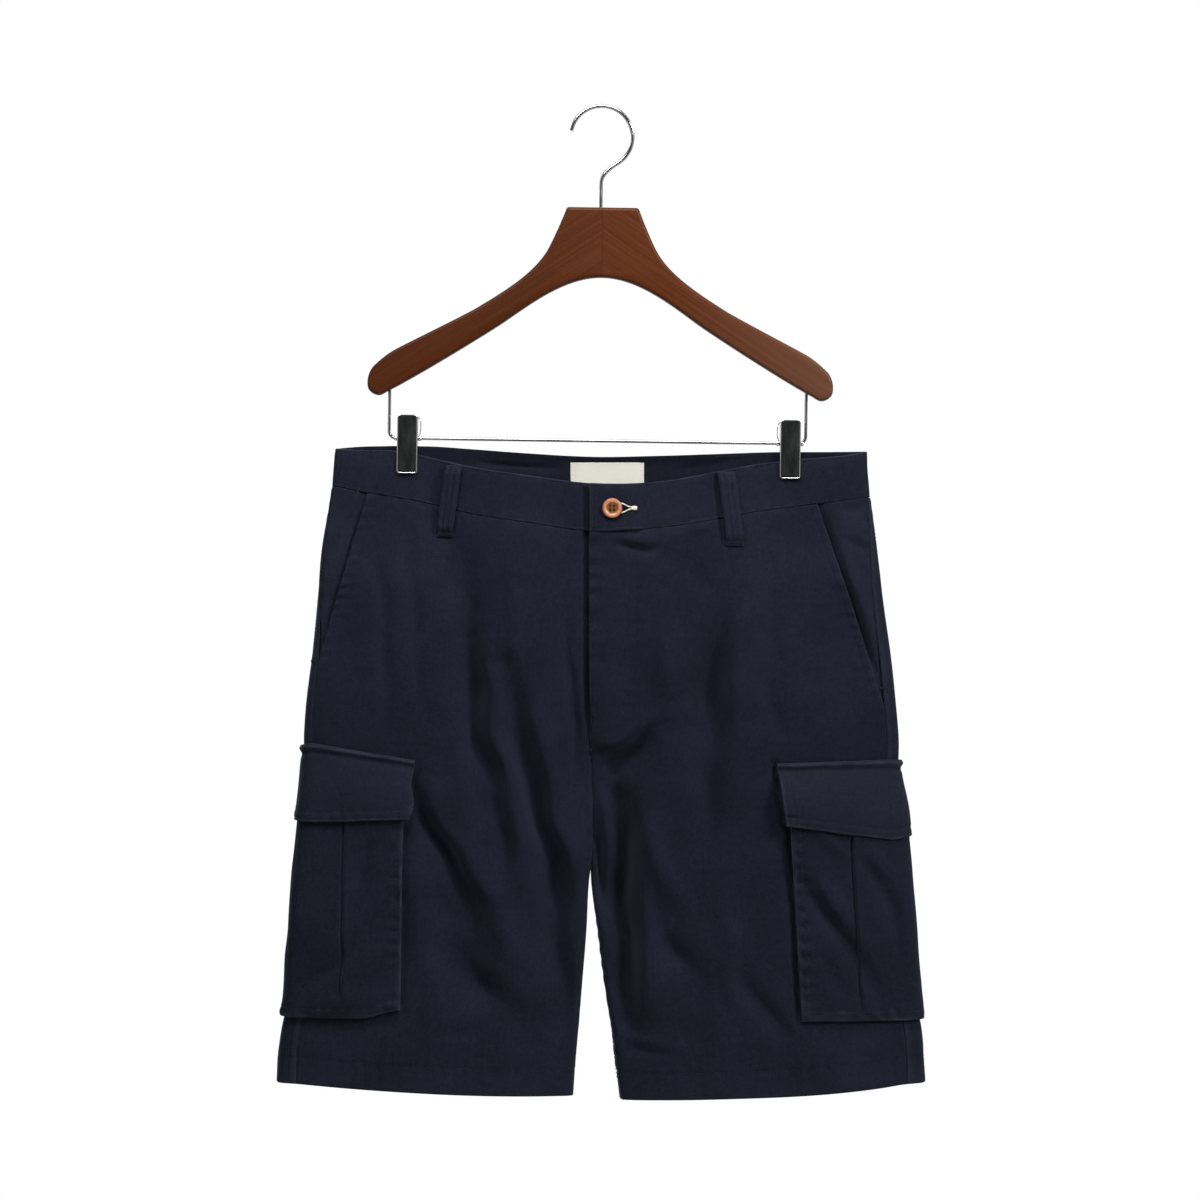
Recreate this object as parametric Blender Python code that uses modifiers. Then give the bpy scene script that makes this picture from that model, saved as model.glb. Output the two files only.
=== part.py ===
"""Cargo shorts hanging by two clips from a wooden hanger.

Sizes in the tables are millimetres, and the meshes are made in metres. X runs across the shorts, -Y is
their front and +Z is up. The origin is the inside of the hook's crown, where a rail carries the hanger.
"Drop" is a distance below that point. "Left" is the -X side.
"""

import math

import bmesh
import bpy
import numpy as np
from mathutils import Matrix, Vector

for leftover in list(bpy.data.objects):
    bpy.data.objects.remove(leftover)

MM = 0.001
LEFT, RIGHT = -1, 1
SIDE_NAME = {LEFT: "left", RIGHT: "right"}

# ---------------------------------------------------------------- driving dimensions of the shorts

CLOTH = 1.5  # thickness of the twill
BAND = 2.4  # thickness of the waistband: two layers and their interfacing
SEAM_GAP = 0.3  # between pieces that meet at a seam
LAY_GAP = 0.4  # between layers that lie on each other
BAND_GAP = 0.6  # between the waistband's two ends
HEM = 24.0  # depth of the turned-up hem
HEM_EXTRA = 1.2  # what the turn-up adds to the wall, inside

CENTRE_X = -9.0  # the centre front and centre back seams
CROTCH_DROP = 580.0
CROTCH_REACH = 130.0  # height over which the crotch curve opens out
PINCH_DROP = 316.0  # the clips hold the cloth flat down to here
LOOSE_DROP = 440.0  # from here down the cloth hangs as it likes
WAIST_FOLD = 3.0  # radius of the fold at each side of the waist
SIDE_FOLD = 7.0  # radius of the side folds lower down

# The cloth's outline from the front, the inner folds' radius, how far the legs lean apart at them, and
# how far the front and back stand out between the folds.
LEVEL_COLUMNS = (
    "drop", "out_left", "out_right", "in_left", "in_right", "fold", "lean", "belly_front", "belly_back",
)
LEVELS = (
    (284.0, -226.4, 225.0, -9.0, -9.0, 2.5, 0.0, 20.0, 12.0),
    (312.0, -228.7, 226.2, -9.0, -9.0, 2.5, 0.0, 20.5, 13.0),
    (333.0, -231.2, 228.4, -9.0, -9.0, 2.5, 0.0, 21.0, 14.0),
    (374.0, -238.0, 233.8, -9.0, -9.0, 2.5, 0.0, 21.0, 15.5),
    (425.0, -242.2, 239.8, -9.0, -9.0, 2.5, 0.0, 21.0, 17.0),
    (466.0, -246.5, 245.6, -9.0, -9.0, 2.5, 0.0, 20.0, 17.0),
    (507.0, -251.6, 249.9, -9.0, -9.0, 2.5, 0.0, 18.0, 16.5),
    (535.0, -253.4, 252.2, -9.0, -9.0, 2.5, 0.0, 16.5, 15.5),
    (575.0, -252.2, 252.0, -9.0, -9.0, 2.5, 0.0, 14.5, 14.0),
    (605.0, -255.6, 255.6, -9.9, -9.1, 2.5, 1.0, 13.5, 13.0),
    (640.0, -259.3, 258.8, -10.6, -9.6, 3.0, 1.6, 12.5, 12.5),
    (656.0, -260.6, 260.0, -11.6, -8.6, 3.5, 1.6, 12.0, 12.0),
    (700.0, -263.6, 262.8, -13.2, -3.8, 5.5, 1.6, 12.0, 12.0),
    (742.0, -266.2, 266.2, -16.6, 1.3, 6.0, 1.2, 12.5, 12.0),
    (764.0, -268.6, 268.4, -18.4, 4.8, 6.0, 1.0, 13.0, 12.5),
    (782.0, -272.4, 271.6, -19.9, 7.8, 6.0, 0.8, 13.5, 12.5),
    (803.0, -275.3, 273.7, -21.8, 10.0, 6.0, 0.6, 14.5, 13.0),
    (850.0, -277.0, 275.6, -25.2, 15.6, 6.0, 0.4, 16.0, 14.0),
)

# The waistband's edges, and how far its front and back hang away from the clips' plane.
WAIST_COLUMNS = (
    "x", "front_top", "front_seam", "back_top", "back_seam", "front_out", "back_out"
)
WAIST = (
    (-226.0, 289.5, 322.0, 289.5, 323.0, 0.0, 0.0),
    (-206.0, 290.8, 326.0, 287.8, 325.8, 1.6, 1.2),
    (-184.0, 290.9, 329.4, 287.3, 326.8, 0.0, 0.0),
    (-180.0, 291.0, 330.2, 287.2, 327.0, 0.0, 0.0),
    (-150.0, 296.0, 335.8, 287.5, 327.5, 0.0, 0.0),
    (-146.0, 297.0, 336.8, 287.6, 327.6, 0.0, 0.0),
    (-114.0, 304.6, 344.6, 289.6, 329.6, 9.0, 4.0),
    (-60.0, 313.2, 353.2, 293.4, 333.4, 18.5, 8.0),
    (-9.0, 319.6, 360.2, 296.0, 336.0, 22.0, 10.0),
    (50.0, 318.0, 357.0, 295.2, 335.2, 19.0, 8.5),
    (106.0, 307.8, 348.2, 293.6, 333.6, 9.5, 4.0),
    (140.0, 301.6, 341.9, 292.6, 332.6, 0.0, 0.0),
    (144.0, 301.1, 341.4, 292.5, 332.5, 0.0, 0.0),
    (174.0, 298.0, 337.7, 292.4, 332.2, 0.0, 0.0),
    (178.0, 297.7, 337.2, 292.4, 332.1, 0.0, 0.0),
    (206.0, 295.4, 333.8, 292.2, 331.6, 1.6, 1.2),
    (226.0, 292.0, 331.0, 292.0, 331.0, 0.0, 0.0),
)

# How far the side seams lie in front of the side folds.
SIDE_SEAM_COLUMNS = ("drop", "inset_left", "inset_right")
SIDE_SEAM = (
    (284.0, 0.6, 2.0),
    (330.0, 0.6, 3.5),
    (406.0, 1.2, 9.0),
    (470.0, 6.5, 10.5),
    (540.0, 8.0, 11.0),
    (784.0, 17.0, 16.0),
    (850.0, 18.0, 17.0),
)

# How far the hem line lies below its height at the side folds, from the inner edge to the side.
HEM_SIDE_DROP = 827.5
HEM_COLUMNS = ("share", "front_left", "front_right", "back_left", "back_right")
HEM_LINE = (
    (0.0, 11.2, 14.6, 11.2, 14.6),
    (0.06, 11.1, 14.4, 13.0, 16.6),
    (0.35, 9.2, 12.2, 10.8, 13.2),
    (0.6, 6.0, 9.4, 7.0, 9.8),
    (0.86, 1.8, 3.5, 2.2, 3.6),
    (0.93, 0.6, 1.0, 0.6, 1.0),
    (1.0, 0.0, 0.0, 0.0, 0.0),
)

# Broad folds: a curve through three points on one face, its breadth, and how far it stands out
# (a ridge) or in (a trough, below zero).
FOLD_COLUMNS = ("x0", "drop0", "x1", "drop1", "x2", "drop2", "breadth", "out")
FOLDS = {
    "front": (
        (-82.0, 478.0, -44.0, 610.0, -30.0, 800.0, 11.0, -6.5),
        (-115.0, 500.0, -96.0, 590.0, -62.0, 690.0, 10.0, -5.0),
        (-158.0, 590.0, -130.0, 660.0, -88.0, 770.0, 15.0, -5.5),
        (-60.0, 500.0, -74.0, 610.0, -52.0, 740.0, 12.0, 3.5),
        (-120.0, 560.0, -112.0, 640.0, -70.0, 740.0, 13.0, 3.5),
        (24.0, 590.0, 14.0, 680.0, 26.0, 810.0, 9.0, -7.0),
        (48.0, 560.0, 40.0, 660.0, 48.0, 800.0, 14.0, 4.0),
        (97.0, 450.0, 92.0, 540.0, 90.0, 650.0, 13.0, -4.5),
        (60.0, 430.0, 62.0, 530.0, 70.0, 640.0, 16.0, 3.0),
        (146.0, 360.0, 148.0, 440.0, 150.0, 560.0, 8.0, -2.0),
        (-116.0, 380.0, -114.0, 440.0, -110.0, 510.0, 12.0, -2.5),
    ),
    "back": (
        (-70.0, 470.0, -92.0, 600.0, -120.0, 770.0, 15.0, -5.0),
        (-150.0, 420.0, -158.0, 540.0, -150.0, 680.0, 13.0, -3.5),
        (-38.0, 560.0, -62.0, 680.0, -70.0, 810.0, 13.0, 4.0),
        (60.0, 480.0, 84.0, 600.0, 100.0, 760.0, 15.0, -5.0),
        (150.0, 400.0, 146.0, 520.0, 160.0, 660.0, 14.0, -3.5),
        (36.0, 580.0, 56.0, 690.0, 64.0, 800.0, 12.0, 4.0),
    ),
}
FOLD_SAMPLES = 25  # points along a fold's curve at which its distance is taken

# The slanted hand pockets, from the waist seam down to the side seam.
SLANT = {
    LEFT: {"top_x": -199.0, "top_drop": 327.0, "end_drop": 472.0},
    RIGHT: {"top_x": 183.0, "top_drop": 337.0, "end_drop": 508.0},
}
FACING_UNDERLAP = 9.0  # of the hip facing behind the front panel's slanted edge
FACING_FLUSH = 12.0  # breadth over which the facing comes up to the side seam's surface
FACING_SHOWN = 18.0  # where less than this shows, it stays lower
FACING_BELOW = 6.0  # how far it runs on below the slanted edge's end

FLY_LAP_END = (482.0, 499.0)  # the fronts stop overlapping between these drops
FLY_LIFT_END = (524.0, 550.0)  # and here the lifted edge comes down to the centre seam
FLY_OVERLAP = 2.0  # of the right front past the centre
FLY_UNDERLAP = 11.0  # of the left front behind it
FLY_LIE_DOWN = (13.0, 34.0)  # where the overlapping front starts and ends lying back down
BAND_OVERLAP = 1.5
BAND_UNDERLAP = 25.0
BAND_LIE_DOWN = (28.0, 52.0)  # where the lifted waistband end starts and ends lying back down

# How far the inseams lie in front of the inner folds, by drop.
INSEAM_COLUMNS = ("drop", "inset_left", "inset_right")
INSEAM = (
    (580.0, 0.15, 0.15),
    (640.0, 0.15, 0.3),
    (708.0, 0.15, 2.5),
    (781.0, 0.15, 6.8),
    (850.0, 0.15, 8.0),
)

# How finely the pieces are divided, down the leg and round it.
PANEL_ROWS = 24
FRONT_COLUMNS = 20
BACK_COLUMNS = 22
BAND_COLUMNS = 30
FACING_COLUMNS, FACING_ROWS = 6, 9
LOOP_COLUMNS, LOOP_ROWS = 2, 8
PANEL_LENGTH = 500.0  # about what a panel measures from its seam to its hem
HEM_STEP = 1.5  # height of the row in which the hem's extra thickness runs out
SEAM_GUESS, BAND_GUESS = 340.0, 310.0  # drops from which the seam's and the band's own are found
GUESSES = 4  # times that the finding is repeated

# ---------------------------------------------------------------- cargo pockets

POCKET_GAP = 0.8  # between a cargo pocket's or flap's edge and the leg
FLAP_CLEAR = 0.8  # between the flap and the pocket's face
POCKET_BREADTH = 172.0
POCKET_WALL = 1.4
PLEAT_STEP = 1.0  # the box pleat stands this far off the rest of the face
PLEAT_FOOT = 6.0  # height over which the pleat flattens out at the foot
# Front edge, height, how far the face stands off the leg at its front edge, at the side fold and at its
# back edge (at the top and at the foot), and how far the lower front corner curls up.
POCKET = {
    LEFT: {
        "top_x": -167.8, "bottom_x": -170.3, "mouth": 583.0, "bottom": 771.5,
        "front": (5.4, 5.4), "side": (2.8, 4.2), "back": (4.6, 4.6), "corner_lift": 7.0,
    },
    RIGHT: {
        "top_x": 158.5, "bottom_x": 168.7, "mouth": 588.0, "bottom": 774.0,
        "front": (9.5, 4.2), "side": (2.8, 4.2), "back": (4.6, 4.6), "corner_lift": 0.0,
    },
}
CORNER_REACH = (34.0, 40.0)  # how far along the foot and up the front edge the corner's curl goes
POCKET_SLACK = (605.0, 690.0)  # drops between which the stand-off goes over to that of the foot
SIDE_REACH = 45.0  # how far from the side fold the stand-off is still close to that at the fold
# The pocket from its front edge to its back edge: how far past a landmark each column lies, its share
# of the stand-off, and of the pleat's step. The first and last columns are the gusset's roots.
POCKET_COLUMNS = ("landmark", "past", "stand", "pleat")
POCKET_SECTION = (
    ("front", 0.0, 0.0, 0.0),
    ("front", 0.0, 0.62, 0.0),
    ("front", 1.2, 0.96, 0.0),
    ("front", 5.0, 1.0, 0.0),
    ("front", 28.0, 1.0, 0.0),
    ("front", 46.0, 0.97, 0.0),
    ("front", 50.3, 0.92, 0.0),
    ("front", 51.0, 0.94, 1.0),
    ("front", 56.0, 1.0, 1.0),
    ("fold", -25.0, 1.0, 1.0),
    ("fold", -14.0, 1.0, 1.0),
    ("fold", -7.0, 1.0, 1.0),
    ("fold", -2.5, 1.0, 1.0),
    ("fold", 2.5, 1.0, 1.0),
    ("fold", 8.0, 1.0, 1.0),
    ("fold", 12.0, 1.0, 1.0),
    ("back", -51.0, 0.94, 1.0),
    ("back", -50.3, 0.92, 0.0),
    ("back", -46.0, 0.97, 0.0),
    ("back", -28.0, 1.0, 0.0),
    ("back", -5.0, 1.0, 0.0),
    ("back", -1.2, 0.96, 0.0),
    ("back", 0.0, 0.62, 0.0),
    ("back", 0.0, 0.0, 0.0),
)
# The pocket from its foot up: height, and share of the stand-off.
POCKET_FOOT = ((0.0, 0.0), (0.0, 0.62), (1.2, 0.96), (5.0, 1.0), (22.0, 1.0))
POCKET_ROWS_ABOVE = 6

FLAP_WALL = 1.8
FLAP = {
    LEFT: {"top_x": -157.6, "foot_x": -164.4, "front_top": 553.3, "side_top": 539.0,
           "front_foot": 603.0, "side_foot": 606.0},
    RIGHT: {"top_x": 147.1, "foot_x": 154.6, "front_top": 556.0, "side_top": 553.0,
            "front_foot": 608.3, "side_foot": 621.0},
}
FLAP_SECTION = (
    ("front", 0.0), ("front", 16.0), ("front", 40.0), ("front", 64.0),
    ("fold", -25.0), ("fold", -14.0), ("fold", -7.0), ("fold", -2.5),
    ("fold", 2.5), ("fold", 8.0), ("fold", 12.0), ("back", -56.0), ("back", -30.0), ("back", 0.0),
)
# From the flap's top down: a stitched ridge, then out over the pocket. Distance from the top, how far
# it stands out, and its share of the way out over the pocket.
FLAP_FALL = (
    (0.0, 0.0, 0.0),
    (0.7, 0.8, 0.0),
    (2.3, 1.2, 0.0),
    (4.2, 0.8, 0.0),
    (5.6, 0.0, 0.04),
    (13.0, 0.0, 0.45),
    (20.0, 0.0, 0.75),
    (30.0, 0.0, 1.0),
    (50.0, 0.0, 1.0),
)
FLAP_DEPTH = 50.0  # the last distance above is the whole depth

# ---------------------------------------------------------------- belt loops, button, label

LOOP_BREADTH = 14.6
LOOP_WALL = 1.6
LOOP_SLACK = 2.6  # room behind a loop at its middle
LOOP_BELOW_EDGE = 1.5
LOOP_END = 0.14  # share of its length that is sewn down at each end
LOOPS = (  # number, face, x at the top, x at the foot, length
    (1, "front", -125.0, -131.5, 61.0),
    (2, "front", 104.5, 112.0, 63.0),
    (3, "back", -118.0, -120.0, 60.0),
    (4, "back", -9.0, -9.0, 60.0),
    (5, "back", 112.0, 114.0, 60.0),
)

BUTTON_X, BUTTON_DROP = 8.5, 340.6
BUTTON_RADIUS, BUTTON_THICK = 8.5, 3.0
BUTTON_HOLE_RADIUS, BUTTON_HOLE_SPACING = 0.9, 1.9
SHANK_RADIUS = 1.0
BUTTONHOLE = (4.5, 27.5)  # from one end to the other, in x
BUTTONHOLE_BREADTH = 2.8

LABEL_X = (-27.0, 36.0)
LABEL_DROP = (301.0, 333.0)
LABEL_WALL = 1.0

# ---------------------------------------------------------------- hanger

HANG_TILT = math.radians(0.8)
HOOK_WIRE = 1.7  # radius
HOOK_BEND = 26.3  # radius of the hook's centreline
HOOK_TIP_ANGLE, HOOK_LEAVE_ANGLE = math.radians(170.0), math.radians(-58.0)
HOOK_SHAFT_TOP = 64.0
WOOD_TOP = 85.0
SHAFT_IN_WOOD = 18.0
FIT = 0.3  # clearance of a wire in its hole

WOOD_X = 1.8  # its middle lies this far from the hook's line
WOOD_THICK = 14.0
WOOD_ROUND = 3.0
# Half the wood's outline in the XZ plane, as Bezier points: x, drop below its top, and the two
# handles' offsets along the outline. The other half mirrors it.
WOOD_COLUMNS = ("x", "drop", "back_x", "back_drop", "on_x", "on_drop")
WOOD_TOP_EDGE = (
    (28.0, 0.0, -10.0, 0.0, 2.0, 0.0),
    (31.6, 3.0, -1.0, -2.4, 1.5, 4.5),
    (45.0, 34.0, -5.0, -10.0, 11.0, 22.0),
    (108.0, 88.0, -26.0, -16.0, 22.0, 12.0),
    (172.0, 121.5, -16.0, -8.5, 8.0, 4.2),
    (193.5, 138.0, -7.0, -7.0, 3.0, 4.0),
    (197.6, 153.0, 0.4, -6.0, -0.4, 4.5),
    (189.5, 161.5, 5.0, -1.0, -4.0, 0.8),
    (178.0, 156.8, 5.0, 2.4, -20.0, -10.4),
    (88.0, 102.0, 22.0, 14.5, -22.0, -14.5),
    (0.0, 59.2, 34.0, 0.0, -34.0, 0.0),
)

BAR_WIRE = 1.35
BAR_DROP = 283.0
BAR_HALF = 177.0
BAR_BEND = 6.0
BAR_IN_WOOD = 9.0
BAR_WOOD_DROP = 241.0  # where the bar's ends enter the wood

CLIP_X = {LEFT: -161.3, RIGHT: 163.9}
CLIP_BREADTH, CLIP_HEIGHT = 17.4, 49.5
CLIP_TOP = 263.5
CLIP_JAW = 2.6
CLIP_INSERT = 1.0
CLIP_RIM = 1.1
CLIP_SPREAD = math.radians(5.0)  # the handles lean apart above the bar
CLIP_FACE = WAIST_FOLD + SEAM_GAP  # half the room between the jaws
SLEEVE_RADIUS = 2.9
SLEEVE_LENGTH = 15.4


# ---------------------------------------------------------------- small mathematics


def column(rows, columns, name):
    return np.array([row[columns.index(name)] for row in rows])


def smooth_curve(x, xs, ys):
    """A smooth curve through the points (xs, ys), read at x and level beyond its ends."""
    x = np.clip(np.asarray(x, float), xs[0], xs[-1])
    slope = np.gradient(ys, xs)
    i = np.clip(np.searchsorted(xs, x) - 1, 0, len(xs) - 2)
    step = xs[i + 1] - xs[i]
    t = (x - xs[i]) / step
    return (
        (1 + 2 * t) * (1 - t) ** 2 * ys[i]
        + t * (1 - t) ** 2 * step * slope[i]
        + t * t * (3 - 2 * t) * ys[i + 1]
        + t * t * (t - 1) * step * slope[i + 1]
    )


def mix(a, b, share):
    return a + (b - a) * share


def ease(t):
    """0 to 1, smoothly, as t goes from 0 to 1."""
    t = np.clip(t, 0, 1)
    return t * t * (3 - 2 * t)


def quarter_round(share):
    """The height of a quarter circle, share of a radius in from its edge."""
    return np.sqrt(1 - (1 - np.clip(share, 0, 1)) ** 2)


def level(name, drop):
    return smooth_curve(drop, column(LEVELS, LEVEL_COLUMNS, "drop"), column(LEVELS, LEVEL_COLUMNS, name))


def waist(name, x):
    return smooth_curve(x, column(WAIST, WAIST_COLUMNS, "x"), column(WAIST, WAIST_COLUMNS, name))


# ---------------------------------------------------------------- the cloth as a surface


def fold_relief(face, x, drop):
    """How far the broad folds of one face move the cloth out at each point."""
    relief = np.zeros_like(x)
    t = np.linspace(0, 1, FOLD_SAMPLES)
    for x0, drop0, x1, drop1, x2, drop2, breadth, out in FOLDS[face]:
        across = (1 - t) ** 2 * x0 + 2 * t * (1 - t) * x1 + t * t * x2
        down = (1 - t) ** 2 * drop0 + 2 * t * (1 - t) * drop1 + t * t * drop2
        distance = np.hypot(x[..., None] - across, drop[..., None] - down)
        nearest = distance.argmin(axis=-1)
        fade = np.sin(np.pi * np.clip(t[nearest], 0.02, 0.98)) ** 0.7
        relief += out * fade * np.exp(-((distance.min(axis=-1) / breadth) ** 2))
    return relief


def stand_off(side, face, share, drop):
    """How far the cloth stands out from the garment's middle plane.

    share is 0 at the centre or inseam and 1 at the side fold.
    """
    inner, outer = level("in_" + SIDE_NAME[side], drop), level("out_" + SIDE_NAME[side], drop)
    breadth = abs(outer - inner)
    x = mix(inner, outer, share)
    loose = ease((drop - PINCH_DROP) / (LOOSE_DROP - PINCH_DROP))
    above_crotch = np.clip((CROTCH_DROP - drop) / CROTCH_REACH, 0, 1)
    opened = quarter_round(above_crotch)
    radius = mix(WAIST_FOLD, SIDE_FOLD, loose)
    inner_radius = level("fold", drop)
    side_round = quarter_round((1 - share) * breadth / radius)
    inner_round = mix(quarter_round(share * breadth / inner_radius), 1, opened)
    swell = mix(
        np.sin(np.pi * np.clip(share, 0, 1)) ** 0.7,
        np.cos(np.pi / 2 * np.clip(share, 0, 1)) ** 0.7,
        opened,
    )
    wall = mix(inner_radius, radius, ease(share * breadth / 60)) * side_round * inner_round
    body = wall + level("belly_" + face, drop) * swell
    band = radius * side_round + np.maximum(waist(face + "_out", x), 0)
    keep_edges_plain = ease((1 - share) * breadth / 30) * ease(share * breadth / 12 + opened)
    return mix(band, body, loose) + fold_relief(face, x, drop) * keep_edges_plain * loose


class HalfSurface:
    """One half of the shorts as a surface.

    A point is given by its distance along the cloth from the centre front (or from the inner fold,
    below the crotch) round the side to the centre back, and by its drop.
    """

    ACROSS = 121
    SHARES = 361
    STEP = 2.5  # between levels

    def __init__(self, side):
        self.side = side
        self.drops = np.arange(LEVELS[0][0] - 4, LEVELS[-1][0] + 4, self.STEP)
        spaced = (1 - np.cos(np.linspace(0, np.pi, self.ACROSS))) / 2
        share, drop = np.meshgrid(spaced, self.drops)
        x = mix(level("in_" + SIDE_NAME[side], drop), level("out_" + SIDE_NAME[side], drop), share)
        lean = side * level("lean", drop) * (1 - share) ** 3
        front = lean - stand_off(side, "front", share, drop)
        back = lean + stand_off(side, "back", share, drop)
        x = np.hstack([x, x[:, -2::-1]])
        y = np.hstack([front, back[:, -2::-1]])
        run = np.cumsum(np.hypot(np.diff(x), np.diff(y)), axis=1)
        run = np.hstack([np.zeros((len(run), 1)), run])
        self.lengths = run[:, -1]
        self.fold_at = run[:, self.ACROSS - 1]
        shares = np.linspace(0, 1, self.SHARES)
        self.x = np.array([np.interp(shares * a[-1], a, b) for a, b in zip(run, x)])
        self.y = np.array([np.interp(shares * a[-1], a, b) for a, b in zip(run, y)])

    def length(self, drop):
        return np.interp(drop, self.drops, self.lengths)

    def read(self, along, drop):
        length = self.length(drop)
        row = np.clip((drop - self.drops[0]) / self.STEP, 0, len(self.drops) - 1.001)
        col = np.clip(along / length * (self.SHARES - 1), 0, self.SHARES - 1.001)
        i, j = row.astype(int), col.astype(int)
        a, b = row - i, col - j
        for table in (self.x, self.y):
            upper = mix(table[i, j], table[i, j + 1], b)
            lower = mix(table[i + 1, j], table[i + 1, j + 1], b)
            yield mix(upper, lower, a)

    def xy(self, along, drop):
        """x and y on the surface. Past its front end it goes on along the other half, or round the leg."""
        along, drop = np.broadcast_arrays(np.asarray(along, float), np.asarray(drop, float))
        is_leg = drop > CROTCH_DROP
        x, y = self.read(np.where(is_leg, along % self.length(drop), along), drop)
        crosses = (along < 0) & ~is_leg
        if crosses.any():
            other_x, other_y = HALVES[-self.side].read(np.abs(along), drop)
            x, y = np.where(crosses, other_x, x), np.where(crosses, other_y, y)
        return x, y

    def normal(self, along, drop):
        reach_along, reach_drop = 1.0, 2.0
        x1, y1 = self.xy(along + reach_along, drop)
        x0, y0 = self.xy(along - reach_along, drop)
        x3, y3 = self.xy(along, drop + reach_drop)
        x2, y2 = self.xy(along, drop - reach_drop)
        tangent = np.stack([x1 - x0, y1 - y0, np.zeros_like(x0)], axis=-1)
        upward = np.stack([x2 - x3, y2 - y3, np.full_like(x0, 2 * reach_drop)], axis=-1)
        normal = self.side * np.cross(tangent, upward)
        return normal / np.linalg.norm(normal, axis=-1, keepdims=True)

    def point(self, along, drop, out=0.0):
        """A point on the cloth's outside, moved out by that much."""
        along, drop = np.broadcast_arrays(np.asarray(along, float), np.asarray(drop, float))
        x, y = self.xy(along, drop)
        out = np.broadcast_to(out, along.shape)
        return np.stack([x, y, -drop], axis=-1) + self.normal(along, drop) * out[..., None]

    def along_at(self, x, drop, face="front"):
        """Where the front or back has that x, as a distance along the cloth."""
        x, drop = np.broadcast_arrays(np.asarray(x, float), np.asarray(drop, float))
        found = np.empty(x.shape)
        for place in np.ndindex(x.shape):
            reach = self.fold(drop[place])
            total = self.length(drop[place])
            run = np.linspace(0, reach, 400) if face == "front" else np.linspace(total, reach, 400)
            found[place] = np.interp(
                self.side * x[place], self.side * self.xy(run, drop[place])[0], run
            )
        return found

    def side_seam(self, drop):
        """The side seam, a set distance in front of the side fold."""
        drops = column(SIDE_SEAM, SIDE_SEAM_COLUMNS, "drop")
        insets = column(SIDE_SEAM, SIDE_SEAM_COLUMNS, "inset_" + SIDE_NAME[self.side])
        outer = level("out_" + SIDE_NAME[self.side], drop)
        return self.along_at(outer - self.side * smooth_curve(drop, drops, insets), drop)

    def inseam(self, drop):
        drops = column(INSEAM, INSEAM_COLUMNS, "drop")
        insets = column(INSEAM, INSEAM_COLUMNS, "inset_" + SIDE_NAME[self.side])
        return smooth_curve(drop, drops, insets)

    def slant(self, drop):
        """The slanted pocket edge: straight from the waist to the side seam, which it follows below."""
        row = SLANT[self.side]
        end_x, _ = self.xy(self.side_seam(row["end_drop"]), row["end_drop"])
        drop = np.asarray(drop, float)
        share = np.clip((drop - row["top_drop"]) / (row["end_drop"] - row["top_drop"]), -0.2, 1)
        edge, seam = self.along_at(mix(row["top_x"], end_x, share), drop), self.side_seam(drop)
        return np.where(share < 1, np.minimum(edge, seam), seam)

    def fold(self, drop):
        """The side fold."""
        return np.interp(drop, self.drops, self.fold_at)

    def share_across(self, along, drop):
        """0 at the inner fold and 1 at the side fold, by x."""
        x, _ = self.xy(along, drop)
        inner, outer = level("in_" + SIDE_NAME[self.side], drop), level("out_" + SIDE_NAME[self.side], drop)
        return np.clip((x - inner) / (outer - inner), 0, 1)

    def hem_drop(self, along, face):
        share = self.share_across(along, HEM_SIDE_DROP)
        falls = column(HEM_LINE, HEM_COLUMNS, face + "_" + SIDE_NAME[self.side])
        return HEM_SIDE_DROP + smooth_curve(share, column(HEM_LINE, HEM_COLUMNS, "share"), falls)


HALVES = {side: HalfSurface(side) for side in (LEFT, RIGHT)}


# ---------------------------------------------------------------- making objects


def new_collection(name):
    made = bpy.data.collections.new(name)
    bpy.context.scene.collection.children.link(made)
    return made


PARTS = new_collection("cargo_shorts_on_hanger")
CUTTERS = new_collection("cutters")


def material(name, colour, roughness, metallic=0.0):
    made = bpy.data.materials.new(name)
    made.use_nodes = True
    shader = made.node_tree.nodes["Principled BSDF"]
    shader.inputs["Base Color"].default_value = (*colour, 1.0)
    shader.inputs["Roughness"].default_value = roughness
    shader.inputs["Metallic"].default_value = metallic
    made.diffuse_color = (*colour, 1.0)
    return made


TWILL = material("navy_twill", (0.018, 0.021, 0.036), 0.85)
LABEL_CLOTH = material("cream_label", (0.74, 0.72, 0.64), 0.8)
HORN = material("brown_button", (0.36, 0.13, 0.05), 0.35)
THREAD = material("navy_thread", (0.02, 0.024, 0.04), 0.7)
WOOD = material("stained_wood", (0.13, 0.032, 0.012), 0.4)
CHROME = material("chrome", (0.75, 0.75, 0.76), 0.12, 1.0)
BLACK = material("black_insert", (0.012, 0.013, 0.012), 0.35)


def add_object(name, data, finish, parent=None):
    made = bpy.data.objects.new(name, data)
    data.materials.append(finish)
    PARTS.objects.link(made)
    made.parent = parent
    return made


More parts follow.
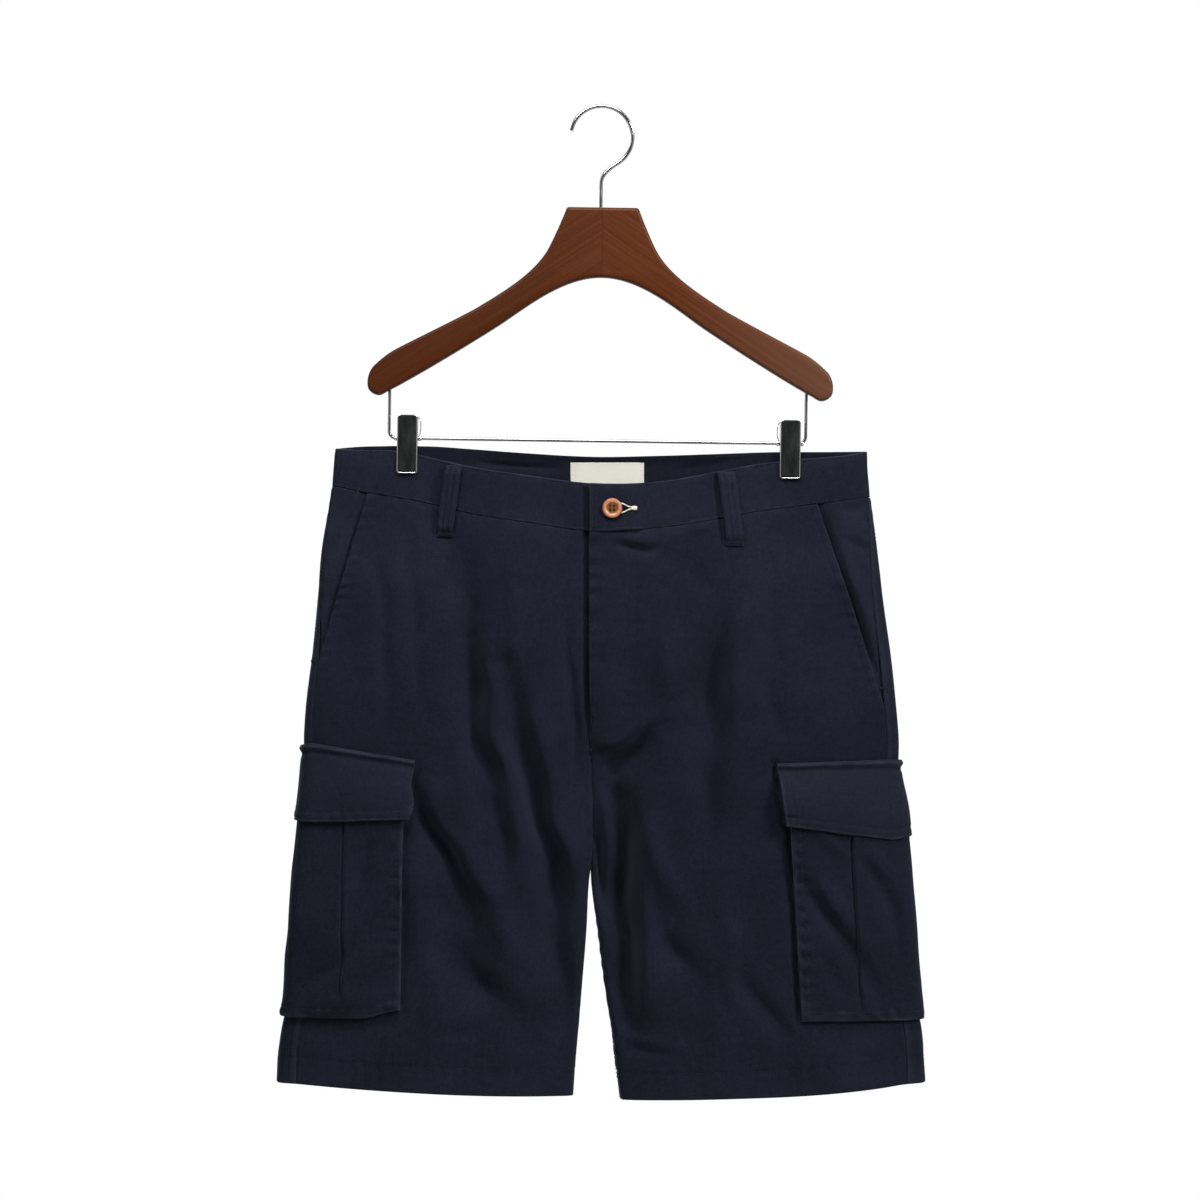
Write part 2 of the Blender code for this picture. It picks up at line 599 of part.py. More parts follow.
def slab(name, columns, rows, place, finish):
    """A closed wall: a grid of cells and its copy, each placed by place(u, v, deep).

    u and v run from 0 to 1 over the grid, and deep is 0 for the outside and 1 for the inside.
    """
    mesh = bmesh.new()
    bmesh.ops.create_grid(mesh, x_segments=columns, y_segments=rows, size=0.5)
    made = bmesh.ops.extrude_face_region(mesh, geom=mesh.faces[:], use_keep_orig=True)
    inside = {item for item in made["geom"] if isinstance(item, bmesh.types.BMVert)}
    verts = mesh.verts[:]
    u = np.array([v.co.x + 0.5 for v in verts])
    v = np.array([v.co.y + 0.5 for v in verts])
    deep = np.array([1.0 if vert in inside else 0.0 for vert in verts])
    for vert, spot in zip(verts, place(u, v, deep)):
        vert.co = spot * MM
    bmesh.ops.recalc_face_normals(mesh, faces=mesh.faces)
    if mesh.calc_volume(signed=True) < 0:
        bmesh.ops.reverse_faces(mesh, faces=mesh.faces)
    data = bpy.data.meshes.new(name)
    mesh.to_mesh(data)
    mesh.free()
    data.shade_smooth()
    data.set_sharp_from_angle(angle=math.radians(50))
    return add_object(name, data, finish)


def spread(u, columns, keys):
    """The place of a grid's column, by interpolation between the keys (column number, place)."""
    number = u * columns
    found = keys[0][1] + np.zeros_like(u)
    for (first, start), (last, end) in zip(keys, keys[1:]):
        found = np.where(number > first, mix(start, end, (number - first) / (last - first)), found)
    return found


def panel_heights(v, rows):
    """v moved so that the second and third rows of a panel lie at the top of its hem; 0 is the hem."""
    hem, above = HEM / PANEL_LENGTH, (HEM + HEM_STEP) / PANEL_LENGTH
    return np.interp(v, [0, 1 / rows, 2 / rows, 1], [0, hem, above, 1])


def front_keys(_half, _drop, start, end):
    """Columns close together at the inner fold and, at the waist, at the side fold."""
    return (
        (0, start), (1, start + 2.5), (2, start + 7.0), (3, start + 14.0),
        (FRONT_COLUMNS - 2, end - 9.0), (FRONT_COLUMNS - 1, end - 3.0), (FRONT_COLUMNS, end),
    )


def back_keys(half, drop, start, end):
    """Columns close together round the side fold and the inner fold."""
    side_fold, inner_fold = half.fold(drop), np.minimum(half.length(drop), end - 5.0)
    return (
        (0, start), (1, mix(start, side_fold, 0.45)), (2, mix(start, side_fold, 0.8)),
        (3, side_fold), (4, side_fold + 3.0), (5, side_fold + 8.0), (6, side_fold + 15.0),
        (BACK_COLUMNS - 5, inner_fold - 14.0), (BACK_COLUMNS - 4, inner_fold - 7.0),
        (BACK_COLUMNS - 3, inner_fold - 2.5), (BACK_COLUMNS - 2, inner_fold),
        (BACK_COLUMNS - 1, mix(inner_fold, end, 0.4)), (BACK_COLUMNS, end),
    )


def panel(name, side, face, bounds, lift=None):
    """A front or back panel, between two bounds along the cloth, from the waist seam to the hem."""
    half = HALVES[side]
    levels = half.drops
    start, end = bounds(levels)
    keys, columns = (front_keys, FRONT_COLUMNS) if face == "front" else (back_keys, BACK_COLUMNS)

    def along_at(u, drop):
        ends = np.interp(drop, levels, start), np.interp(drop, levels, end)
        return spread(u, columns, keys(half, drop, *ends))

    def place(u, v, deep):
        height = panel_heights(v, PANEL_ROWS)
        seam = np.full_like(u, SEAM_GUESS)
        for _ in range(GUESSES):
            along = along_at(u, seam)
            x = half.xy(along, seam)[0]
            seam = np.where(along > half.fold(seam), waist("back_seam", x), waist("front_seam", x))
        foot = half.hem_drop(along_at(u, np.full_like(u, HEM_SIDE_DROP)), face)
        drop = mix(foot, seam + SEAM_GAP, height)
        along = along_at(u, drop)
        turned_up = height * PANEL_LENGTH < HEM + HEM_STEP / 2
        wall = CLOTH + HEM_EXTRA * turned_up
        raised = lift(along, drop) if lift else 0.0
        return half.point(along, drop, raised - wall * deep)

    return slab(name, columns, PANEL_ROWS, place, TWILL)


# ---------------------------------------------------------------- the shorts' pieces


def runs_out(drop, ends):
    """1 above the first of two drops and 0 below the second."""
    return 1 - ease((np.asarray(drop, float) - ends[0]) / (ends[1] - ends[0]))


def front_panels():
    """The right front overlaps the left one along the fly; both stop at the slanted pocket edge."""
    half_gap = SEAM_GAP / 2

    def bounds_of(side):
        half = HALVES[side]

        def bounds(drop):
            reach = FLY_OVERLAP if side == RIGHT else FLY_UNDERLAP
            lapped = half_gap - (reach + half_gap) * runs_out(drop, FLY_LAP_END)
            start = np.where(drop > CROTCH_DROP, half.inseam(drop), lapped)
            seam = half.side_seam(drop)
            return start, np.minimum(seam, half.slant(drop)) - half_gap

        return bounds

    def lift(along, drop):
        return (CLOTH + LAY_GAP) * runs_out(drop, FLY_LIFT_END) * runs_out(along, FLY_LIE_DOWN)

    panel("front_left", LEFT, "front", bounds_of(LEFT))
    panel("front_right", RIGHT, "front", bounds_of(RIGHT), lift)


def back_panels():
    def bounds_of(side):
        half = HALVES[side]

        def bounds(drop):
            start = half.side_seam(drop) + SEAM_GAP / 2
            wrapped = half.length(drop) + half.inseam(drop) - SEAM_GAP
            end = np.where(drop > CROTCH_DROP, wrapped, half.length(drop) - SEAM_GAP / 2)
            return start, end

        return bounds

    for side in (LEFT, RIGHT):
        panel("back_" + SIDE_NAME[side], side, "back", bounds_of(side))


def hip_facings():
    """The piece that shows behind each slanted pocket edge, sewn into the side seam."""
    under = CLOTH + LAY_GAP
    for side in (LEFT, RIGHT):
        half, row = HALVES[side], SLANT[side]

        def place(u, v, deep, half=half, row=row):
            def between(drop):
                edge, seam = half.slant(drop), half.side_seam(drop) - SEAM_GAP / 2
                return edge, seam, mix(np.minimum(edge, seam) - FACING_UNDERLAP, seam, u)

            top = np.full_like(u, row["top_drop"])
            for _ in range(GUESSES):
                top = waist("front_seam", half.xy(between(top)[2], top)[0])
            drop = mix(row["end_drop"] + FACING_BELOW, top + LAY_GAP, v)
            edge, seam, along = between(drop)
            shown = np.clip((seam - edge) / FACING_SHOWN, 0, 1)
            rise = ease((along - edge - CLOTH) / FACING_FLUSH) * shown
            return half.point(along, drop, -under * (1 - rise) - CLOTH * deep)

        slab("hip_facing_" + SIDE_NAME[side], FACING_COLUMNS, FACING_ROWS, place, TWILL)


def waistbands():
    """Each half runs from the centre front to the centre back; the right one's end lies over the left's."""
    middle = BAND_COLUMNS // 2
    for side in (LEFT, RIGHT):
        half = HALVES[side]

        def place(u, v, deep, half=half, side=side):
            start = -BAND_OVERLAP if side == RIGHT else -BAND_UNDERLAP
            drop = np.full_like(u, BAND_GUESS)
            for _ in range(GUESSES):
                fold, end = half.fold(drop), half.length(drop) - SEAM_GAP / 2
                keys = (
                    (0, start), (middle - 3, fold - 16.0), (middle - 2, fold - 8.0),
                    (middle - 1, fold - 3.0), (middle, fold), (middle + 1, fold + 3.0),
                    (middle + 2, fold + 8.0), (middle + 3, fold + 16.0), (BAND_COLUMNS, end),
                )
                along = spread(u, BAND_COLUMNS, keys)
                x = half.xy(along, drop)[0]
                behind = along > fold
                top = np.where(behind, waist("back_top", x), waist("front_top", x))
                foot = np.where(behind, waist("back_seam", x), waist("front_seam", x))
                drop = mix(foot, top, v)
            out = (BAND + BAND_GAP) * runs_out(along, BAND_LIE_DOWN) if side == RIGHT else 0.0
            return half.point(along, drop, out - BAND * deep)

        slab("waistband_" + SIDE_NAME[side], BAND_COLUMNS, 3, place, TWILL)


def half_at(x):
    return HALVES[RIGHT if x > CENTRE_X else LEFT]


def spot_on(face, x, drop, out=0.0):
    """A point of the front or back at that x, moved out, and the outward direction there."""
    half = half_at(x)
    along = half.along_at(x, drop, face)
    return half.point(along, drop, out), half.normal(along, np.asarray(drop, float))


def belt_loops():
    """A strap sewn down at both ends, with a little room behind its middle for the belt."""
    for number, face, top_x, foot_x, length in LOOPS:

        def place(u, v, deep, face=face, top_x=top_x, foot_x=foot_x, length=length):
            start = waist(face + "_top", top_x) + LOOP_BELOW_EDGE
            points = []
            for a, b, inner in zip(u, v, deep):
                x = mix(foot_x, top_x, b) + (a - 0.5) * LOOP_BREADTH
                drop = start + (1 - b) * length
                free = ease(min(b, 1 - b) / LOOP_END)
                out = LAY_GAP + LOOP_WALL + LOOP_SLACK * free - LOOP_WALL * inner
                points.append(spot_on(face, x, drop, out)[0])
            return points

        slab(f"belt_loop_{number}", LOOP_COLUMNS, LOOP_ROWS, place, TWILL)


def label():
    """A blank patch on the inside of the back waistband."""

    def place(u, v, deep):
        points = []
        for a, b, inner in zip(u, v, deep):
            x, drop = mix(*LABEL_X, a), mix(LABEL_DROP[1], LABEL_DROP[0], b)
            out = -BAND - SEAM_GAP - LABEL_WALL * inner
            points.append(spot_on("back", x, drop, out)[0])
        return points

    slab("label", 5, 1, place, LABEL_CLOTH)


# ---------------------------------------------------------------- cargo pockets


def landmark_tables(side, x_at):
    """At every level, along the cloth: a front edge whose x is given, the side fold, and the back edge.

    The back edge lies as far behind the side seam as the front edge lies in front of it.
    """
    half = HALVES[side]
    drops = np.arange(530.0, 790.0, 4.0)
    front = half.along_at(x_at(drops), drops)
    return {
        "drops": drops,
        "front": front,
        "fold": half.fold(drops),
        "back": 2 * half.side_seam(drops) - front,
    }


def read_landmarks(tables, marks, past, drop):
    """Where the columns with these landmarks lie at these levels."""
    found = np.zeros_like(drop)
    for mark in ("front", "fold", "back"):
        found = np.where(marks == mark, np.interp(drop, tables["drops"], tables[mark]) + past, found)
    return found


def pocket_stand(side, along, drop):
    """How far a cargo pocket's face stands off the leg."""
    half, row = HALVES[side], POCKET[side]
    down = 1 - runs_out(drop, POCKET_SLACK)
    fold = half.fold(drop)
    edge = np.where(along < fold, mix(*row["front"], down), mix(*row["back"], down))
    return mix(edge, mix(*row["side"], down), np.exp(-(((along - fold) / SIDE_REACH) ** 2)))


def cargo_pockets():
    """A pouch with a gusset at its sides and foot, an open mouth, and a box pleat down its middle."""
    columns = len(POCKET_SECTION) - 1
    marks, past, stands, pleats = (np.array(values) for values in zip(*POCKET_SECTION))
    for side in (LEFT, RIGHT):
        half, row = HALVES[side], POCKET[side]
        above = np.linspace(POCKET_FOOT[-1][0], row["bottom"] - row["mouth"], POCKET_ROWS_ABOVE + 1)[1:]
        rises = np.array([*POCKET_FOOT, *((up, 1.0) for up in above)])
        rows = len(rises) - 1

        def front_x(drop, row=row):
            share = (drop - POCKET_SLACK[0]) / (row["bottom"] - POCKET_SLACK[0])
            return mix(row["top_x"], row["bottom_x"], share)

        tables = landmark_tables(side, front_x)

        def place(u, v, deep):
            i, j = np.rint(u * columns).astype(int), np.rint(v * rows).astype(int)
            up, risen = rises[j].T
            from_front = np.where(marks[i] == "front", past[i], POCKET_BREADTH)
            near = ease(1 - from_front / CORNER_REACH[0]) * ease(1 - up / CORNER_REACH[1])
            lift = row["corner_lift"] * near
            drop = row["bottom"] - up - lift
            along = read_landmarks(tables, marks[i], past[i], drop)
            share = stands[i] * risen
            pleat = PLEAT_STEP * pleats[i] * ease((up - 1.0) / PLEAT_FOOT)
            out = mix(POCKET_GAP + POCKET_WALL, pocket_stand(side, along, drop), share) + pleat
            at_edge = (i <= 1) * 1.0 - (i >= columns - 1)
            # A gusset's wall goes in sideways at its root, and the face's goes straight in.
            out = np.where(share == 0, POCKET_GAP, out - POCKET_WALL * deep)
            along = along + POCKET_WALL * deep * at_edge
            drop = drop - POCKET_WALL * deep * (j <= 1)
            return half.point(along, drop, out)

        slab("cargo_pocket_" + SIDE_NAME[side], columns, rows, place, TWILL)


def cargo_flaps():
    """A double-layer flap sewn down along its ridged top, deepest over the middle of the pocket."""
    columns, rows = len(FLAP_SECTION) - 1, len(FLAP_FALL) - 1
    marks, past = (np.array(values) for values in zip(*FLAP_SECTION))
    falls, ridges, overs = np.array(FLAP_FALL).T
    for side in (LEFT, RIGHT):
        half, row = HALVES[side], FLAP[side]

        def front_x(drop, row=row):
            share = (drop - row["front_top"]) / (row["front_foot"] - row["front_top"])
            return mix(row["top_x"], row["foot_x"], np.clip(share, 0, 1.2))

        tables = landmark_tables(side, front_x)

        def place(u, v, deep):
            i, j = np.rint(u * columns).astype(int), np.rint((1 - v) * rows).astype(int)
            halfway = (row["side_top"] + row["side_foot"]) / 2
            across = read_landmarks(tables, marks[i], past[i], np.full_like(u, halfway))
            seam = half.side_seam(halfway)
            middle = 1 - np.abs(across - seam) / (seam - across.min())
            top = mix(row["front_top"], row["side_top"], middle)
            foot = mix(row["front_foot"], row["side_foot"], middle)
            drop = top + falls[j] / FLAP_DEPTH * (foot - top)
            along = read_landmarks(tables, marks[i], past[i], drop)
            clear = pocket_stand(side, along, drop) + PLEAT_STEP + FLAP_CLEAR
            out = mix(POCKET_GAP, clear, overs[j]) + ridges[j] + FLAP_WALL
            return half.point(along, drop, out - FLAP_WALL * deep)

        slab("cargo_flap_" + SIDE_NAME[side], columns, rows, place, TWILL)


# ---------------------------------------------------------------- button


def turned(name, profile, finish, steps=20):
    """A solid of revolution about its local Z: the profile (radius, height) runs down its outside."""
    data = bpy.data.meshes.new(name)
    mesh = bmesh.new()
    verts = [mesh.verts.new((radius * MM, 0, height * MM)) for radius, height in profile]
    for a, b in zip(verts, verts[1:]):
        mesh.edges.new((a, b))
    mesh.to_mesh(data)
    mesh.free()
    made = add_object(name, data, finish)
    screw = made.modifiers.new("turn", "SCREW")
    screw.steps = screw.render_steps = steps
    screw.use_merge_vertices = True
    screw.merge_threshold = 0.00001
    screw.use_smooth_shade = True
    return made


def cylinder_cutter(name, radius, length, matrix, parent=None):
    mesh = bmesh.new()
    bmesh.ops.create_cone(
        mesh, cap_ends=True, segments=12, radius1=radius * MM, radius2=radius * MM, depth=length * MM
    )
    data = bpy.data.meshes.new(name)
    mesh.to_mesh(data)
    mesh.free()
    cutter = bpy.data.objects.new(name, data)
    CUTTERS.objects.link(cutter)
    cutter.parent = parent
    cutter.matrix_local = matrix
    cutter.hide_render = True
    cutter.display_type = "WIRE"
    return cutter


def cut(target, cutter):
    boolean = target.modifiers.new("cut_" + cutter.name, "BOOLEAN")
    boolean.operation = "DIFFERENCE"
    boolean.object = cutter


def facing_matrix(spot, outward):
    """A frame at a point given in millimetres, with its local Z along the outward direction."""
    turn = Vector(outward).to_track_quat("Z", "Y").to_matrix().to_4x4()
    return Matrix.Translation(Vector(spot) * MM) @ turn


def button_and_hole():
    """The button stands on the waistband's lifted end, held by a thread shank through the buttonhole."""
    lifted = BAND + BAND_GAP
    base, outward = spot_on("front", BUTTON_X, BUTTON_DROP, lifted + SEAM_GAP)
    thick = BUTTON_THICK
    profile = (
        (0.0, thick - 1.1),
        (BUTTON_RADIUS * 0.5, thick - 1.1),
        (BUTTON_RADIUS * 0.66, thick - 0.2),
        (BUTTON_RADIUS * 0.84, thick),
        (BUTTON_RADIUS, thick * 0.62),
        (BUTTON_RADIUS * 0.93, thick * 0.2),
        (BUTTON_RADIUS * 0.6, 0.0),
        (0.0, 0.0),
    )
    button = turned("button", profile, HORN)
    button.matrix_world = facing_matrix(base, outward)
    for number in range(4):
        angle = math.radians(45 + 90 * number)
        away = Vector((math.cos(angle), math.sin(angle), 0)) * BUTTON_HOLE_SPACING * MM
        spot = button.matrix_world @ Matrix.Translation(away)
        cut(button, cylinder_cutter(f"button_hole_{number}", BUTTON_HOLE_RADIUS, 12.0, spot))

    shank_length = lifted + SEAM_GAP - 2 * SEAM_GAP
    shank = turned(
        "button_shank",
        ((0.0, shank_length), (SHANK_RADIUS, shank_length), (SHANK_RADIUS, 0.0), (0.0, 0.0)),
        THREAD,
        steps=12,
    )
    shank.matrix_world = facing_matrix(base - outward * (shank_length + SEAM_GAP), outward)

    middle_x = sum(BUTTONHOLE) / 2
    middle, slot_outward = spot_on("front", middle_x, BUTTON_DROP, lifted)
    mesh = bmesh.new()
    bmesh.ops.create_cube(mesh, size=1.0)
    size = Vector((BUTTONHOLE[1] - BUTTONHOLE[0], BUTTONHOLE_BREADTH, 2 * BAND + 1.0)) * MM
    bmesh.ops.scale(mesh, vec=size, verts=mesh.verts)
    data = bpy.data.meshes.new("buttonhole")
    mesh.to_mesh(data)
    mesh.free()
    slot = bpy.data.objects.new("buttonhole", data)
    CUTTERS.objects.link(slot)
    slot.hide_render = True
    slot.display_type = "WIRE"
    outward = Vector(slot_outward)
    across = (Vector((1, 0, 0)) - outward * outward.x).normalized()
    turn = Matrix((across, outward.cross(across), outward)).transposed().to_4x4()
    slot.matrix_world = Matrix.Translation(Vector(middle) * MM) @ turn
    cut(bpy.data.objects["waistband_right"], slot)


# ---------------------------------------------------------------- hanger


def add_hanger_frame():
    """Everything of the hanger hangs on this empty, so that it tilts as one about the hook."""
    frame = bpy.data.objects.new("hanger_frame", None)
    PARTS.objects.link(frame)
    frame.rotation_euler = (0, HANG_TILT, 0)
    return frame


def wire(name, points, radius, finish, parent, resolution=2):
    """A round wire along points (x, y, z) in millimetres."""
    data = bpy.data.curves.new(name, "CURVE")
    data.dimensions = "3D"
    data.bevel_depth = radius * MM
    data.bevel_resolution = resolution
    data.use_fill_caps = True
    spline = data.splines.new("POLY")
    spline.points.add(len(points) - 1)
    for point, place in zip(spline.points, points):
        point.co = (*(Vector(place) * MM), 1.0)
    spline.use_smooth = True
    return add_object(name, data, finish, parent)


def arc(centre_x, centre_drop, radius, start, end, steps):
    """Points of an arc in the XZ plane, in millimetres."""
    for i in range(steps + 1):
        angle = mix(start, end, i / steps)
        yield centre_x + radius * math.cos(angle), 0.0, -centre_drop + radius * math.sin(angle)


def hook(frame):
    """A round hook, then an eased bend down to a straight shaft that goes into the wood."""
    centre_drop = HOOK_BEND - HOOK_WIRE
    points = list(arc(0.0, centre_drop, HOOK_BEND, HOOK_TIP_ANGLE, HOOK_LEAVE_ANGLE, 26))
    start = Vector(points[-1])
    leave = Vector((math.sin(HOOK_LEAVE_ANGLE), 0, -math.cos(HOOK_LEAVE_ANGLE)))
    end = Vector((0, 0, -HOOK_SHAFT_TOP))
    pull = (end - start).length * 1.25
    for i in range(1, 9):
        t = i / 8
        points.append(
            (2 * t**3 - 3 * t**2 + 1) * start
            + (t**3 - 2 * t**2 + t) * pull * leave
            + (3 * t**2 - 2 * t**3) * end
            + (t**3 - t**2) * pull * Vector((0, 0, -0.7))
        )
    points.append(Vector((0, 0, -WOOD_TOP - SHAFT_IN_WOOD)))
    wire("hanger_hook", points, HOOK_WIRE, CHROME, frame)


def bezier_outline(data, rows):
    """A closed Bezier outline from half its points, mirrored in x. Y is up in the curve's own plane."""
    half = [dict(zip(WOOD_COLUMNS, row)) for row in rows]
    right = [
        (
            Vector((p["x"], -p["drop"])),
            Vector((p["back_x"], -p["back_drop"])),
            Vector((p["on_x"], -p["on_drop"])),
        )
        for p in half
    ]
    flip = Vector((-1, 1))
    left = [(spot * flip, on * flip, back * flip) for spot, back, on in reversed(right[:-1])]
    outline = right + left
    spline = data.splines.new("BEZIER")
    spline.use_cyclic_u = True
    spline.bezier_points.add(len(outline) - 1)
    for point, (spot, back, on) in zip(spline.bezier_points, outline):
        point.handle_left_type = point.handle_right_type = "FREE"
        point.co = (*(spot * MM), 0)
        point.handle_left = (*((spot + back) * MM), 0)
        point.handle_right = (*((spot + on) * MM), 0)


def wood(frame):
    """A flat wishbone of wood with rounded edges, bored for the hook and for the bar's two ends."""
    data = bpy.data.curves.new("hanger_wood", "CURVE")
    data.dimensions = "2D"
    data.fill_mode = "BOTH"
    data.resolution_u = 6
    data.extrude = (WOOD_THICK / 2 - WOOD_ROUND) * MM
    data.bevel_depth = WOOD_ROUND * MM
    data.bevel_resolution = 1
    data.offset = -WOOD_ROUND * MM
    bezier_outline(data, WOOD_TOP_EDGE)
    shape = bpy.data.objects.new("wood_outline", data)
    PARTS.objects.link(shape)
    shape.matrix_world = Matrix.Translation((WOOD_X * MM, 0, -WOOD_TOP * MM)) @ Matrix.Rotation(
        math.pi / 2, 4, "X"
    )
    bpy.context.view_layer.update()
    solid = bpy.data.meshes.new_from_object(shape.evaluated_get(bpy.context.evaluated_depsgraph_get()))
    solid.transform(shape.matrix_world)
    bpy.data.objects.remove(shape)
    mesh = bmesh.new()
    mesh.from_mesh(solid)
    bmesh.ops.remove_doubles(mesh, verts=mesh.verts, dist=0.00001)
    bmesh.ops.recalc_face_normals(mesh, faces=mesh.faces)
    mesh.to_mesh(solid)
    mesh.free()
    solid.materials.clear()
    made = add_object("hanger_wood", solid, WOOD, frame)
    solid.shade_smooth()
    solid.set_sharp_from_angle(angle=math.radians(50))

    depth = SHAFT_IN_WOOD + FIT
    spot = Matrix.Translation((0, 0, -(WOOD_TOP + depth / 2 - 2) * MM))
    cut(made, cylinder_cutter("hook_bore", HOOK_WIRE + FIT, depth + 4, spot, frame))
    for side in (LEFT, RIGHT):
        top = BAR_WOOD_DROP - BAR_IN_WOOD - FIT
        spot = Matrix.Translation((side * BAR_HALF * MM, 0, -(top + 10) * MM))
        cut(made, cylinder_cutter("bar_bore_" + SIDE_NAME[side], BAR_WIRE + FIT, 20, spot, frame))


def bar(frame):
    """A wire that drops from each end of the wood and runs across between them."""
    inner = BAR_HALF - BAR_BEND
    bend_drop = BAR_DROP - BAR_BEND
    top = (-BAR_HALF, 0, -(BAR_WOOD_DROP - BAR_IN_WOOD))
    left = list(arc(-inner, bend_drop, BAR_BEND, math.pi, 1.5 * math.pi, 5))
    right = [(-x, y, z) for x, y, z in reversed(left)]
    points = [top, *left, *right, (-top[0], 0, top[2])]
    wire("hanger_bar", points, BAR_WIRE, CHROME, frame)


def box_mesh(name, size, bevel):
    """A box with bevelled edges, about its own centre."""
    mesh = bmesh.new()
    bmesh.ops.create_cube(mesh, size=1.0)
    bmesh.ops.scale(mesh, vec=Vector(size) * MM, verts=mesh.verts)
    if bevel:
        bmesh.ops.bevel(
            mesh, geom=mesh.edges[:], offset=bevel * MM, segments=1, affect="EDGES"
        )
    data = bpy.data.meshes.new(name)
    mesh.to_mesh(data)
    mesh.free()
    return data


def clip(side, frame):
    """Two metal jaws on a sleeve round the bar, each with a dark insert let into its face."""
    name = "clip_" + SIDE_NAME[side]
    x, middle_drop = CLIP_X[side], CLIP_TOP + CLIP_HEIGHT / 2
    for facing, face in ((-1, "front"), (1, "back")):
        spot = Vector((x, facing * (CLIP_FACE + CLIP_JAW / 2), -middle_drop)) * MM
        jaw = add_object(
            f"{name}_{face}_jaw", box_mesh("jaw", (CLIP_BREADTH, CLIP_JAW, CLIP_HEIGHT), 0.5), CHROME, frame
        )
        jaw.location = spot
        pocket = Vector((0, facing * (CLIP_JAW / 2), 0)) * MM
        recess = bpy.data.objects.new(
            f"{name}_{face}_recess",
            box_mesh(
                "recess",
                (CLIP_BREADTH - 2 * CLIP_RIM, 2 * CLIP_INSERT, CLIP_HEIGHT - 2 * CLIP_RIM),
                0.0,
            ),
        )
        CUTTERS.objects.link(recess)
        recess.parent = frame
        recess.location = spot + pocket
        recess.hide_render = True
        recess.display_type = "WIRE"
        cut(jaw, recess)
        thick = CLIP_INSERT - SEAM_GAP + 0.5
        insert = add_object(
            f"{name}_{face}_insert",
            box_mesh(
                "insert",
                (
                    CLIP_BREADTH - 2 * CLIP_RIM - 2 * SEAM_GAP,
                    thick,
                    CLIP_HEIGHT - 2 * CLIP_RIM - 2 * SEAM_GAP,
                ),
                0.3,
            ),
            BLACK,
            frame,
        )
        insert.location = spot + pocket + Vector((0, facing * (thick / 2 - CLIP_INSERT + SEAM_GAP), 0)) * MM

    half = SLEEVE_LENGTH / 2
    bore = BAR_WIRE + FIT
    sleeve = turned(
        name + "_sleeve",
        ((bore, half), (SLEEVE_RADIUS, half), (SLEEVE_RADIUS, -half), (bore, -half), (bore, half)),
        CHROME,
        steps=16,
    )
    sleeve.parent = frame
    sleeve.location = Vector((x, 0, -BAR_DROP)) * MM
    sleeve.rotation_euler = (0, math.pi / 2, 0)


def main():
    waistbands()
    front_panels()
    back_panels()
    hip_facings()
    cargo_pockets()
    cargo_flaps()
    belt_loops()
    label()
    button_and_hole()
    frame = add_hanger_frame()
    hook(frame)
    wood(frame)
    bar(frame)
    for side in (LEFT, RIGHT):
        clip(side, frame)


main()
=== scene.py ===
"""The looks of a pair of navy cargo shorts that hang from a clip hanger.

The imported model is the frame. Its tables of sizes come again here, in millimetres, so that each finer
piece lies where its solid does. X runs along the hanger, -Y is the front, and a drop is a distance
below the inside of the hook. Left is -X.
"""

import math

import bmesh
import bpy
import numpy as np
from mathutils import Matrix, Vector
from mathutils.kdtree import KDTree


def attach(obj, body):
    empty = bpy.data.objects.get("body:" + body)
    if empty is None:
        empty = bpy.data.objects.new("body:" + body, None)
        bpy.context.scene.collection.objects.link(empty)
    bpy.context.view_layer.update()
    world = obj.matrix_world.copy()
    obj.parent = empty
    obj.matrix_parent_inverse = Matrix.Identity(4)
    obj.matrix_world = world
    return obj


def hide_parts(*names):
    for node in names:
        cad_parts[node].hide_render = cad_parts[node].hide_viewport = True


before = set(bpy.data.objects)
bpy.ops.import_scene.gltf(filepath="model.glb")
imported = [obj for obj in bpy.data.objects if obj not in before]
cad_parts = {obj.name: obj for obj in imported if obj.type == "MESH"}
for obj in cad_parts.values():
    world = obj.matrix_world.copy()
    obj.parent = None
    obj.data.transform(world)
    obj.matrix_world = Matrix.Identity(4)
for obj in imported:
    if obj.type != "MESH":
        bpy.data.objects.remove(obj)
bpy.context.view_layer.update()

MM = 0.001
LEFT, RIGHT = -1, 1
SIDE_NAME = {LEFT: "left", RIGHT: "right"}

# ---------------------------------------------------------------- driving dimensions of the shorts

CLOTH = 1.5  # thickness of the twill
BAND = 2.4  # thickness of the waistband: two layers and their interfacing
SEAM_GAP = 0.05  # between pieces that meet at a seam
LAY_GAP = 0.4  # between layers that lie on each other
BAND_GAP = 0.6  # between the waistband's two ends
HEM = 24.0  # depth of the turned-up hem
HEM_EXTRA = 1.2  # what the turn-up adds to the wall, inside

CENTRE_X = -9.0  # the centre front and centre back seams
CROTCH_DROP = 580.0
CROTCH_REACH = 130.0  # height over which the crotch curve opens out
PINCH_DROP = 316.0  # the clips hold the cloth flat down to here
LOOSE_DROP = 440.0  # from here down the cloth hangs as it likes
WAIST_FOLD = 3.0  # radius of the fold at each side of the waist
SIDE_FOLD = 7.0  # radius of the side folds lower down

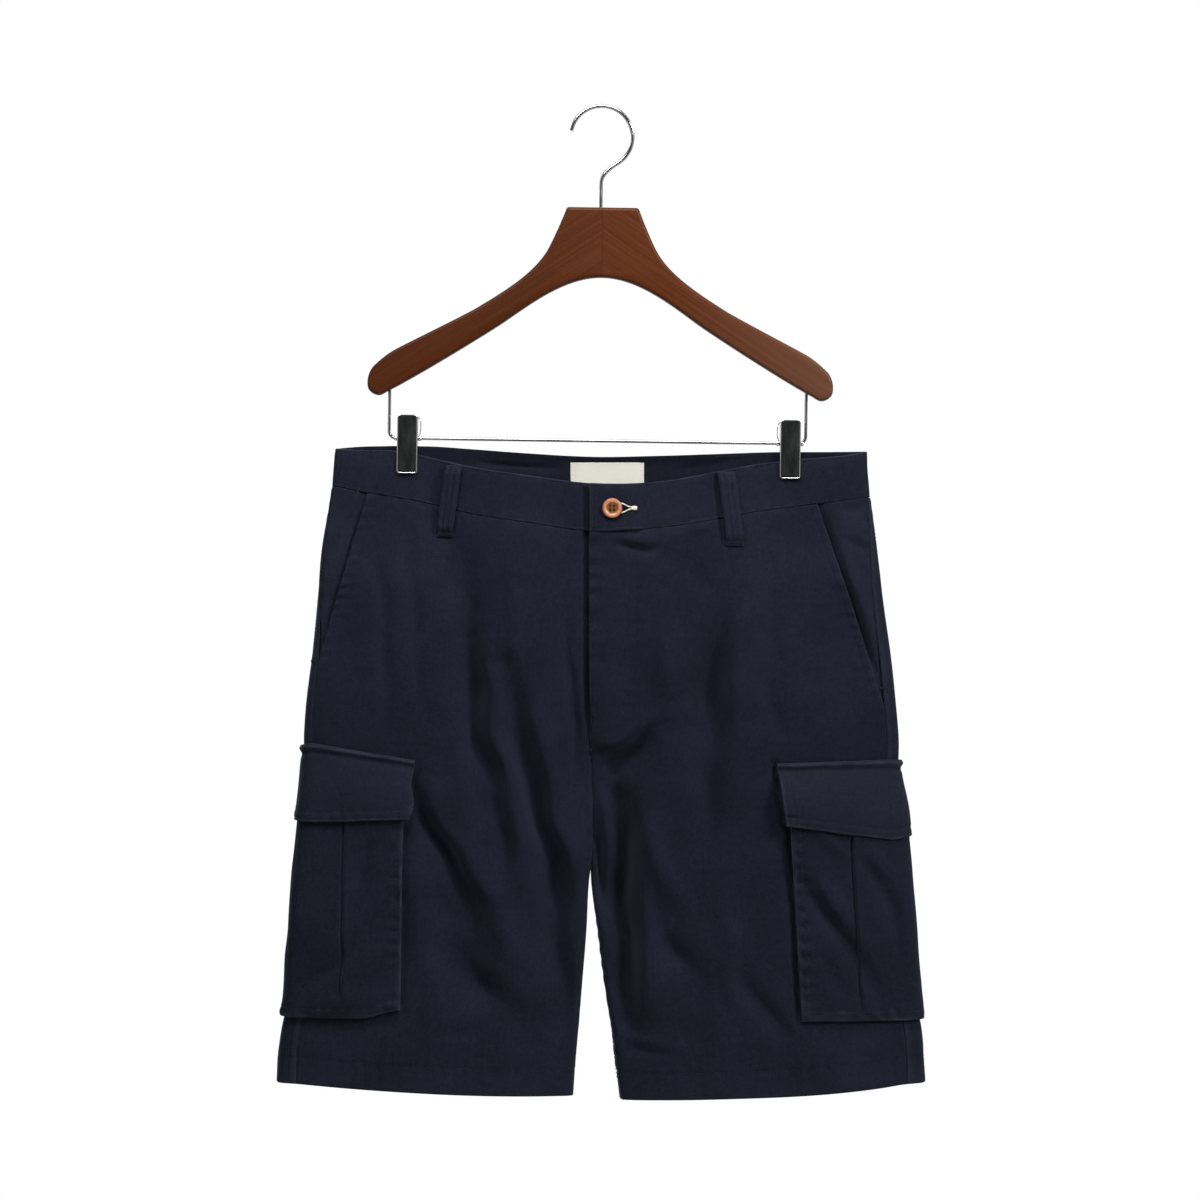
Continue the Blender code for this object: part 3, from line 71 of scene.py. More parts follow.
# The cloth's outline from the front, the inner folds' radius, how far the legs lean apart at them, and
# how far the front and back stand out between the folds.
LEVELS = (
    ("drop", "out_left", "out_right", "in_left", "in_right", "fold", "lean", "belly_front", "belly_back"),
    (284, -226.4, 225, -9, -9, 2.5, 0, 20, 12),
    (312, -228.7, 226.2, -9, -9, 2.5, 0, 20.5, 13),
    (333, -231.2, 228.4, -9, -9, 2.5, 0, 21, 14),
    (374, -238, 233.8, -9, -9, 2.5, 0, 21, 15.5),
    (425, -242.2, 239.8, -9, -9, 2.5, 0, 21, 17),
    (466, -246.5, 245.6, -9, -9, 2.5, 0, 20, 17),
    (507, -251.6, 249.9, -9, -9, 2.5, 0, 18, 16.5),
    (535, -253.4, 252.2, -9, -9, 2.5, 0, 16.5, 15.5),
    (575, -252.2, 252, -8.3, -9.7, 2.5, 0.8, 14.5, 14),
    (605, -255.6, 255.6, -8, -10, 2.5, 2.6, 13.5, 13),
    (640, -259.3, 258.8, -8.9, -10.1, 3, 3.2, 12.5, 12.5),
    (656, -260.6, 260, -10.8, -9.4, 3.5, 2.8, 12, 12),
    (700, -263.6, 262.8, -13.2, -3.8, 5.5, 1.6, 12, 12),
    (742, -266.2, 266.2, -16.6, 1.3, 6, 1.2, 12.5, 12),
    (764, -268.6, 268.4, -18.4, 4.8, 6, 1, 13, 12.5),
    (782, -272.4, 271.6, -19.9, 7.8, 6, 0.8, 13.5, 12.5),
    (803, -275.3, 273.7, -21.8, 10, 6, 0.6, 14.5, 13),
    (850, -277, 275.6, -25.2, 15.6, 6, 0.4, 16, 14),
)

# The waistband's edges, and how far its front and back hang away from the clips' plane.
WAIST = (
    ("x", "front_top", "front_seam", "back_top", "back_seam", "front_out", "back_out"),
    (-226, 289.5, 322, 289.5, 323, 0, 0),
    (-206, 290.8, 326, 287.8, 325.8, 1.6, 1.2),
    (-184, 290.9, 329.4, 287.3, 326.8, 0, 0),
    (-180, 291, 330.2, 287.2, 327, 0, 0),
    (-150, 296, 335.8, 287.5, 327.5, 0, 0),
    (-146, 297, 336.8, 287.6, 327.6, 0, 0),
    (-114, 304.6, 344.6, 289.6, 329.6, 9, 4),
    (-60, 313.2, 353.2, 293.4, 333.4, 18.5, 8),
    (-9, 319.6, 360.2, 296, 336, 22, 10),
    (50, 318, 357, 295.2, 335.2, 19, 8.5),
    (106, 307.8, 348.2, 293.6, 333.6, 9.5, 4),
    (140, 301.6, 341.9, 292.6, 332.6, 0, 0),
    (144, 301.1, 341.4, 292.5, 332.5, 0, 0),
    (174, 298, 337.7, 292.4, 332.2, 0, 0),
    (178, 297.7, 337.2, 292.4, 332.1, 0, 0),
    (206, 295.4, 333.8, 292.2, 331.6, 1.6, 1.2),
    (226, 292, 331, 292, 331, 0, 0),
)

# How far the side seams lie in front of the side folds.
SIDE_SEAM = (
    ("drop", "left", "right"),
    (284, 0.6, 2),
    (330, 0.6, 3.5),
    (406, 1.2, 9),
    (470, 6.5, 10.5),
    (540, 8, 11),
    (784, 17, 16),
    (850, 18, 17),
)

# How far the hem line lies below its height at the side folds, from the inner edge to the side.
HEM_SIDE_DROP = 827.5
HEM_LINE = (
    ("share", "front_left", "front_right", "back_left", "back_right"),
    (0, 11.2, 14.6, 11.2, 14.6),
    (0.06, 11.1, 14.4, 13, 16.6),
    (0.35, 9.2, 12.2, 10.8, 13.2),
    (0.6, 6, 9.4, 7, 9.8),
    (0.86, 1.8, 3.5, 2.2, 3.6),
    (0.93, 0.6, 1, 0.6, 1),
    (1, 0, 0, 0, 0),
)

# Broad folds: a curve through three points on one face, its breadth, and how far it stands out
# (a ridge) or in (a trough, below zero).
FOLDS = {
    "front": (
        (-82, 478, -44, 610, -30, 800, 11, -6.5),
        (-116, 480, -106, 570, -90, 650, 10, -5),
        (-158, 590, -130, 660, -88, 770, 15, -5.5),
        (-60, 500, -74, 610, -52, 740, 12, 3.5),
        (-120, 560, -112, 640, -70, 740, 13, 3.5),
        (24, 590, 14, 680, 26, 810, 9, -7),
        (48, 560, 40, 660, 48, 800, 14, 4),
        (97, 450, 92, 540, 90, 650, 13, -4.5),
        (60, 430, 62, 530, 70, 640, 16, 3),
        (146, 360, 148, 440, 150, 560, 8, -2),
        (-116, 380, -114, 440, -110, 510, 12, -2.5),
    ),
    "back": (
        (-70, 470, -92, 600, -120, 770, 15, -5),
        (-150, 420, -158, 540, -150, 680, 13, -3.5),
        (-38, 560, -62, 680, -70, 810, 13, 4),
        (60, 480, 84, 600, 100, 760, 15, -5),
        (150, 400, 146, 520, 160, 660, 14, -3.5),
        (36, 580, 56, 690, 64, 800, 12, 4),
    ),
}
FOLD_SAMPLES = 25  # points along a fold's curve at which its distance is taken

# The slanted hand pockets, from the waist seam down to the side seam.
SLANT = {
    LEFT: {"top_x": -199, "top_drop": 327, "end_drop": 472},
    RIGHT: {"top_x": 183, "top_drop": 337, "end_drop": 508},
}
FACING_UNDERLAP = {LEFT: 16, RIGHT: 9}  # of the hip facing behind the front panel's slanted edge
FACING_FLUSH = 12  # breadth over which the facing comes up to the side seam's surface
FACING_SHOWN = 18  # where less than this shows, it stays lower
FACING_BELOW = 6  # how far it runs on below the slanted edge's end

FLY_LAP_END = (535, 558)  # the fronts stop overlapping between these drops
FLY_LIFT_END = (532, 560)  # and here the lifted edge comes down to the centre seam
FLY_OVERLAP = 2  # of the right front past the centre
FLY_UNDERLAP = 11  # of the left front behind it
FLY_LIE_DOWN = (13, 34)  # where the overlapping front starts and ends lying back down
BAND_OVERLAP = 1.5
BAND_UNDERLAP = 25
BAND_LIE_DOWN = (28, 52)  # where the lifted waistband end starts and ends lying back down

# How far the inseams lie in front of the inner folds, by drop.
INSEAM = (
    ("drop", "left", "right"),
    (580, 0.15, 0.15),
    (640, 0.15, 0.3),
    (708, 0.15, 2.5),
    (781, 0.15, 6.8),
    (850, 0.15, 8),
)

SEAM_GUESS, BAND_GUESS = 340, 310  # drops from which the seam's and the band's own are found
GUESSES = 4  # times that the finding is repeated

# ---------------------------------------------------------------- cargo pockets

POCKET_GAP = 0.8  # between a cargo pocket's or flap's edge and the leg
FLAP_CLEAR = 0.8  # between the flap and the pocket's face
POCKET_WALL = 1.4
PLEAT_STEP = 1  # the box pleat stands this far off the rest of the face
PLEAT_FOOT = 6  # height over which the pleat flattens out at the foot
# Front edge, height, how far the face stands off the leg at its front edge, at the side fold and at its
# back edge (at the top and at the foot), and how far the lower front corner curls up.
POCKET = {
    LEFT: {
        "top_x": -167.8, "bottom_x": -170.3, "mouth": 583, "bottom": 771.5,
        "front": (5.4, 5.4), "side": (2.8, 4.2), "back": (4.6, 4.6), "corner_lift": 7,
    },
    RIGHT: {
        "top_x": 158.5, "bottom_x": 168.7, "mouth": 588, "bottom": 774,
        "front": (9.5, 4.2), "side": (2.8, 4.2), "back": (4.6, 4.6), "corner_lift": 0,
    },
}
CORNER_REACH = (34, 40)  # how far along the foot and up the front edge the corner's curl goes
POCKET_SLACK = (605, 690)  # drops between which the stand-off goes over to that of the foot
SIDE_REACH = 45  # how far from the side fold the stand-off is still close to that at the fold
# Across a gusset and on to the face: distance from the edge, and share of the stand-off.
GUSSET = (
    (0, 0), (0, 0.2), (0, 0.4), (0.05, 0.6), (0.25, 0.76), (0.7, 0.89), (1.4, 0.965), (2.4, 1),
    (3.6, 1.02), (5, 1),
)

FLAP_WALL = 1.8
FLAP = {
    LEFT: {"top_x": -157.6, "foot_x": -164.4, "front_top": 553.3, "side_top": 539,
           "front_foot": 603, "side_foot": 606},
    RIGHT: {"top_x": 147.1, "foot_x": 154.6, "front_top": 556, "side_top": 553,
            "front_foot": 608.3, "side_foot": 621},
}
# From the flap's top down: how far below its top, and its share of the way out over the pocket.
FLAP_FALL = (
    (0, 0), (0.7, 0), (2.3, 0), (4.2, 0), (5.6, 0.04), (13, 0.45), (20, 0.75), (30, 1),
    (50, 1),
)
FLAP_DEPTH = 50  # the last distance above is the whole depth
# Rows drawn below the flap's top.
FLAP_TOP_ROWS = (0, 0.3, 0.7, 1.2, 1.8, 2.4, 3, 3.6, 4.2, 4.8, 5.6, 7, 9, 11, 13)

# ---------------------------------------------------------------- belt loops, button, label

LOOP_BREADTH = 14.6
LOOP_WALL = 1.6
LOOP_SLACK = 3.4  # room behind a loop at its middle
LOOP_BELOW_EDGE = 1.5
LOOP_END = 0.14  # share of its length that is sewn down at each end
LOOPS = (  # number, face, x at the top, x at the foot, length
    (1, "front", -124.6, -132.6, 61),
    (2, "front", 104.5, 112, 63),
    (3, "back", -118, -120, 60),
    (4, "back", -9, -9, 60),
    (5, "back", 112, 114, 60),
)

BUTTON_X, BUTTON_DROP = 8.5, 340.6
BUTTON_RADIUS, BUTTON_THICK = 8.5, 3
BUTTON_HOLE_RADIUS, BUTTON_HOLE_SPACING = 1.05, 2.35
BUTTONHOLE = (4.5, 27.5)  # from one end to the other, in x

LABEL_X = (-27, 36)
LABEL_DROP = (301, 333)
LABEL_WALL = 0.8
LABEL_GAP = 0.35  # between the label and the waistband
LABEL_STITCH = 2.2  # from its ends

# ---------------------------------------------------------------- hanger

HANG_TILT = math.radians(0.8)
HOOK_WIRE = 1.7  # radius
HOOK_BEND = 26.3  # radius of the hook's centreline
HOOK_TIP_ANGLE, HOOK_LEAVE_ANGLE = math.radians(170), math.radians(-58)
HOOK_SHAFT_TOP = 64
WOOD_TOP = 85
SHAFT_IN_WOOD = 18
FIT = 0.3  # clearance of a wire in its hole

WOOD_X = 1.8  # its middle lies this far from the hook's line
WOOD_THICK = 14
WOOD_ROUND = 3
# Half the wood's outline in the XZ plane, as Bezier points: x, drop below its top, and the two
# handles' offsets along the outline. The other half mirrors it.
WOOD_TOP_EDGE = (
    (28, 0, -10, 0, 2, 0),
    (31.6, 3, -1, -2.4, 1.5, 4.5),
    (45, 34, -5, -10, 11, 22),
    (108, 88, -26, -16, 22, 12),
    (172, 121.5, -16, -8.5, 8, 4.2),
    (193.5, 138, -7, -7, 3, 4),
    (197.6, 153, 0.4, -6, -0.4, 4.5),
    (189.5, 161.5, 5, -1, -4, 0.8),
    (178, 156.8, 5, 2.4, -20, -10.4),
    (88, 102, 22, 14.5, -22, -14.5),
    (0, 59.2, 34, 0, -34, 0),
)

BAR_WIRE = 1.35
BAR_DROP = 283
BAR_HALF = 177
BAR_BEND = 6
BAR_IN_WOOD = 9
BAR_WOOD_DROP = 241  # where the bar's ends enter the wood

CLIP_X = {LEFT: -161.3, RIGHT: 163.9}
CLIP_BREADTH, CLIP_HEIGHT = 17.4, 49.5
CLIP_TOP = 263.5
CLIP_FACE = WAIST_FOLD + SEAM_GAP  # half the room between the jaws
SLEEVE_RADIUS = 2.9
SLEEVE_LENGTH = 15.4
HINGE_BOW, HINGE_WIRE, HINGE_LINES = 2.3, 0.42, (0.0, 1.0, 2.0)
COLLAR_RADIUS, COLLAR_LENGTH, COLLAR_AT = 2.15, 3.2, (10.4, -9.9)

# ---------------------------------------------------------------- sizes of the finer things

LATTICE = 64  # bumps across before the unevenness repeats
UNEVEN_OUT, UNEVEN_SIZE = 1.1, 58
RIPPLE_OUT, RIPPLE_SIZE = 0.42, 22
UNEVEN_SEED = {"front": 3, "back": 7}
CREASES_FROM, CREASES_GROW = 330, 25  # the drop where the creases start, and how fast they grow
CREASE_SAMPLES = 40
CREASE_STRAY, CREASE_STRAY_SIZE = 5.5, 36  # how far a crease strays from its curve
CREASE_VARIES, CREASE_VARIES_SIZE = 0.42, 28  # share by which its depth varies

# Creases: breadth on the left and on the right, how far out (in, below zero), then points (x, drop).
CREASES = {
    "front": (
        (13, 12, -5.28, (-130, 350), (-124, 400), (-118, 445), (-112, 490)),
        (7, 8, -7.92, (-114, 455), (-110, 500), (-107, 536), (-96, 572), (-86, 612)),
        (6, 10, 4.08, (-98, 470), (-92, 520), (-82, 566), (-72, 612)),
        (8, 10, -8.88, (-86, 478), (-74, 545), (-60, 593), (-44, 647), (-36, 700), (-42, 760), (-54, 790)),
        (16, 10, -6, (-48, 630), (-46, 700), (-62, 765)),
        (5, 12, 3.84, (-66, 500), (-50, 560), (-36, 620), (-24, 680)),
        (7, 9, -8.4, (-164, 572), (-150, 600), (-137, 627), (-121, 662), (-110, 690)),
        (24, 15, -8.4, (-146, 680), (-108, 735), (-66, 775)),
        (6, 12, 3.6, (-146, 570), (-128, 620), (-108, 664)),
        (9, 14, 3.6, (-104, 650), (-82, 690), (-62, 730)),
        (6, 6, -4.8, (-92, 590), (-84, 622), (-86, 655)),
        (5, 4, -4.08, (-28, 425), (-28, 495), (-26, 537), (-30, 590)),
        (7, 8, 3.12, (-80, 400), (-72, 470)),
        (8, 12, 3.36, (-168, 640), (-156, 700), (-148, 790)),
        (6, 6, -2.64, (-190, 350), (-186, 430), (-180, 540)),
        (6, 6, -2.4, (-160, 345), (-160, 430), (-152, 520)),
        (11, 8, -11.4, (14, 566), (20, 600), (22, 630), (20, 668), (19, 711), (22, 770)),
        (5, 12, 4.32, (34, 584), (42, 650), (38, 710), (34, 770)),
        (13, 11, -7.92, (106, 400), (97, 450), (92, 491), (92, 545), (84, 604), (80, 640)),
        (6, 14, 4.08, (118, 440), (112, 500), (110, 560)),
        (7, 6, -3.12, (143, 390), (143, 503), (145, 545)),
        (14, 16, 3.12, (118, 420), (124, 490), (130, 570)),
        (2.6, 2, -3.84, (14, 373.5), (28, 374.5), (40, 373), (50, 369)),
        (3, 5, 2.4, (14, 367), (30, 368), (48, 364)),
        (5, 5, 2.4, (44, 372), (66, 362), (90, 356)),
        (9, 9, -3.12, (50, 374), (70, 392), (96, 418)),
        (7, 9, 3.12, (50, 420), (52, 500)),
        (7, 9, 5.04, (44, 620), (58, 655), (78, 690)),
        (8, 7, -4.32, (40, 640), (52, 690), (70, 730)),
        (10, 8, -4.8, (116, 720), (136, 760), (156, 790)),
        (16, 14, -4.32, (50, 700), (84, 740), (78, 800)),
        (9, 9, 2.88, (96, 650), (108, 700), (112, 760)),
        (3, 4, -2.04, (20, 799), (60, 801)),
        (3, 4, 1.68, (16, 791), (40, 789), (66, 793)),
        (3, 7, 2.4, (-4, 538), (16, 533), (46, 516)),
        (16, 3.4, -5.28, (-4, 546), (20, 541), (46, 524)),
        (16, 14, -2.4, (42, 528), (28, 550), (10, 566)),
        (4, 5, -7.68, (-8, 586), (-3, 640), (3, 690)),
        (4, 6, 3.6, (4, 584), (9, 616), (12, 650)),
        (6, 6, -2.88, (-150, 792), (-100, 786)),
        (8, 8, 2.4, (84, 720), (98, 790)),
    ),
    "back": (
        (8, 6, -4.8, (-66, 440), (-84, 520), (-96, 600), (-118, 690)),
        (6, 13, 3.12, (-50, 470), (-68, 560), (-84, 650)),
        (7, 6, -4.32, (-40, 560), (-58, 640), (-66, 720), (-60, 790)),
        (8, 8, -2.88, (-150, 400), (-158, 500), (-150, 610)),
        (7, 9, 2.4, (-130, 560), (-120, 660), (-128, 760)),
        (8, 6, -4.56, (56, 450), (76, 540), (88, 620), (104, 720)),
        (6, 13, 3.12, (74, 470), (96, 570), (112, 660)),
        (7, 6, -4.32, (30, 575), (42, 650), (56, 730), (50, 795)),
        (8, 8, -2.64, (150, 390), (144, 500), (156, 620)),
        (7, 9, 2.4, (130, 600), (124, 690), (136, 770)),
        (5, 5, -2.16, (-40, 352), (-10, 349), (24, 352)),
        (6, 6, -1.68, (-120, 348), (-100, 372), (-76, 392)),
        (6, 6, -1.68, (110, 348), (92, 374), (70, 394)),
    ),
}
FACING_CREASES = {
    LEFT: ((4, 4, 1.08, (-212, 352), (-216, 400), (-222, 440)),),
    RIGHT: (
        (5, 5, 3.96, (203, 362), (209, 394), (221, 424), (236, 462)),
        (3, 3, -2.88, (205, 366), (216, 371), (230, 382)),
        (4, 3, -2.52, (204, 342), (224, 341)),
        (4, 4, 2.34, (224, 376), (233, 410), (238, 446)),
        (3, 3, -1.8, (214, 440), (228, 466), (238, 486)),
    ),
}
POCKET_CREASES = {
    LEFT: (
        (7, 9, -5.2, (-178, 672), (-200, 698), (-222, 724), (-250, 744)),
        (7, 9, 3.38, (-176, 700), (-200, 724), (-226, 750)),
        (5, 6, -2.6, (-196, 620), (-206, 660)),
        (5, 5, 2.08, (-214, 640), (-224, 690)),
        (9, 7, 3.12, (-180, 756), (-214, 758), (-246, 762)),
    ),
    RIGHT: (
        (7, 8, -5.2, (164, 650), (186, 682), (206, 708), (238, 760)),
        (7, 8, 3.9, (176, 645), (200, 684), (220, 716)),
        (7, 7, -4.16, (216, 632), (244, 676), (253, 728)),
        (6, 6, 2.6, (226, 628), (238, 652)),
        (6, 6, -2.34, (186, 720), (204, 752)),
        (5, 5, 2.08, (180, 610), (206, 634)),
    ),
}

PANEL_LENGTH, PANEL_BREADTH = 480, 245  # from which the number of rows and columns comes
# How far the slanted edge gapes, at which drop, over what reach.
SLANT_GAPE = {LEFT: (1.1, 400, 90), RIGHT: (3.4, 418, 42)}
FACING_SHADE = {LEFT: 3, RIGHT: 5}  # breadth of the facing that stays low beside the slanted edge
SLANT_STITCH = 7.2  # distances of the topstitching from the edges
FLY_EDGE_STITCH = 2.2
FELL_STITCH = 8
BAND_STITCH = 2.4
HEM_STITCH = 22.5
POCKET_STITCH = 7.5
FLAP_STITCH = (1.9, 8.2)
FLAP_TOP_STITCH = 6.0  # below the flap's top

# Seeds of the noise on each kind of piece.
SEEDS = {
    "front": {LEFT: 11, RIGHT: 21},
    "back": {LEFT: 31, RIGHT: 41},
    "pocket": {LEFT: 101, RIGHT: 111},
    "flap": {LEFT: 121, RIGHT: 131},
}

# The cloth dips where the panels meet the waistband, and beside each cargo pocket.
SEAM_DIP, SEAM_DIP_BREADTH = 0.35, 2.2
POCKET_DIP_AT, POCKET_DIP_BREADTH, POCKET_DIP_FADE = 1.9, 1.7, 8.0
SLANT_GAPE_BREADTH = 8.0
FLY_GATHERS_END = (380.0, 545.0)
# The inseam's puckers: over which distance they run out, and between which drops they begin.
FELL_END, FELL_TOP = (6.0, 9.0), (588.0, 600.0)

# Where columns and rows are drawn on a cargo pocket: drops, steps across it, and steps beside a line.
POCKET_LEVELS = (530.0, 790.0, 4.0)
POCKET_STEPS = (11.2, 46.0, 2.4)
STITCH_STEPS = (-1.6, -0.8, 0.0, 0.8, 1.6)
PLEAT_STEPS = (-3.6, -2.4, -1.6, -1.0, -0.5, 0.0, 0.5, 1.0, 1.6, 2.4, 3.6, 5.0)
# The box pleat's folds: how sharp, how deep the crease between them, and how far the cloth beside it
# bulges. Depth or height, breadth, and how far up it starts.
PLEAT_SHARP = 0.9
PLEAT_TUCK, PLEAT_TUCK_BREADTH, PLEAT_TUCK_UP = 2.2, 1.1, 14.0
PLEAT_LIP, PLEAT_LIP_BREADTH, PLEAT_LIP_UP, PLEAT_LIP_AT = 0.9, 2.6, 8.0, 3.0
# The flap's ridge and the hollow below it: distance from the top, and breadth.
FLAP_RIDGE_AT, FLAP_RIDGE_BREADTH = 2.3, 1.6
FLAP_HOLLOW, FLAP_HOLLOW_AT, FLAP_HOLLOW_BREADTH = 0.9, 6.2, 1.5
FLAP_ROLL, FLAP_ROLL_BREADTH = 0.45, 2.2  # between the flap's two rows of stitches

# Wear: its breadth at an edge, how it varies along that, and the specks along rows of stitches.
EDGE_WEAR_BREADTH = 1.6
WEAR_MEAN, WEAR_VARIES, WEAR_SIZE = 0.75, 0.7, 9.0
SPECK_WEAR, SPECK_SIZE = 0.8, 3.2
FLAP_WEAR = 0.13
FLAP_RIDGE = 1.4  # how far the flap's sewn top stands up
BAND_DIP = 4.4  # the waistband's under end dips in beside the fly
FLY_HOLLOW, FLY_HOLLOW_BREADTH = 6.6, 4  # the left front dips in beside and behind the fly's edge
FLY_HOLLOW_END = (490, 540)
# The hip facing sinks in beside the slanted edge: how deep, over what breadth, and between which drops
# that begins and ends.
FACING_SINK = {LEFT: (3.6, 2.6, 335, 360, 424, 450), RIGHT: (7, 6.4, 325, 372, 440, 500)}
# The front beside a cargo pocket and its flap: (drop, x) of their edges, and how far it dips in there.
POCKET_EDGE = {
    LEFT: ((550, -157.2), (607, -164.4), (611, -168.6), (775, -170.3)),
    RIGHT: ((550, 146.5), (609, 154.6), (613, 160), (775, 168.7)),
}
POCKET_DIP = {LEFT: 2.4, RIGHT: 7}
LOOP_RIB = 0.9
LOOP_RIBS, LOOP_STITCHES = (-4.6, 0, 4.6), (-2.3, 2.3)  # across a loop
LOOP_TACK = 0.045  # share of its length at which each end is tacked
LOOP_DIP = 3  # how far the cloth dips in beside a front belt loop
# Creases of the waistband's back, which show inside it: as in CREASES.
INSIDE_CREASES = (
    (3.2, 2.4, 2.6, (-112, 299), (-100, 301.5), (-66, 304.5), (-34, 306)),
    (4, 4, -1, (-110, 306), (-70, 310), (-40, 311)),
    (3, 3, 1.4, (62, 307), (86, 304), (112, 300)),
)
PUCKER_PITCH, PUCKER_OUT = 12.5, 2.2
SEAM_JOIN = 4  # within which two panels come level at the seam between them
PLEAT_AT = 50.6  # of the box pleat's folds from the pocket's front and back edges
GROOVE_DEPTH, GROOVE_BREADTH = 0.28, 0.8
# The curved topstitching that holds the fly's shield.
FLY_STITCH = ((27, 362), (27.5, 430), (26, 480), (19, 508), (9, 526), (-3, 539))
FLY_TACK = ((-9.5, 514), (-4.5, 516.5))
SLANT_TACKS = {LEFT: (-246, 470), RIGHT: (240, 493)}

# ---------------------------------------------------------------- small mathematics


def smooth_curve(x, xs, ys):
    """A smooth curve through the points (xs, ys), read at x and level beyond its ends."""
    x = np.clip(np.asarray(x, float), xs[0], xs[-1])
    slope = np.gradient(ys, xs)
    i = np.clip(np.searchsorted(xs, x) - 1, 0, len(xs) - 2)
    step = xs[i + 1] - xs[i]
    t = (x - xs[i]) / step
    return (
        (1 + 2 * t) * (1 - t) ** 2 * ys[i]
        + t * (1 - t) ** 2 * step * slope[i]
        + t * t * (3 - 2 * t) * ys[i + 1]
        + t * t * (t - 1) * step * slope[i + 1]
    )


def mix(a, b, share):
    return a + (b - a) * share


def ease(t):
    """0 to 1, smoothly, as t goes from 0 to 1."""
    t = np.clip(t, 0, 1)
    return t * t * (3 - 2 * t)


def bell(distance, breadth):
    """1 at no distance, and next to nothing at twice the breadth."""
    return np.exp(-((distance / breadth) ** 2))


def runs_out(drop, ends):
    """1 above the first of two drops and 0 below the second."""
    return 1 - ease((np.asarray(drop, float) - ends[0]) / (ends[1] - ends[0]))


def lattice(seed):
    return np.random.default_rng(seed).random((LATTICE, LATTICE)) * 2 - 1


def noise(x, y, size, seed):
    """Smooth bumps about that size, from -1 to 1, the same in each run."""
    x, y = np.broadcast_arrays(np.asarray(x, float) / size + 31.7, np.asarray(y, float) / size + 17.3)
    i, j = np.floor(x).astype(int), np.floor(y).astype(int)
    a, b = ease(x - i), ease(y - j)
    table = lattice(seed)
    i, j, next_i, next_j = i % LATTICE, j % LATTICE, (i + 1) % LATTICE, (j + 1) % LATTICE
    return mix(mix(table[i, j], table[next_i, j], a), mix(table[i, next_j], table[next_i, next_j], a), b)


def quarter_round(share):
    """The height of a quarter circle, share of a radius in from its edge."""
    return np.sqrt(1 - (1 - np.clip(share, 0, 1)) ** 2)


def read(table, name, at):
    """A column of a table, as a smooth curve over its first column."""
    names, *rows = table
    columns = dict(zip(names, np.array(rows, float).T))
    return smooth_curve(at, columns[names[0]], columns[name])


def level(name, drop):
    return read(LEVELS, name, drop)


def waist(name, x):
    return read(WAIST, name, x)


# ---------------------------------------------------------------- the cloth as a surface


def curve_points(knots, samples):
    """Points of a smooth curve through the knots (x, drop)."""
    knots = np.array(knots, float)
    run = np.append(0, np.cumsum(np.hypot(*np.diff(knots, axis=0).T)))
    at = np.linspace(0, run[-1], samples)
    return smooth_curve(at, run, knots[:, 0]), smooth_curve(at, run, knots[:, 1])


def ridge(x, drop, curve, left, right, out, ends=0.7):
    """A soft ridge along a curve, of one breadth on its left and one on its right; a trough if out < 0."""
    across, down = curve
    reach = 3 * max(left, right)
    relief = np.zeros_like(x)
    near = (x > across.min() - reach) & (x < across.max() + reach)
    near &= (drop > down.min() - reach) & (drop < down.max() + reach)
    if not near.any():
        return relief
    nearest = np.hypot(x[near][:, None] - across, drop[near][:, None] - down).argmin(axis=-1)
    off_x, off_drop = x[near] - across[nearest], drop[near] - down[nearest]
    way_x, way_drop = np.gradient(across), np.gradient(down)
    step = np.hypot(way_x, way_drop)[nearest]
    way_x, way_drop = way_x[nearest] / step, way_drop[nearest] / step
    aside = off_x * way_drop - off_drop * way_x
    ahead = off_x * way_x + off_drop * way_drop
    past = np.maximum(np.abs(ahead) - step / 2, 0)
    breadth = np.where(aside > 0, right, left)
    along = (nearest + np.clip(ahead / step, -0.5, 0.5)) / (len(across) - 1)
    fade = np.sin(np.pi * np.clip(along, 0.02, 0.98)) ** ends
    relief[near] = out * fade * np.exp(-(aside**2 + past**2) / breadth**2)
    return relief


def fold_relief(face, x, drop):
    """How far the broad folds of one face move the cloth out at each point."""
    relief = np.zeros_like(x)
    t = np.linspace(0, 1, FOLD_SAMPLES)
    for x0, drop0, x1, drop1, x2, drop2, breadth, out in FOLDS[face]:
        across = (1 - t) ** 2 * x0 + 2 * t * (1 - t) * x1 + t * t * x2
        down = (1 - t) ** 2 * drop0 + 2 * t * (1 - t) * drop1 + t * t * drop2
        relief += ridge(x, drop, (across, down), breadth, breadth, out)
    return relief


def creases(rows, x, drop):
    """How far the creases in a table's rows move the cloth out."""
    relief = np.zeros_like(x)
    for left, right, out, *knots in rows:
        relief += ridge(x, drop, curve_points(knots, CREASE_SAMPLES), left, right, out, 0.5)
    return relief


def crease_relief(face, x, drop):
    """The finer creases of one face, and the cloth's own slight unevenness."""
    seed = UNEVEN_SEED[face]
    relief = UNEVEN_OUT * noise(x, drop, UNEVEN_SIZE, seed)
    relief += RIPPLE_OUT * noise(x, drop, RIPPLE_SIZE, seed + 1)
    stray_x, stray_drop = (CREASE_STRAY * noise(x, drop, CREASE_STRAY_SIZE, seed + k) for k in (2, 3))
    depth = 1 + CREASE_VARIES * noise(x, drop, CREASE_VARIES_SIZE, seed + 4)
    return relief + creases(CREASES[face], x + stray_x, drop + stray_drop) * depth


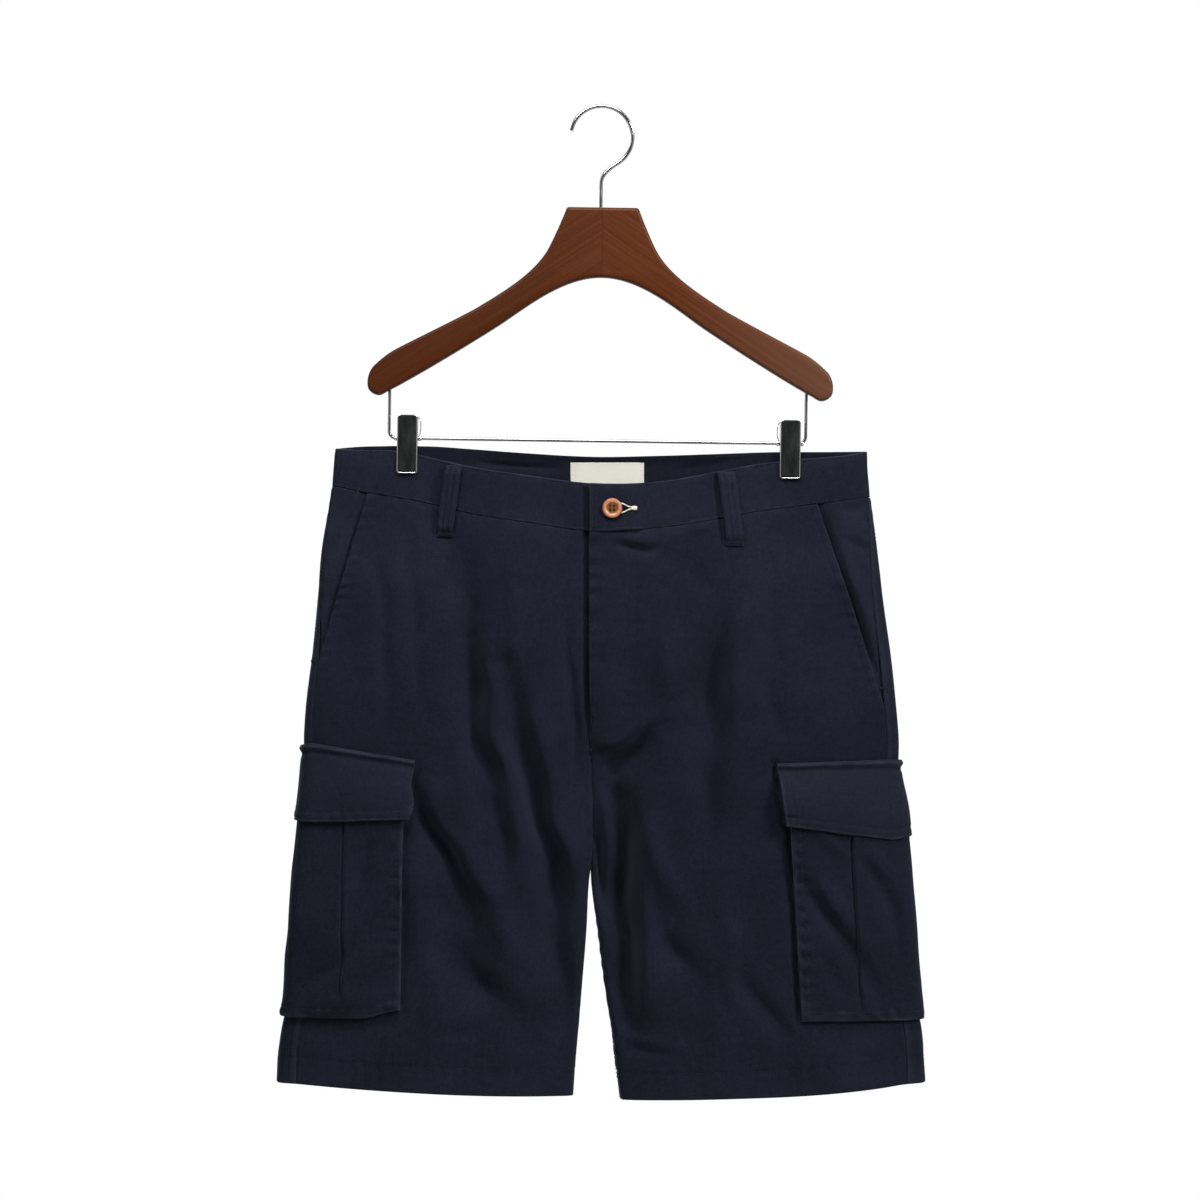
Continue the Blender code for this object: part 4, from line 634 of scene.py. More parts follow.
def stand_off(side, face, share, drop):
    """How far the cloth stands out from the garment's middle plane.

    share is 0 at the centre or inseam and 1 at the side fold.
    """
    inner, outer = level("in_" + SIDE_NAME[side], drop), level("out_" + SIDE_NAME[side], drop)
    breadth = abs(outer - inner)
    x = mix(inner, outer, share)
    loose = ease((drop - PINCH_DROP) / (LOOSE_DROP - PINCH_DROP))
    above_crotch = np.clip((CROTCH_DROP - drop) / CROTCH_REACH, 0, 1)
    opened = ease(above_crotch) ** 0.6
    radius = mix(WAIST_FOLD, SIDE_FOLD, loose)
    inner_radius = level("fold", drop)
    side_round = quarter_round((1 - share) * breadth / radius)
    inner_round = mix(quarter_round(share * breadth / inner_radius), 1, opened)
    swell = mix(
        np.sin(np.pi * np.clip(share, 0, 1)) ** 0.7,
        np.cos(np.pi / 2 * np.clip(share, 0, 1)) ** 0.7,
        opened,
    )
    wall = mix(inner_radius, radius, ease(share * breadth / 60)) * side_round * inner_round
    body = wall + level("belly_" + face, drop) * swell
    band = radius * side_round + np.maximum(waist(face + "_out", x), 0)
    keep_edges_plain = ease((1 - share) * breadth / 30) * ease(share * breadth / 9 + opened)
    creased = crease_relief(face, x, drop) * ease((drop - CREASES_FROM) / CREASES_GROW)
    relief = fold_relief(face, x, drop) * loose + creased
    return mix(band, body, loose) + relief * keep_edges_plain


class HalfSurface:
    """One half of the shorts as a surface.

    A point is given by its distance along the cloth from the centre front (or from the inner fold,
    below the crotch) round the side to the centre back, and by its drop.
    """

    ACROSS = 181
    SHARES = 541
    STEP = 2.0  # between levels

    def __init__(self, side):
        self.side = side
        self.drops = np.arange(LEVELS[1][0] - 4, LEVELS[-1][0] + 4, self.STEP)
        spaced = (1 - np.cos(np.linspace(0, np.pi, self.ACROSS))) / 2
        share, drop = np.meshgrid(spaced, self.drops)
        inner, outer = self.edges(drop)
        x = mix(inner, outer, share)
        lean = side * level("lean", drop) * (1 - share) ** 3
        front = lean - stand_off(side, "front", share, drop)
        back = lean + stand_off(side, "back", share, drop)
        x = np.hstack([x, x[:, -2::-1]])
        y = np.hstack([front, back[:, -2::-1]])
        run = np.cumsum(np.hypot(np.diff(x), np.diff(y)), axis=1)
        run = np.hstack([np.zeros((len(run), 1)), run])
        self.lengths = run[:, -1]
        self.fold_at = run[:, self.ACROSS - 1]
        shares = np.linspace(0, 1, self.SHARES)
        self.x = np.array([np.interp(shares * a[-1], a, b) for a, b in zip(run, x)])
        self.y = np.array([np.interp(shares * a[-1], a, b) for a, b in zip(run, y)])
        self.x_inner, self.x_outer = self.edges(self.drops)
        self.reach = np.linspace(0, 1, self.ACROSS * 2)
        self.by_x = {}
        for face, step in (("front", 1), ("back", -1)):
            rows = []
            for across, places, first, last in zip(x[:, ::step], run[:, ::step], self.x_inner, self.x_outer):
                shares = (across[: self.ACROSS] - first) / (last - first)
                rows.append(np.interp(self.reach, shares, places[: self.ACROSS]))
            self.by_x[face] = np.array(rows)
        self.seam_at = self.find_side_seam(self.drops)

    def edges(self, drop):
        """x at the inner fold or centre, and at the side fold."""
        return level("in_" + SIDE_NAME[self.side], drop), level("out_" + SIDE_NAME[self.side], drop)

    def length(self, drop):
        return np.interp(drop, self.drops, self.lengths)

    def look_up(self, table, drop, share):
        """A table's value at a drop, and at a share of its columns."""
        row = np.clip((drop - self.drops[0]) / self.STEP, 0, len(self.drops) - 1.001)
        columns = table.shape[1]
        col = np.clip(share * (columns - 1), 0, columns - 1.001)
        i, j = row.astype(int), col.astype(int)
        upper = mix(table[i, j], table[i, j + 1], col - j)
        lower = mix(table[i + 1, j], table[i + 1, j + 1], col - j)
        return mix(upper, lower, row - i)

    def read(self, along, drop):
        share = along / self.length(drop)
        return self.look_up(self.x, drop, share), self.look_up(self.y, drop, share)

    def xy(self, along, drop):
        """x and y on the surface. Past its front end it goes on along the other half, or round the leg."""
        along, drop = np.broadcast_arrays(np.asarray(along, float), np.asarray(drop, float))
        is_leg = drop > CROTCH_DROP
        x, y = self.read(np.where(is_leg, along % self.length(drop), along), drop)
        crosses = (along < 0) & ~is_leg
        if crosses.any():
            other_x, other_y = HALVES[-self.side].read(np.abs(along), drop)
            x, y = np.where(crosses, other_x, x), np.where(crosses, other_y, y)
        return x, y

    def normal(self, along, drop):
        reach_along, reach_drop = 1.0, 2.0
        x1, y1 = self.xy(along + reach_along, drop)
        x0, y0 = self.xy(along - reach_along, drop)
        x3, y3 = self.xy(along, drop + reach_drop)
        x2, y2 = self.xy(along, drop - reach_drop)
        tangent = np.stack([x1 - x0, y1 - y0, np.zeros_like(x0)], axis=-1)
        upward = np.stack([x2 - x3, y2 - y3, np.full_like(x0, 2 * reach_drop)], axis=-1)
        normal = self.side * np.cross(tangent, upward)
        return normal / np.linalg.norm(normal, axis=-1, keepdims=True)

    def point(self, along, drop, out=0.0):
        """A point on the cloth's outside, moved out by that much."""
        along, drop = np.broadcast_arrays(np.asarray(along, float), np.asarray(drop, float))
        x, y = self.xy(along, drop)
        out = np.broadcast_to(out, along.shape)
        return np.stack([x, y, -drop], axis=-1) + self.normal(along, drop) * out[..., None]

    def along_at(self, x, drop, face="front"):
        """Where the front or back has that x, as a distance along the cloth."""
        x, drop = np.broadcast_arrays(np.asarray(x, float), np.asarray(drop, float))
        inner, outer = (np.interp(drop, self.drops, edge) for edge in (self.x_inner, self.x_outer))
        return self.look_up(self.by_x[face], drop, (x - inner) / (outer - inner))

    def find_side_seam(self, drop):
        """The side seam, a set distance in front of the side fold."""
        inset = read(SIDE_SEAM, SIDE_NAME[self.side], drop)
        return self.along_at(self.edges(drop)[1] - self.side * inset, drop)

    def side_seam(self, drop):
        return np.interp(drop, self.drops, self.seam_at)

    def inseam(self, drop):
        return read(INSEAM, SIDE_NAME[self.side], drop)

    def slant(self, drop):
        """The slanted pocket edge: straight from the waist to the side seam, which it follows below."""
        row = SLANT[self.side]
        end_x, _ = self.xy(self.side_seam(row["end_drop"]), row["end_drop"])
        drop = np.asarray(drop, float)
        share = np.clip((drop - row["top_drop"]) / (row["end_drop"] - row["top_drop"]), -0.2, 1)
        edge, seam = self.along_at(mix(row["top_x"], end_x, share), drop), self.side_seam(drop)
        return np.where(share < 1, np.minimum(edge, seam), seam)

    def fold(self, drop):
        """The side fold."""
        return np.interp(drop, self.drops, self.fold_at)

    def share_across(self, along, drop):
        """0 at the inner fold and 1 at the side fold, by x."""
        inner, outer = self.edges(drop)
        return np.clip((self.xy(along, drop)[0] - inner) / (outer - inner), 0, 1)

    def hem_drop(self, along, face):
        share = self.share_across(along, HEM_SIDE_DROP)
        return HEM_SIDE_DROP + read(HEM_LINE, face + "_" + SIDE_NAME[self.side], share)


HALVES = {side: HalfSurface(side) for side in (LEFT, RIGHT)}


# ---------------------------------------------------------------- finishes


class Finish:
    """A procedural material, whose nodes are made and wired by name."""

    def __init__(self, name, **shader):
        self.material = bpy.data.materials.new(name)
        self.material.use_nodes = True
        self.nodes, self.links = self.material.node_tree.nodes, self.material.node_tree.links
        self.shader = self.nodes["Principled BSDF"]
        self.set(self.shader, {key.replace("_", " "): value for key, value in shader.items()})

    def set(self, node, inputs):
        for key, value in inputs.items():
            if isinstance(value, bpy.types.NodeSocket):
                self.links.new(value, node.inputs[key])
            else:
                node.inputs[key].default_value = value

    def node(self, kind, inputs=None, **settings):
        made = self.nodes.new("ShaderNode" + kind)
        for key, value in settings.items():
            setattr(made, key, value)
        self.set(made, inputs or {})
        return made

    def maths(self, operation, *values):
        return self.node("Math", dict(enumerate(values)), operation=operation).outputs[0]

    def times(self, vector, factors):
        return self.node("VectorMath", {0: vector, 1: factors}, operation="MULTIPLY").outputs[0]

    def noise(self, vector, scale, detail=3.0, roughness=0.55, distortion=0.0):
        inputs = {
            "Vector": vector, "Scale": scale, "Detail": detail, "Roughness": roughness,
            "Distortion": distortion,
        }
        return self.node("TexNoise", inputs).outputs["Fac"]

    def mixed(self, share, a, b):
        made = self.node("Mix", data_type="RGBA")
        self.set(made, {0: share, 6: a, 7: b})
        return made.outputs[2]

    def between(self, value, low, high, to_low=0.0, to_high=1.0):
        inputs = {"Value": value, "From Min": low, "From Max": high, "To Min": to_low, "To Max": to_high}
        return self.node("MapRange", inputs).outputs[0]

    def place(self):
        """Position in the piece's own space, in millimetres."""
        spot = self.node("TexCoord").outputs["Object"]
        return self.times(spot, (1000.0, 1000.0, 1000.0))

    def axes(self, vector):
        return self.node("SeparateXYZ", {0: vector}).outputs

    def vector(self, x, y, z):
        return self.node("CombineXYZ", {0: x, 1: y, 2: z}).outputs[0]

    def bump(self, height, distance, strength=1.0):
        made = self.node("Bump", {"Height": height, "Distance": distance, "Strength": strength})
        self.set(self.shader, {"Normal": made.outputs[0]})

    def finish(self, colour, roughness):
        self.set(self.shader, {"Base Color": colour, "Roughness": roughness})
        return self.material


def twill_finish():
    """Washed navy twill: diagonal ribs, flecks of lighter fibre, slubs, edges rubbed lighter, and painted
    shade that darkens the cloth's inner faces.
    """
    made = Finish("navy_cotton_twill", Sheen_Weight=0.10, Sheen_Roughness=0.45)
    made.shader.inputs["Sheen Tint"].default_value = (0.55, 0.6, 0.8, 1)
    made.shader.inputs["Specular IOR Level"].default_value = 0.03
    mark = made.node("Attribute", attribute_name="cloth_at").outputs["Vector"]
    cloth_at = made.times(mark, (1000.0, 1000.0, 0.0))
    # the third axis holds the wear on the outside, and on the inner faces the mark for painted shade
    wear = made.axes(mark)[2]
    turned = made.node("Mapping", {"Vector": cloth_at, "Rotation": (0, 0, TWILL_SLOPE)}).outputs[0]
    ribs = made.node(
        "TexWave",
        {
            "Vector": turned, "Scale": math.pi / (10 * TWILL_PITCH), "Distortion": 0.8, "Detail": 2.0,
            "Detail Scale": 0.5,
        },
    ).outputs["Fac"]
    fibre = made.noise(cloth_at, 0.85, 4.0, 0.7)
    melange = made.noise(cloth_at, 0.24, 3.0, 0.6)
    slub = made.noise(made.times(cloth_at, (1.1, 0.07, 1.0)), 1.0, 3.0, 0.6)
    wash = made.noise(cloth_at, 0.016, 3.0, 0.55)
    fleck = made.maths("MULTIPLY_ADD", fibre, 0.5, made.maths("MULTIPLY", melange, 0.28))
    fleck = made.maths("MULTIPLY_ADD", slub, 0.22, fleck)
    fleck = made.between(made.maths("MULTIPLY_ADD", ribs, 0.10, fleck), 0.40, 0.68)
    cloth_colour = made.mixed(fleck, (*NAVY_DEEP, 1), (*NAVY_LIGHT, 1))
    faded = made.between(wash, 0.35, 0.7, 0.84, 1.16)
    cloth_colour = made.node("VectorMath", {0: cloth_colour, "Scale": faded}, operation="SCALE").outputs[0]
    # painted shade: the cloth's inner faces are darkened
    painted_inside_shade = made.between(wear, INSIDE_SHADE_MARK, 0.0, 0.76, 1.0)
    cloth_colour = made.node("VectorMath", {0: cloth_colour, "Scale": painted_inside_shade}, operation="SCALE").outputs[0]
    on_fibre = made.between(fibre, 0.35, 0.65, 0.25, 0.85)
    rubbed = made.maths("MULTIPLY", made.maths("MAXIMUM", wear, 0.0), on_fibre)
    colour = made.mixed(rubbed, cloth_colour, (*NAVY_WORN, 1))
    height = made.maths("MULTIPLY_ADD", ribs, 0.55, made.maths("MULTIPLY", fibre, 0.9))
    made.bump(height, 0.00022)
    return made.finish(colour, made.between(fibre, 0.3, 0.7, 0.94, 0.80))


def thread_finish(name, dark, light):
    """Twisted thread with paler fibres on its crowns."""
    made = Finish(name, Specular_IOR_Level=0.1, Sheen_Weight=0.05)
    twist = made.noise(made.place(), 2.4, 2.0)
    made.bump(twist, 0.0001)
    return made.finish(made.mixed(twist, (*dark, 1), (*light, 1)), made.between(twist, 0.3, 0.7, 0.6, 0.8))


def ribbon_finish():
    """Cream woven ribbon with fine cross ribs and a little unevenness from handling."""
    made = Finish("cream_woven_ribbon", Sheen_Weight=0.25)
    place = made.place()
    ribs = made.node(
        "TexWave", {"Vector": place, "Scale": 0.45, "Distortion": 0.6, "Detail": 1.0}, bands_direction="Z"
    ).outputs["Fac"]
    grain = made.noise(place, 1.4, 3.0)
    tone = made.noise(place, 0.08, 2.0)
    weave = made.maths("MULTIPLY_ADD", ribs, 0.4, made.maths("MULTIPLY", grain, 0.6))
    colour = made.mixed(made.between(weave, 0.3, 0.7), (0.475, 0.46, 0.405, 1), (0.60, 0.585, 0.535, 1))
    colour = made.mixed(made.between(tone, 0.4, 0.75, 0.0, 0.25), colour, (0.50, 0.47, 0.39, 1))
    made.bump(weave, 0.00012)
    return made.finish(colour, made.between(grain, 0.3, 0.7, 0.75, 0.9))


def wood_finish():
    """Stained, lacquered wood in two halves, with the grain along each arm, painted shade on the left arm
    and a painted pinkish gloss on the right arm.
    """
    made = Finish("stained_lacquered_wood", Specular_IOR_Level=0.09)
    x, y, z = made.axes(made.place())
    across = made.maths("SUBTRACT", x, WOOD_X)
    aside = made.maths("ABSOLUTE", across)
    half = made.maths("SIGN", across)
    lengthwise = made.maths(
        "SUBTRACT",
        made.maths("MULTIPLY", aside, math.cos(GRAIN_SLOPE)),
        made.maths("MULTIPLY", z, math.sin(GRAIN_SLOPE)),
    )
    crosswise = made.maths(
        "ADD",
        made.maths("MULTIPLY", aside, math.sin(GRAIN_SLOPE)),
        made.maths("MULTIPLY", z, math.cos(GRAIN_SLOPE)),
    )
    apart = made.maths("MULTIPLY_ADD", half, 37.0, crosswise)
    streaks = made.noise(
        made.vector(made.maths("MULTIPLY", lengthwise, 0.02), apart, made.maths("MULTIPLY", y, 0.6)),
        0.42, 5.0, 0.62, 0.6,
    )
    bands = made.noise(
        made.vector(made.maths("MULTIPLY", lengthwise, 0.012), apart, made.maths("MULTIPLY", y, 0.3)),
        0.10, 3.0, 0.5, 0.8,
    )
    pores = made.noise(
        made.vector(made.maths("MULTIPLY", lengthwise, 0.12), apart, y), 2.2, 2.0, 0.5
    )
    grain = made.maths("MULTIPLY_ADD", streaks, 0.6, made.maths("MULTIPLY", bands, 0.4))
    colour = made.mixed(made.between(grain, 0.32, 0.68), (*WOOD_DARK, 1), (*WOOD_LIGHT, 1))
    dark_pores = made.between(pores, 0.62, 0.76, 0.0, 0.30)
    colour = made.mixed(dark_pores, colour, (0.030, 0.009, 0.004, 1))
    scratch = made.noise(made.vector(made.maths("MULTIPLY", crosswise, 0.05), lengthwise, y), 0.35, 3.0)
    colour = made.mixed(made.between(scratch, 0.66, 0.78, 0.0, 0.30), colour, (0.13, 0.050, 0.024, 1))
    # painted shade: the left arm is darkened
    painted_shade_left = made.between(across, -70.0, 40.0, 0.5, 0.0)
    colour = made.mixed(painted_shade_left, colour, (0.030, 0.0080, 0.0020, 1))
    # painted highlight: a pinkish gloss on the right arm, in patches
    painted_gloss_patches = made.between(bands, 0.3, 0.7, 0.45, 0.75)
    painted_gloss_right = made.maths("MULTIPLY", made.between(across, 60.0, 200.0), painted_gloss_patches)
    colour = made.mixed(painted_gloss_right, colour, (0.115, 0.056, 0.036, 1))
    joint = made.between(aside, 0.25, 0.7, 0.45, 0.0)
    colour = made.mixed(joint, colour, (0.03, 0.008, 0.004, 1))
    made.bump(made.maths("MULTIPLY_ADD", pores, -0.4, streaks), 0.0001, 0.35)
    return made.finish(colour, made.between(streaks, 0.3, 0.7, 0.34, 0.46))


def chrome_finish(name, dull, bright):
    """Plating with a faint cloudiness, from a dull to a bright grey."""
    made = Finish(name, Metallic=1.0)
    place = made.place()
    haze = made.noise(place, 0.12, 3.0)
    fine = made.noise(place, 1.8, 2.0)
    colour = made.mixed(haze, (dull, dull, dull, 1), (bright, bright, bright, 1))
    made.bump(fine, 0.00001, 0.4)
    return made.finish(colour, made.between(haze, 0.3, 0.7, 0.10, 0.22))


def insert_finish():
    """Satin black rubber with a fine moulded grain and paler scuffs."""
    made = Finish("black_rubber_pad", Specular_IOR_Level=0.07)
    place = made.place()
    grain = made.noise(place, 2.4, 3.0)
    scuff = made.noise(made.times(place, (1.0, 1.0, 0.25)), 0.22, 3.0)
    scuffed = made.between(scuff, 0.4, 0.75)
    colour = made.mixed(scuffed, (0.0085, 0.0095, 0.0090, 1), (0.0205, 0.0220, 0.0215, 1))
    made.bump(grain, 0.00006)
    return made.finish(colour, made.between(scuff, 0.3, 0.7, 0.36, 0.55))


def button_finish():
    """Marbled tan resin: a lighter rim, partly painted highlight, darker brown in the dished middle, and a
    darker outer edge, which is painted shade.
    """
    made = Finish("tan_resin", Coat_Weight=0.2, Coat_Roughness=0.3)
    place = made.place()
    x, y, _ = made.axes(place)
    radius = made.node("VectorMath", {0: made.vector(x, y, 0.0)}, operation="LENGTH").outputs["Value"]
    marble = made.noise(place, 0.5, 4.0, 0.6, 1.2)
    # the rim's lighter colour is partly painted highlight, the ring at the dish's lip
    rim = made.mixed(marble, (0.33, 0.105, 0.038, 1), (0.62, 0.27, 0.125, 1))
    middle = made.mixed(marble, (0.085, 0.027, 0.006, 1), (0.185, 0.070, 0.017, 1))
    # painted shade: the darker colour of the rounded outer edge
    outer = made.mixed(marble, (0.085, 0.020, 0.008, 1), (0.20, 0.055, 0.020, 1))
    uneven = made.maths("MULTIPLY_ADD", marble, 1.2, radius)
    edge = made.between(uneven, BUTTON_RADIUS * 0.56 + 0.6, BUTTON_RADIUS * 0.66 + 0.6)
    # the mask of that painted shade on the outer edge
    wear_and_edge_shade = made.between(uneven, BUTTON_RADIUS * 0.78 + 0.6, BUTTON_RADIUS * 1.0 + 0.6)
    made.bump(marble, 0.0001, 0.6)
    colour = made.mixed(wear_and_edge_shade, made.mixed(edge, middle, rim), outer)
    return made.finish(colour, made.between(marble, 0.3, 0.7, 0.35, 0.55))


INSIDE_SHADE_MARK = -0.5  # marks the cloth's inner faces, which the twill darkens as painted shade
TWILL_PITCH, TWILL_SLOPE = 1.1, math.radians(63.0)
NAVY_DEEP, NAVY_LIGHT = (0.0046, 0.0055, 0.0106), (0.0126, 0.0140, 0.0246)
NAVY_WORN = (0.032, 0.035, 0.052)
GRAIN_SLOPE = math.radians(33.0)
WOOD_DARK, WOOD_LIGHT = (0.046, 0.0112, 0.0026), (0.080, 0.0215, 0.0062)

TWILL = twill_finish()
THREAD = thread_finish("navy_sewing_thread", (0.004, 0.005, 0.010), (0.012, 0.014, 0.025))
CREAM_THREAD = thread_finish("cream_thread", (0.50, 0.46, 0.37), (0.80, 0.77, 0.68))
BROWN_THREAD = thread_finish("brown_thread", (0.050, 0.016, 0.004), (0.13, 0.048, 0.013))
RIBBON = ribbon_finish()
STAINED_WOOD = wood_finish()
CHROME = chrome_finish("chrome_plate", 0.54, 0.74)
WIRE = chrome_finish("chrome_wire", 0.22, 0.44)
BLACK_PAD = insert_finish()
RESIN = button_finish()


# ---------------------------------------------------------------- making meshes

BODY = "root"
EDGE = (0.0, 0.22, 0.6, 1.2, 2.0)  # distances from a cloth edge at which its rounding is drawn
LEAST_ROUND = 0.12  # share of the wall left at the very edge
PITCH = 2.5  # between the other rows and columns of the cloth


def new_object(name, data, finish):
    made = bpy.data.objects.new(name, data)
    bpy.context.scene.collection.objects.link(made)
    data.materials.clear()
    data.materials.append(finish)
    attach(made, BODY)
    return made


def mesh_from(name, spots, faces, marks):
    """A mesh, its faces turned outwards, with each point's place on the cloth and its wear, and the cloth's
    inner faces marked for painted shade.
    """
    spots, faces = np.asarray(spots, float) * MM, np.asarray(faces)
    corners = spots[faces]
    volume = sum(
        np.einsum("ij,ij->i", corners[:, 0], np.cross(corners[:, k], corners[:, k + 1])).sum()
        for k in range(1, faces.shape[1] - 1)
    )
    if volume < 0:
        faces = faces[:, ::-1]
    data = bpy.data.meshes.new(name)
    data.from_pydata(spots.tolist(), [], faces.tolist())
    layer = data.attributes.new("cloth_at", "FLOAT_VECTOR", "POINT")
    layer.data.foreach_set("vector", marks.astype(np.float32).ravel())
    data.shade_smooth()
    return data


def grid_faces(rows, columns):
    number = np.arange(rows * columns).reshape(rows, columns)
    quads = np.stack([number[:-1, :-1], number[:-1, 1:], number[1:, 1:], number[1:, :-1]], axis=-1)
    return number, quads.reshape(-1, 4)


def stations(first, last, count):
    """Rows or columns at set distances from both ends, with count more between.

    Each is a share of the length and a distance to add to it.
    """
    t = np.linspace(0, 1, count + 2)[1:-1]
    share = np.concatenate([np.zeros(len(first)), t, np.ones(len(last))])
    between = first[-1] * (1 - t) - last[-1] * t
    return share, np.concatenate([first, between, -np.array(last[::-1])])


def spaced(first, last, length):
    return stations(first, last, max(2, round((length - first[-1] - last[-1]) / PITCH) - 1))


def laid(start, end, marks):
    """Where the stations lie between start and end."""
    share, past = marks
    return start + (end - start) * share + past


def grid_normals(points):
    """The direction square to a grid of points, at each of them."""
    across, down = np.gradient(points, axis=1), np.gradient(points, axis=0)
    normal = np.cross(across, down)
    return normal / np.maximum(np.linalg.norm(normal, axis=-1, keepdims=True), 1e-9)


def walled(name, surface, outward, wall, marks, inner_marks, finish):
    """A wall behind a grid of points of its outside, with rounded edges."""
    wall = np.broadcast_to(wall, surface.shape[:2])
    normal = grid_normals(surface)
    if np.einsum("ijk,ijk->ij", normal, outward).mean() < 0:
        normal = -normal
    insets = []
    for points in (surface, surface.swapaxes(0, 1)):
        gaps = np.linalg.norm(np.diff(points, axis=1), axis=-1)
        from_start = np.hstack([np.zeros((len(gaps), 1)), np.cumsum(gaps, axis=1)])
        insets.append(np.minimum(from_start, from_start[:, -1:] - from_start))
    inset = np.minimum(insets[0], insets[1].T)
    plump = np.maximum(quarter_round(inset / (wall / 2)), LEAST_ROUND) * wall / 2
    middle = surface - normal * (wall / 2)[..., None]
    outer, inner = middle + normal * plump[..., None], middle - normal * plump[..., None]
    number, quads = grid_faces(*surface.shape[:2])
    rim = np.concatenate([number[0], number[1:, -1], number[-1, -2::-1], number[-2:0:-1, 0]])
    after, deep = np.roll(rim, -1), number.size
    border = np.stack([after, rim, rim + deep, after + deep], axis=-1)
    faces = np.concatenate([quads, quads[:, ::-1] + deep, border])
    spots, places = (np.concatenate(pair).reshape(-1, 3) for pair in ((outer, inner), (marks, inner_marks)))
    made = new_object(name + "_cloth", mesh_from(name + "_cloth", spots, faces, places), finish)
    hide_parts(name)
    return made


def cloth(name, half, along, drop, out, wall, wear):
    """A twill wall with rounded edges, on a grid of places. out is how far its outside stands off.

    wear is how much the cloth is rubbed lighter, from 0 to 1.
    """
    along, drop, out, wall, wear = np.broadcast_arrays(along, drop, out, wall, wear)
    marks = np.stack([along * MM, drop * MM, np.clip(wear, 0, 1)], axis=-1)
    # the inner face gets the mark for painted shade
    painted_inside_shade = np.stack([along * MM, drop * MM, along * 0.0 + INSIDE_SHADE_MARK], axis=-1)
    surface, outward = half.point(along, drop, out), half.normal(along, drop)
    return walled(name, surface, outward, wall, marks, painted_inside_shade, TWILL)


# ---------------------------------------------------------------- sewing

THREAD_RADIUS = 0.24
THREAD_SUNK = 0.14  # how far the stitches pull into the cloth
STITCH, STITCH_GAP = 2.5, 0.75
TACK_LENGTH, TACK_PITCH = 2.6, 0.62
STITCH_SIDES = 5
STITCH_RINGS = ((-1.0, 0.3, -0.9), (-0.6, 1.0, 0.1), (0.6, 1.0, 0.1), (1.0, 0.3, -0.9))
CREAM_ROWS = ("stitches_label",)
SEWN = {}  # what each joined mesh of stitches holds: (points, outward directions, is it a bar tack)


def sew(name, points, outward, across=False):
    SEWN.setdefault(name, []).append((np.asarray(points), np.asarray(outward), across))


def sew_on(name, half, along, drop, out, across=False):
    """A row of stitches along a line on the cloth."""
    along, drop, out = np.broadcast_arrays(
        np.asarray(along, float), np.asarray(drop, float), np.asarray(out, float)
    )
    sew(name, half.point(along, drop, out), half.normal(along, drop), across)


def stitches_of(points, outward, across):
    """The corners of a row of stitches: stitch, ring, corner, and x, y, z."""
    step = np.linalg.norm(np.diff(points, axis=0), axis=-1)
    run = np.append(0, np.cumsum(step))
    pitch = TACK_PITCH if across else STITCH + STITCH_GAP
    count = max(1, int(run[-1] / pitch))
    at = (np.arange(count) + 0.5) * run[-1] / count

    def read(values, where):
        return np.stack([np.interp(where, run, values[:, k]) for k in range(3)], axis=-1)

    middle, normal = read(points, at), read(outward, at)
    forward = read(points, at + 0.5) - read(points, at - 0.5)
    forward /= np.maximum(np.linalg.norm(forward, axis=-1, keepdims=True), 1e-9)
    normal /= np.linalg.norm(normal, axis=-1, keepdims=True)
    sideways = np.cross(forward, normal)
    if across:
        forward, sideways = sideways, forward
    half_length = (TACK_LENGTH if across else STITCH) / 2
    turns = np.linspace(0, 2 * np.pi, STITCH_SIDES, endpoint=False)
    rings = []
    for place, size, rise in STITCH_RINGS:
        centre = middle + forward * place * half_length + normal * (rise * THREAD_RADIUS - THREAD_SUNK)
        ring = [
            centre + (np.cos(a) * normal + np.sin(a) * sideways) * size * THREAD_RADIUS for a in turns
        ]
        rings.append(np.stack(ring, axis=1))
    return np.stack(rings, axis=1)


def sewn_objects():
    for name, rows in SEWN.items():
        corners = np.concatenate([stitches_of(*row) for row in rows])
        stitches, rings, sides = corners.shape[:3]
        number = np.arange(stitches * rings * sides).reshape(stitches, rings, sides)
        beside = np.roll(number, -1, axis=2)
        sides_of = np.stack([number[:, :-1], beside[:, :-1], beside[:, 1:], number[:, 1:]], axis=-1)
        faces = sides_of.reshape(-1, 4).tolist()
        for end in (number[:, 0, ::-1], number[:, -1]):
            faces += end.tolist()
        data = bpy.data.meshes.new(name)
        data.from_pydata((corners.reshape(-1, 3) * MM).tolist(), [], faces)
        data.shade_smooth()
        new_object(name, data, CREAM_THREAD if name in CREAM_ROWS else THREAD)


def puckers(distance, run, reach, height, seed, pitch=PUCKER_PITCH, least=0.05):
    """Short wrinkles square to a sewn edge, which fade with the distance from it."""
    phase = run / pitch + 0.8 * noise(run, seed, 27.0, seed)
    strength = np.maximum(0.6 + 0.9 * noise(run, seed, 33.0, seed + 1), least)
    return PUCKER_OUT * height * strength * np.sin(2 * np.pi * phase) * bell(distance, reach)


def groove(distance, line):
    """The cloth pulled in by a row of stitches at a distance from an edge."""
    return -GROOVE_DEPTH * bell(distance - line, GROOVE_BREADTH)


def near_edge(*lines):
    """Distances from an edge at which the cloth is drawn, finely at the edge and at rows of stitches."""
    places = sorted({*EDGE, *(line + step for line in lines for step in (-1.7, -0.8, 0.0, 0.8, 1.7))})
    kept = [0.0]
    for place in places:
        if place - kept[-1] > 0.2:
            kept.append(place)
    return tuple(kept)


# ---------------------------------------------------------------- the shorts' panels


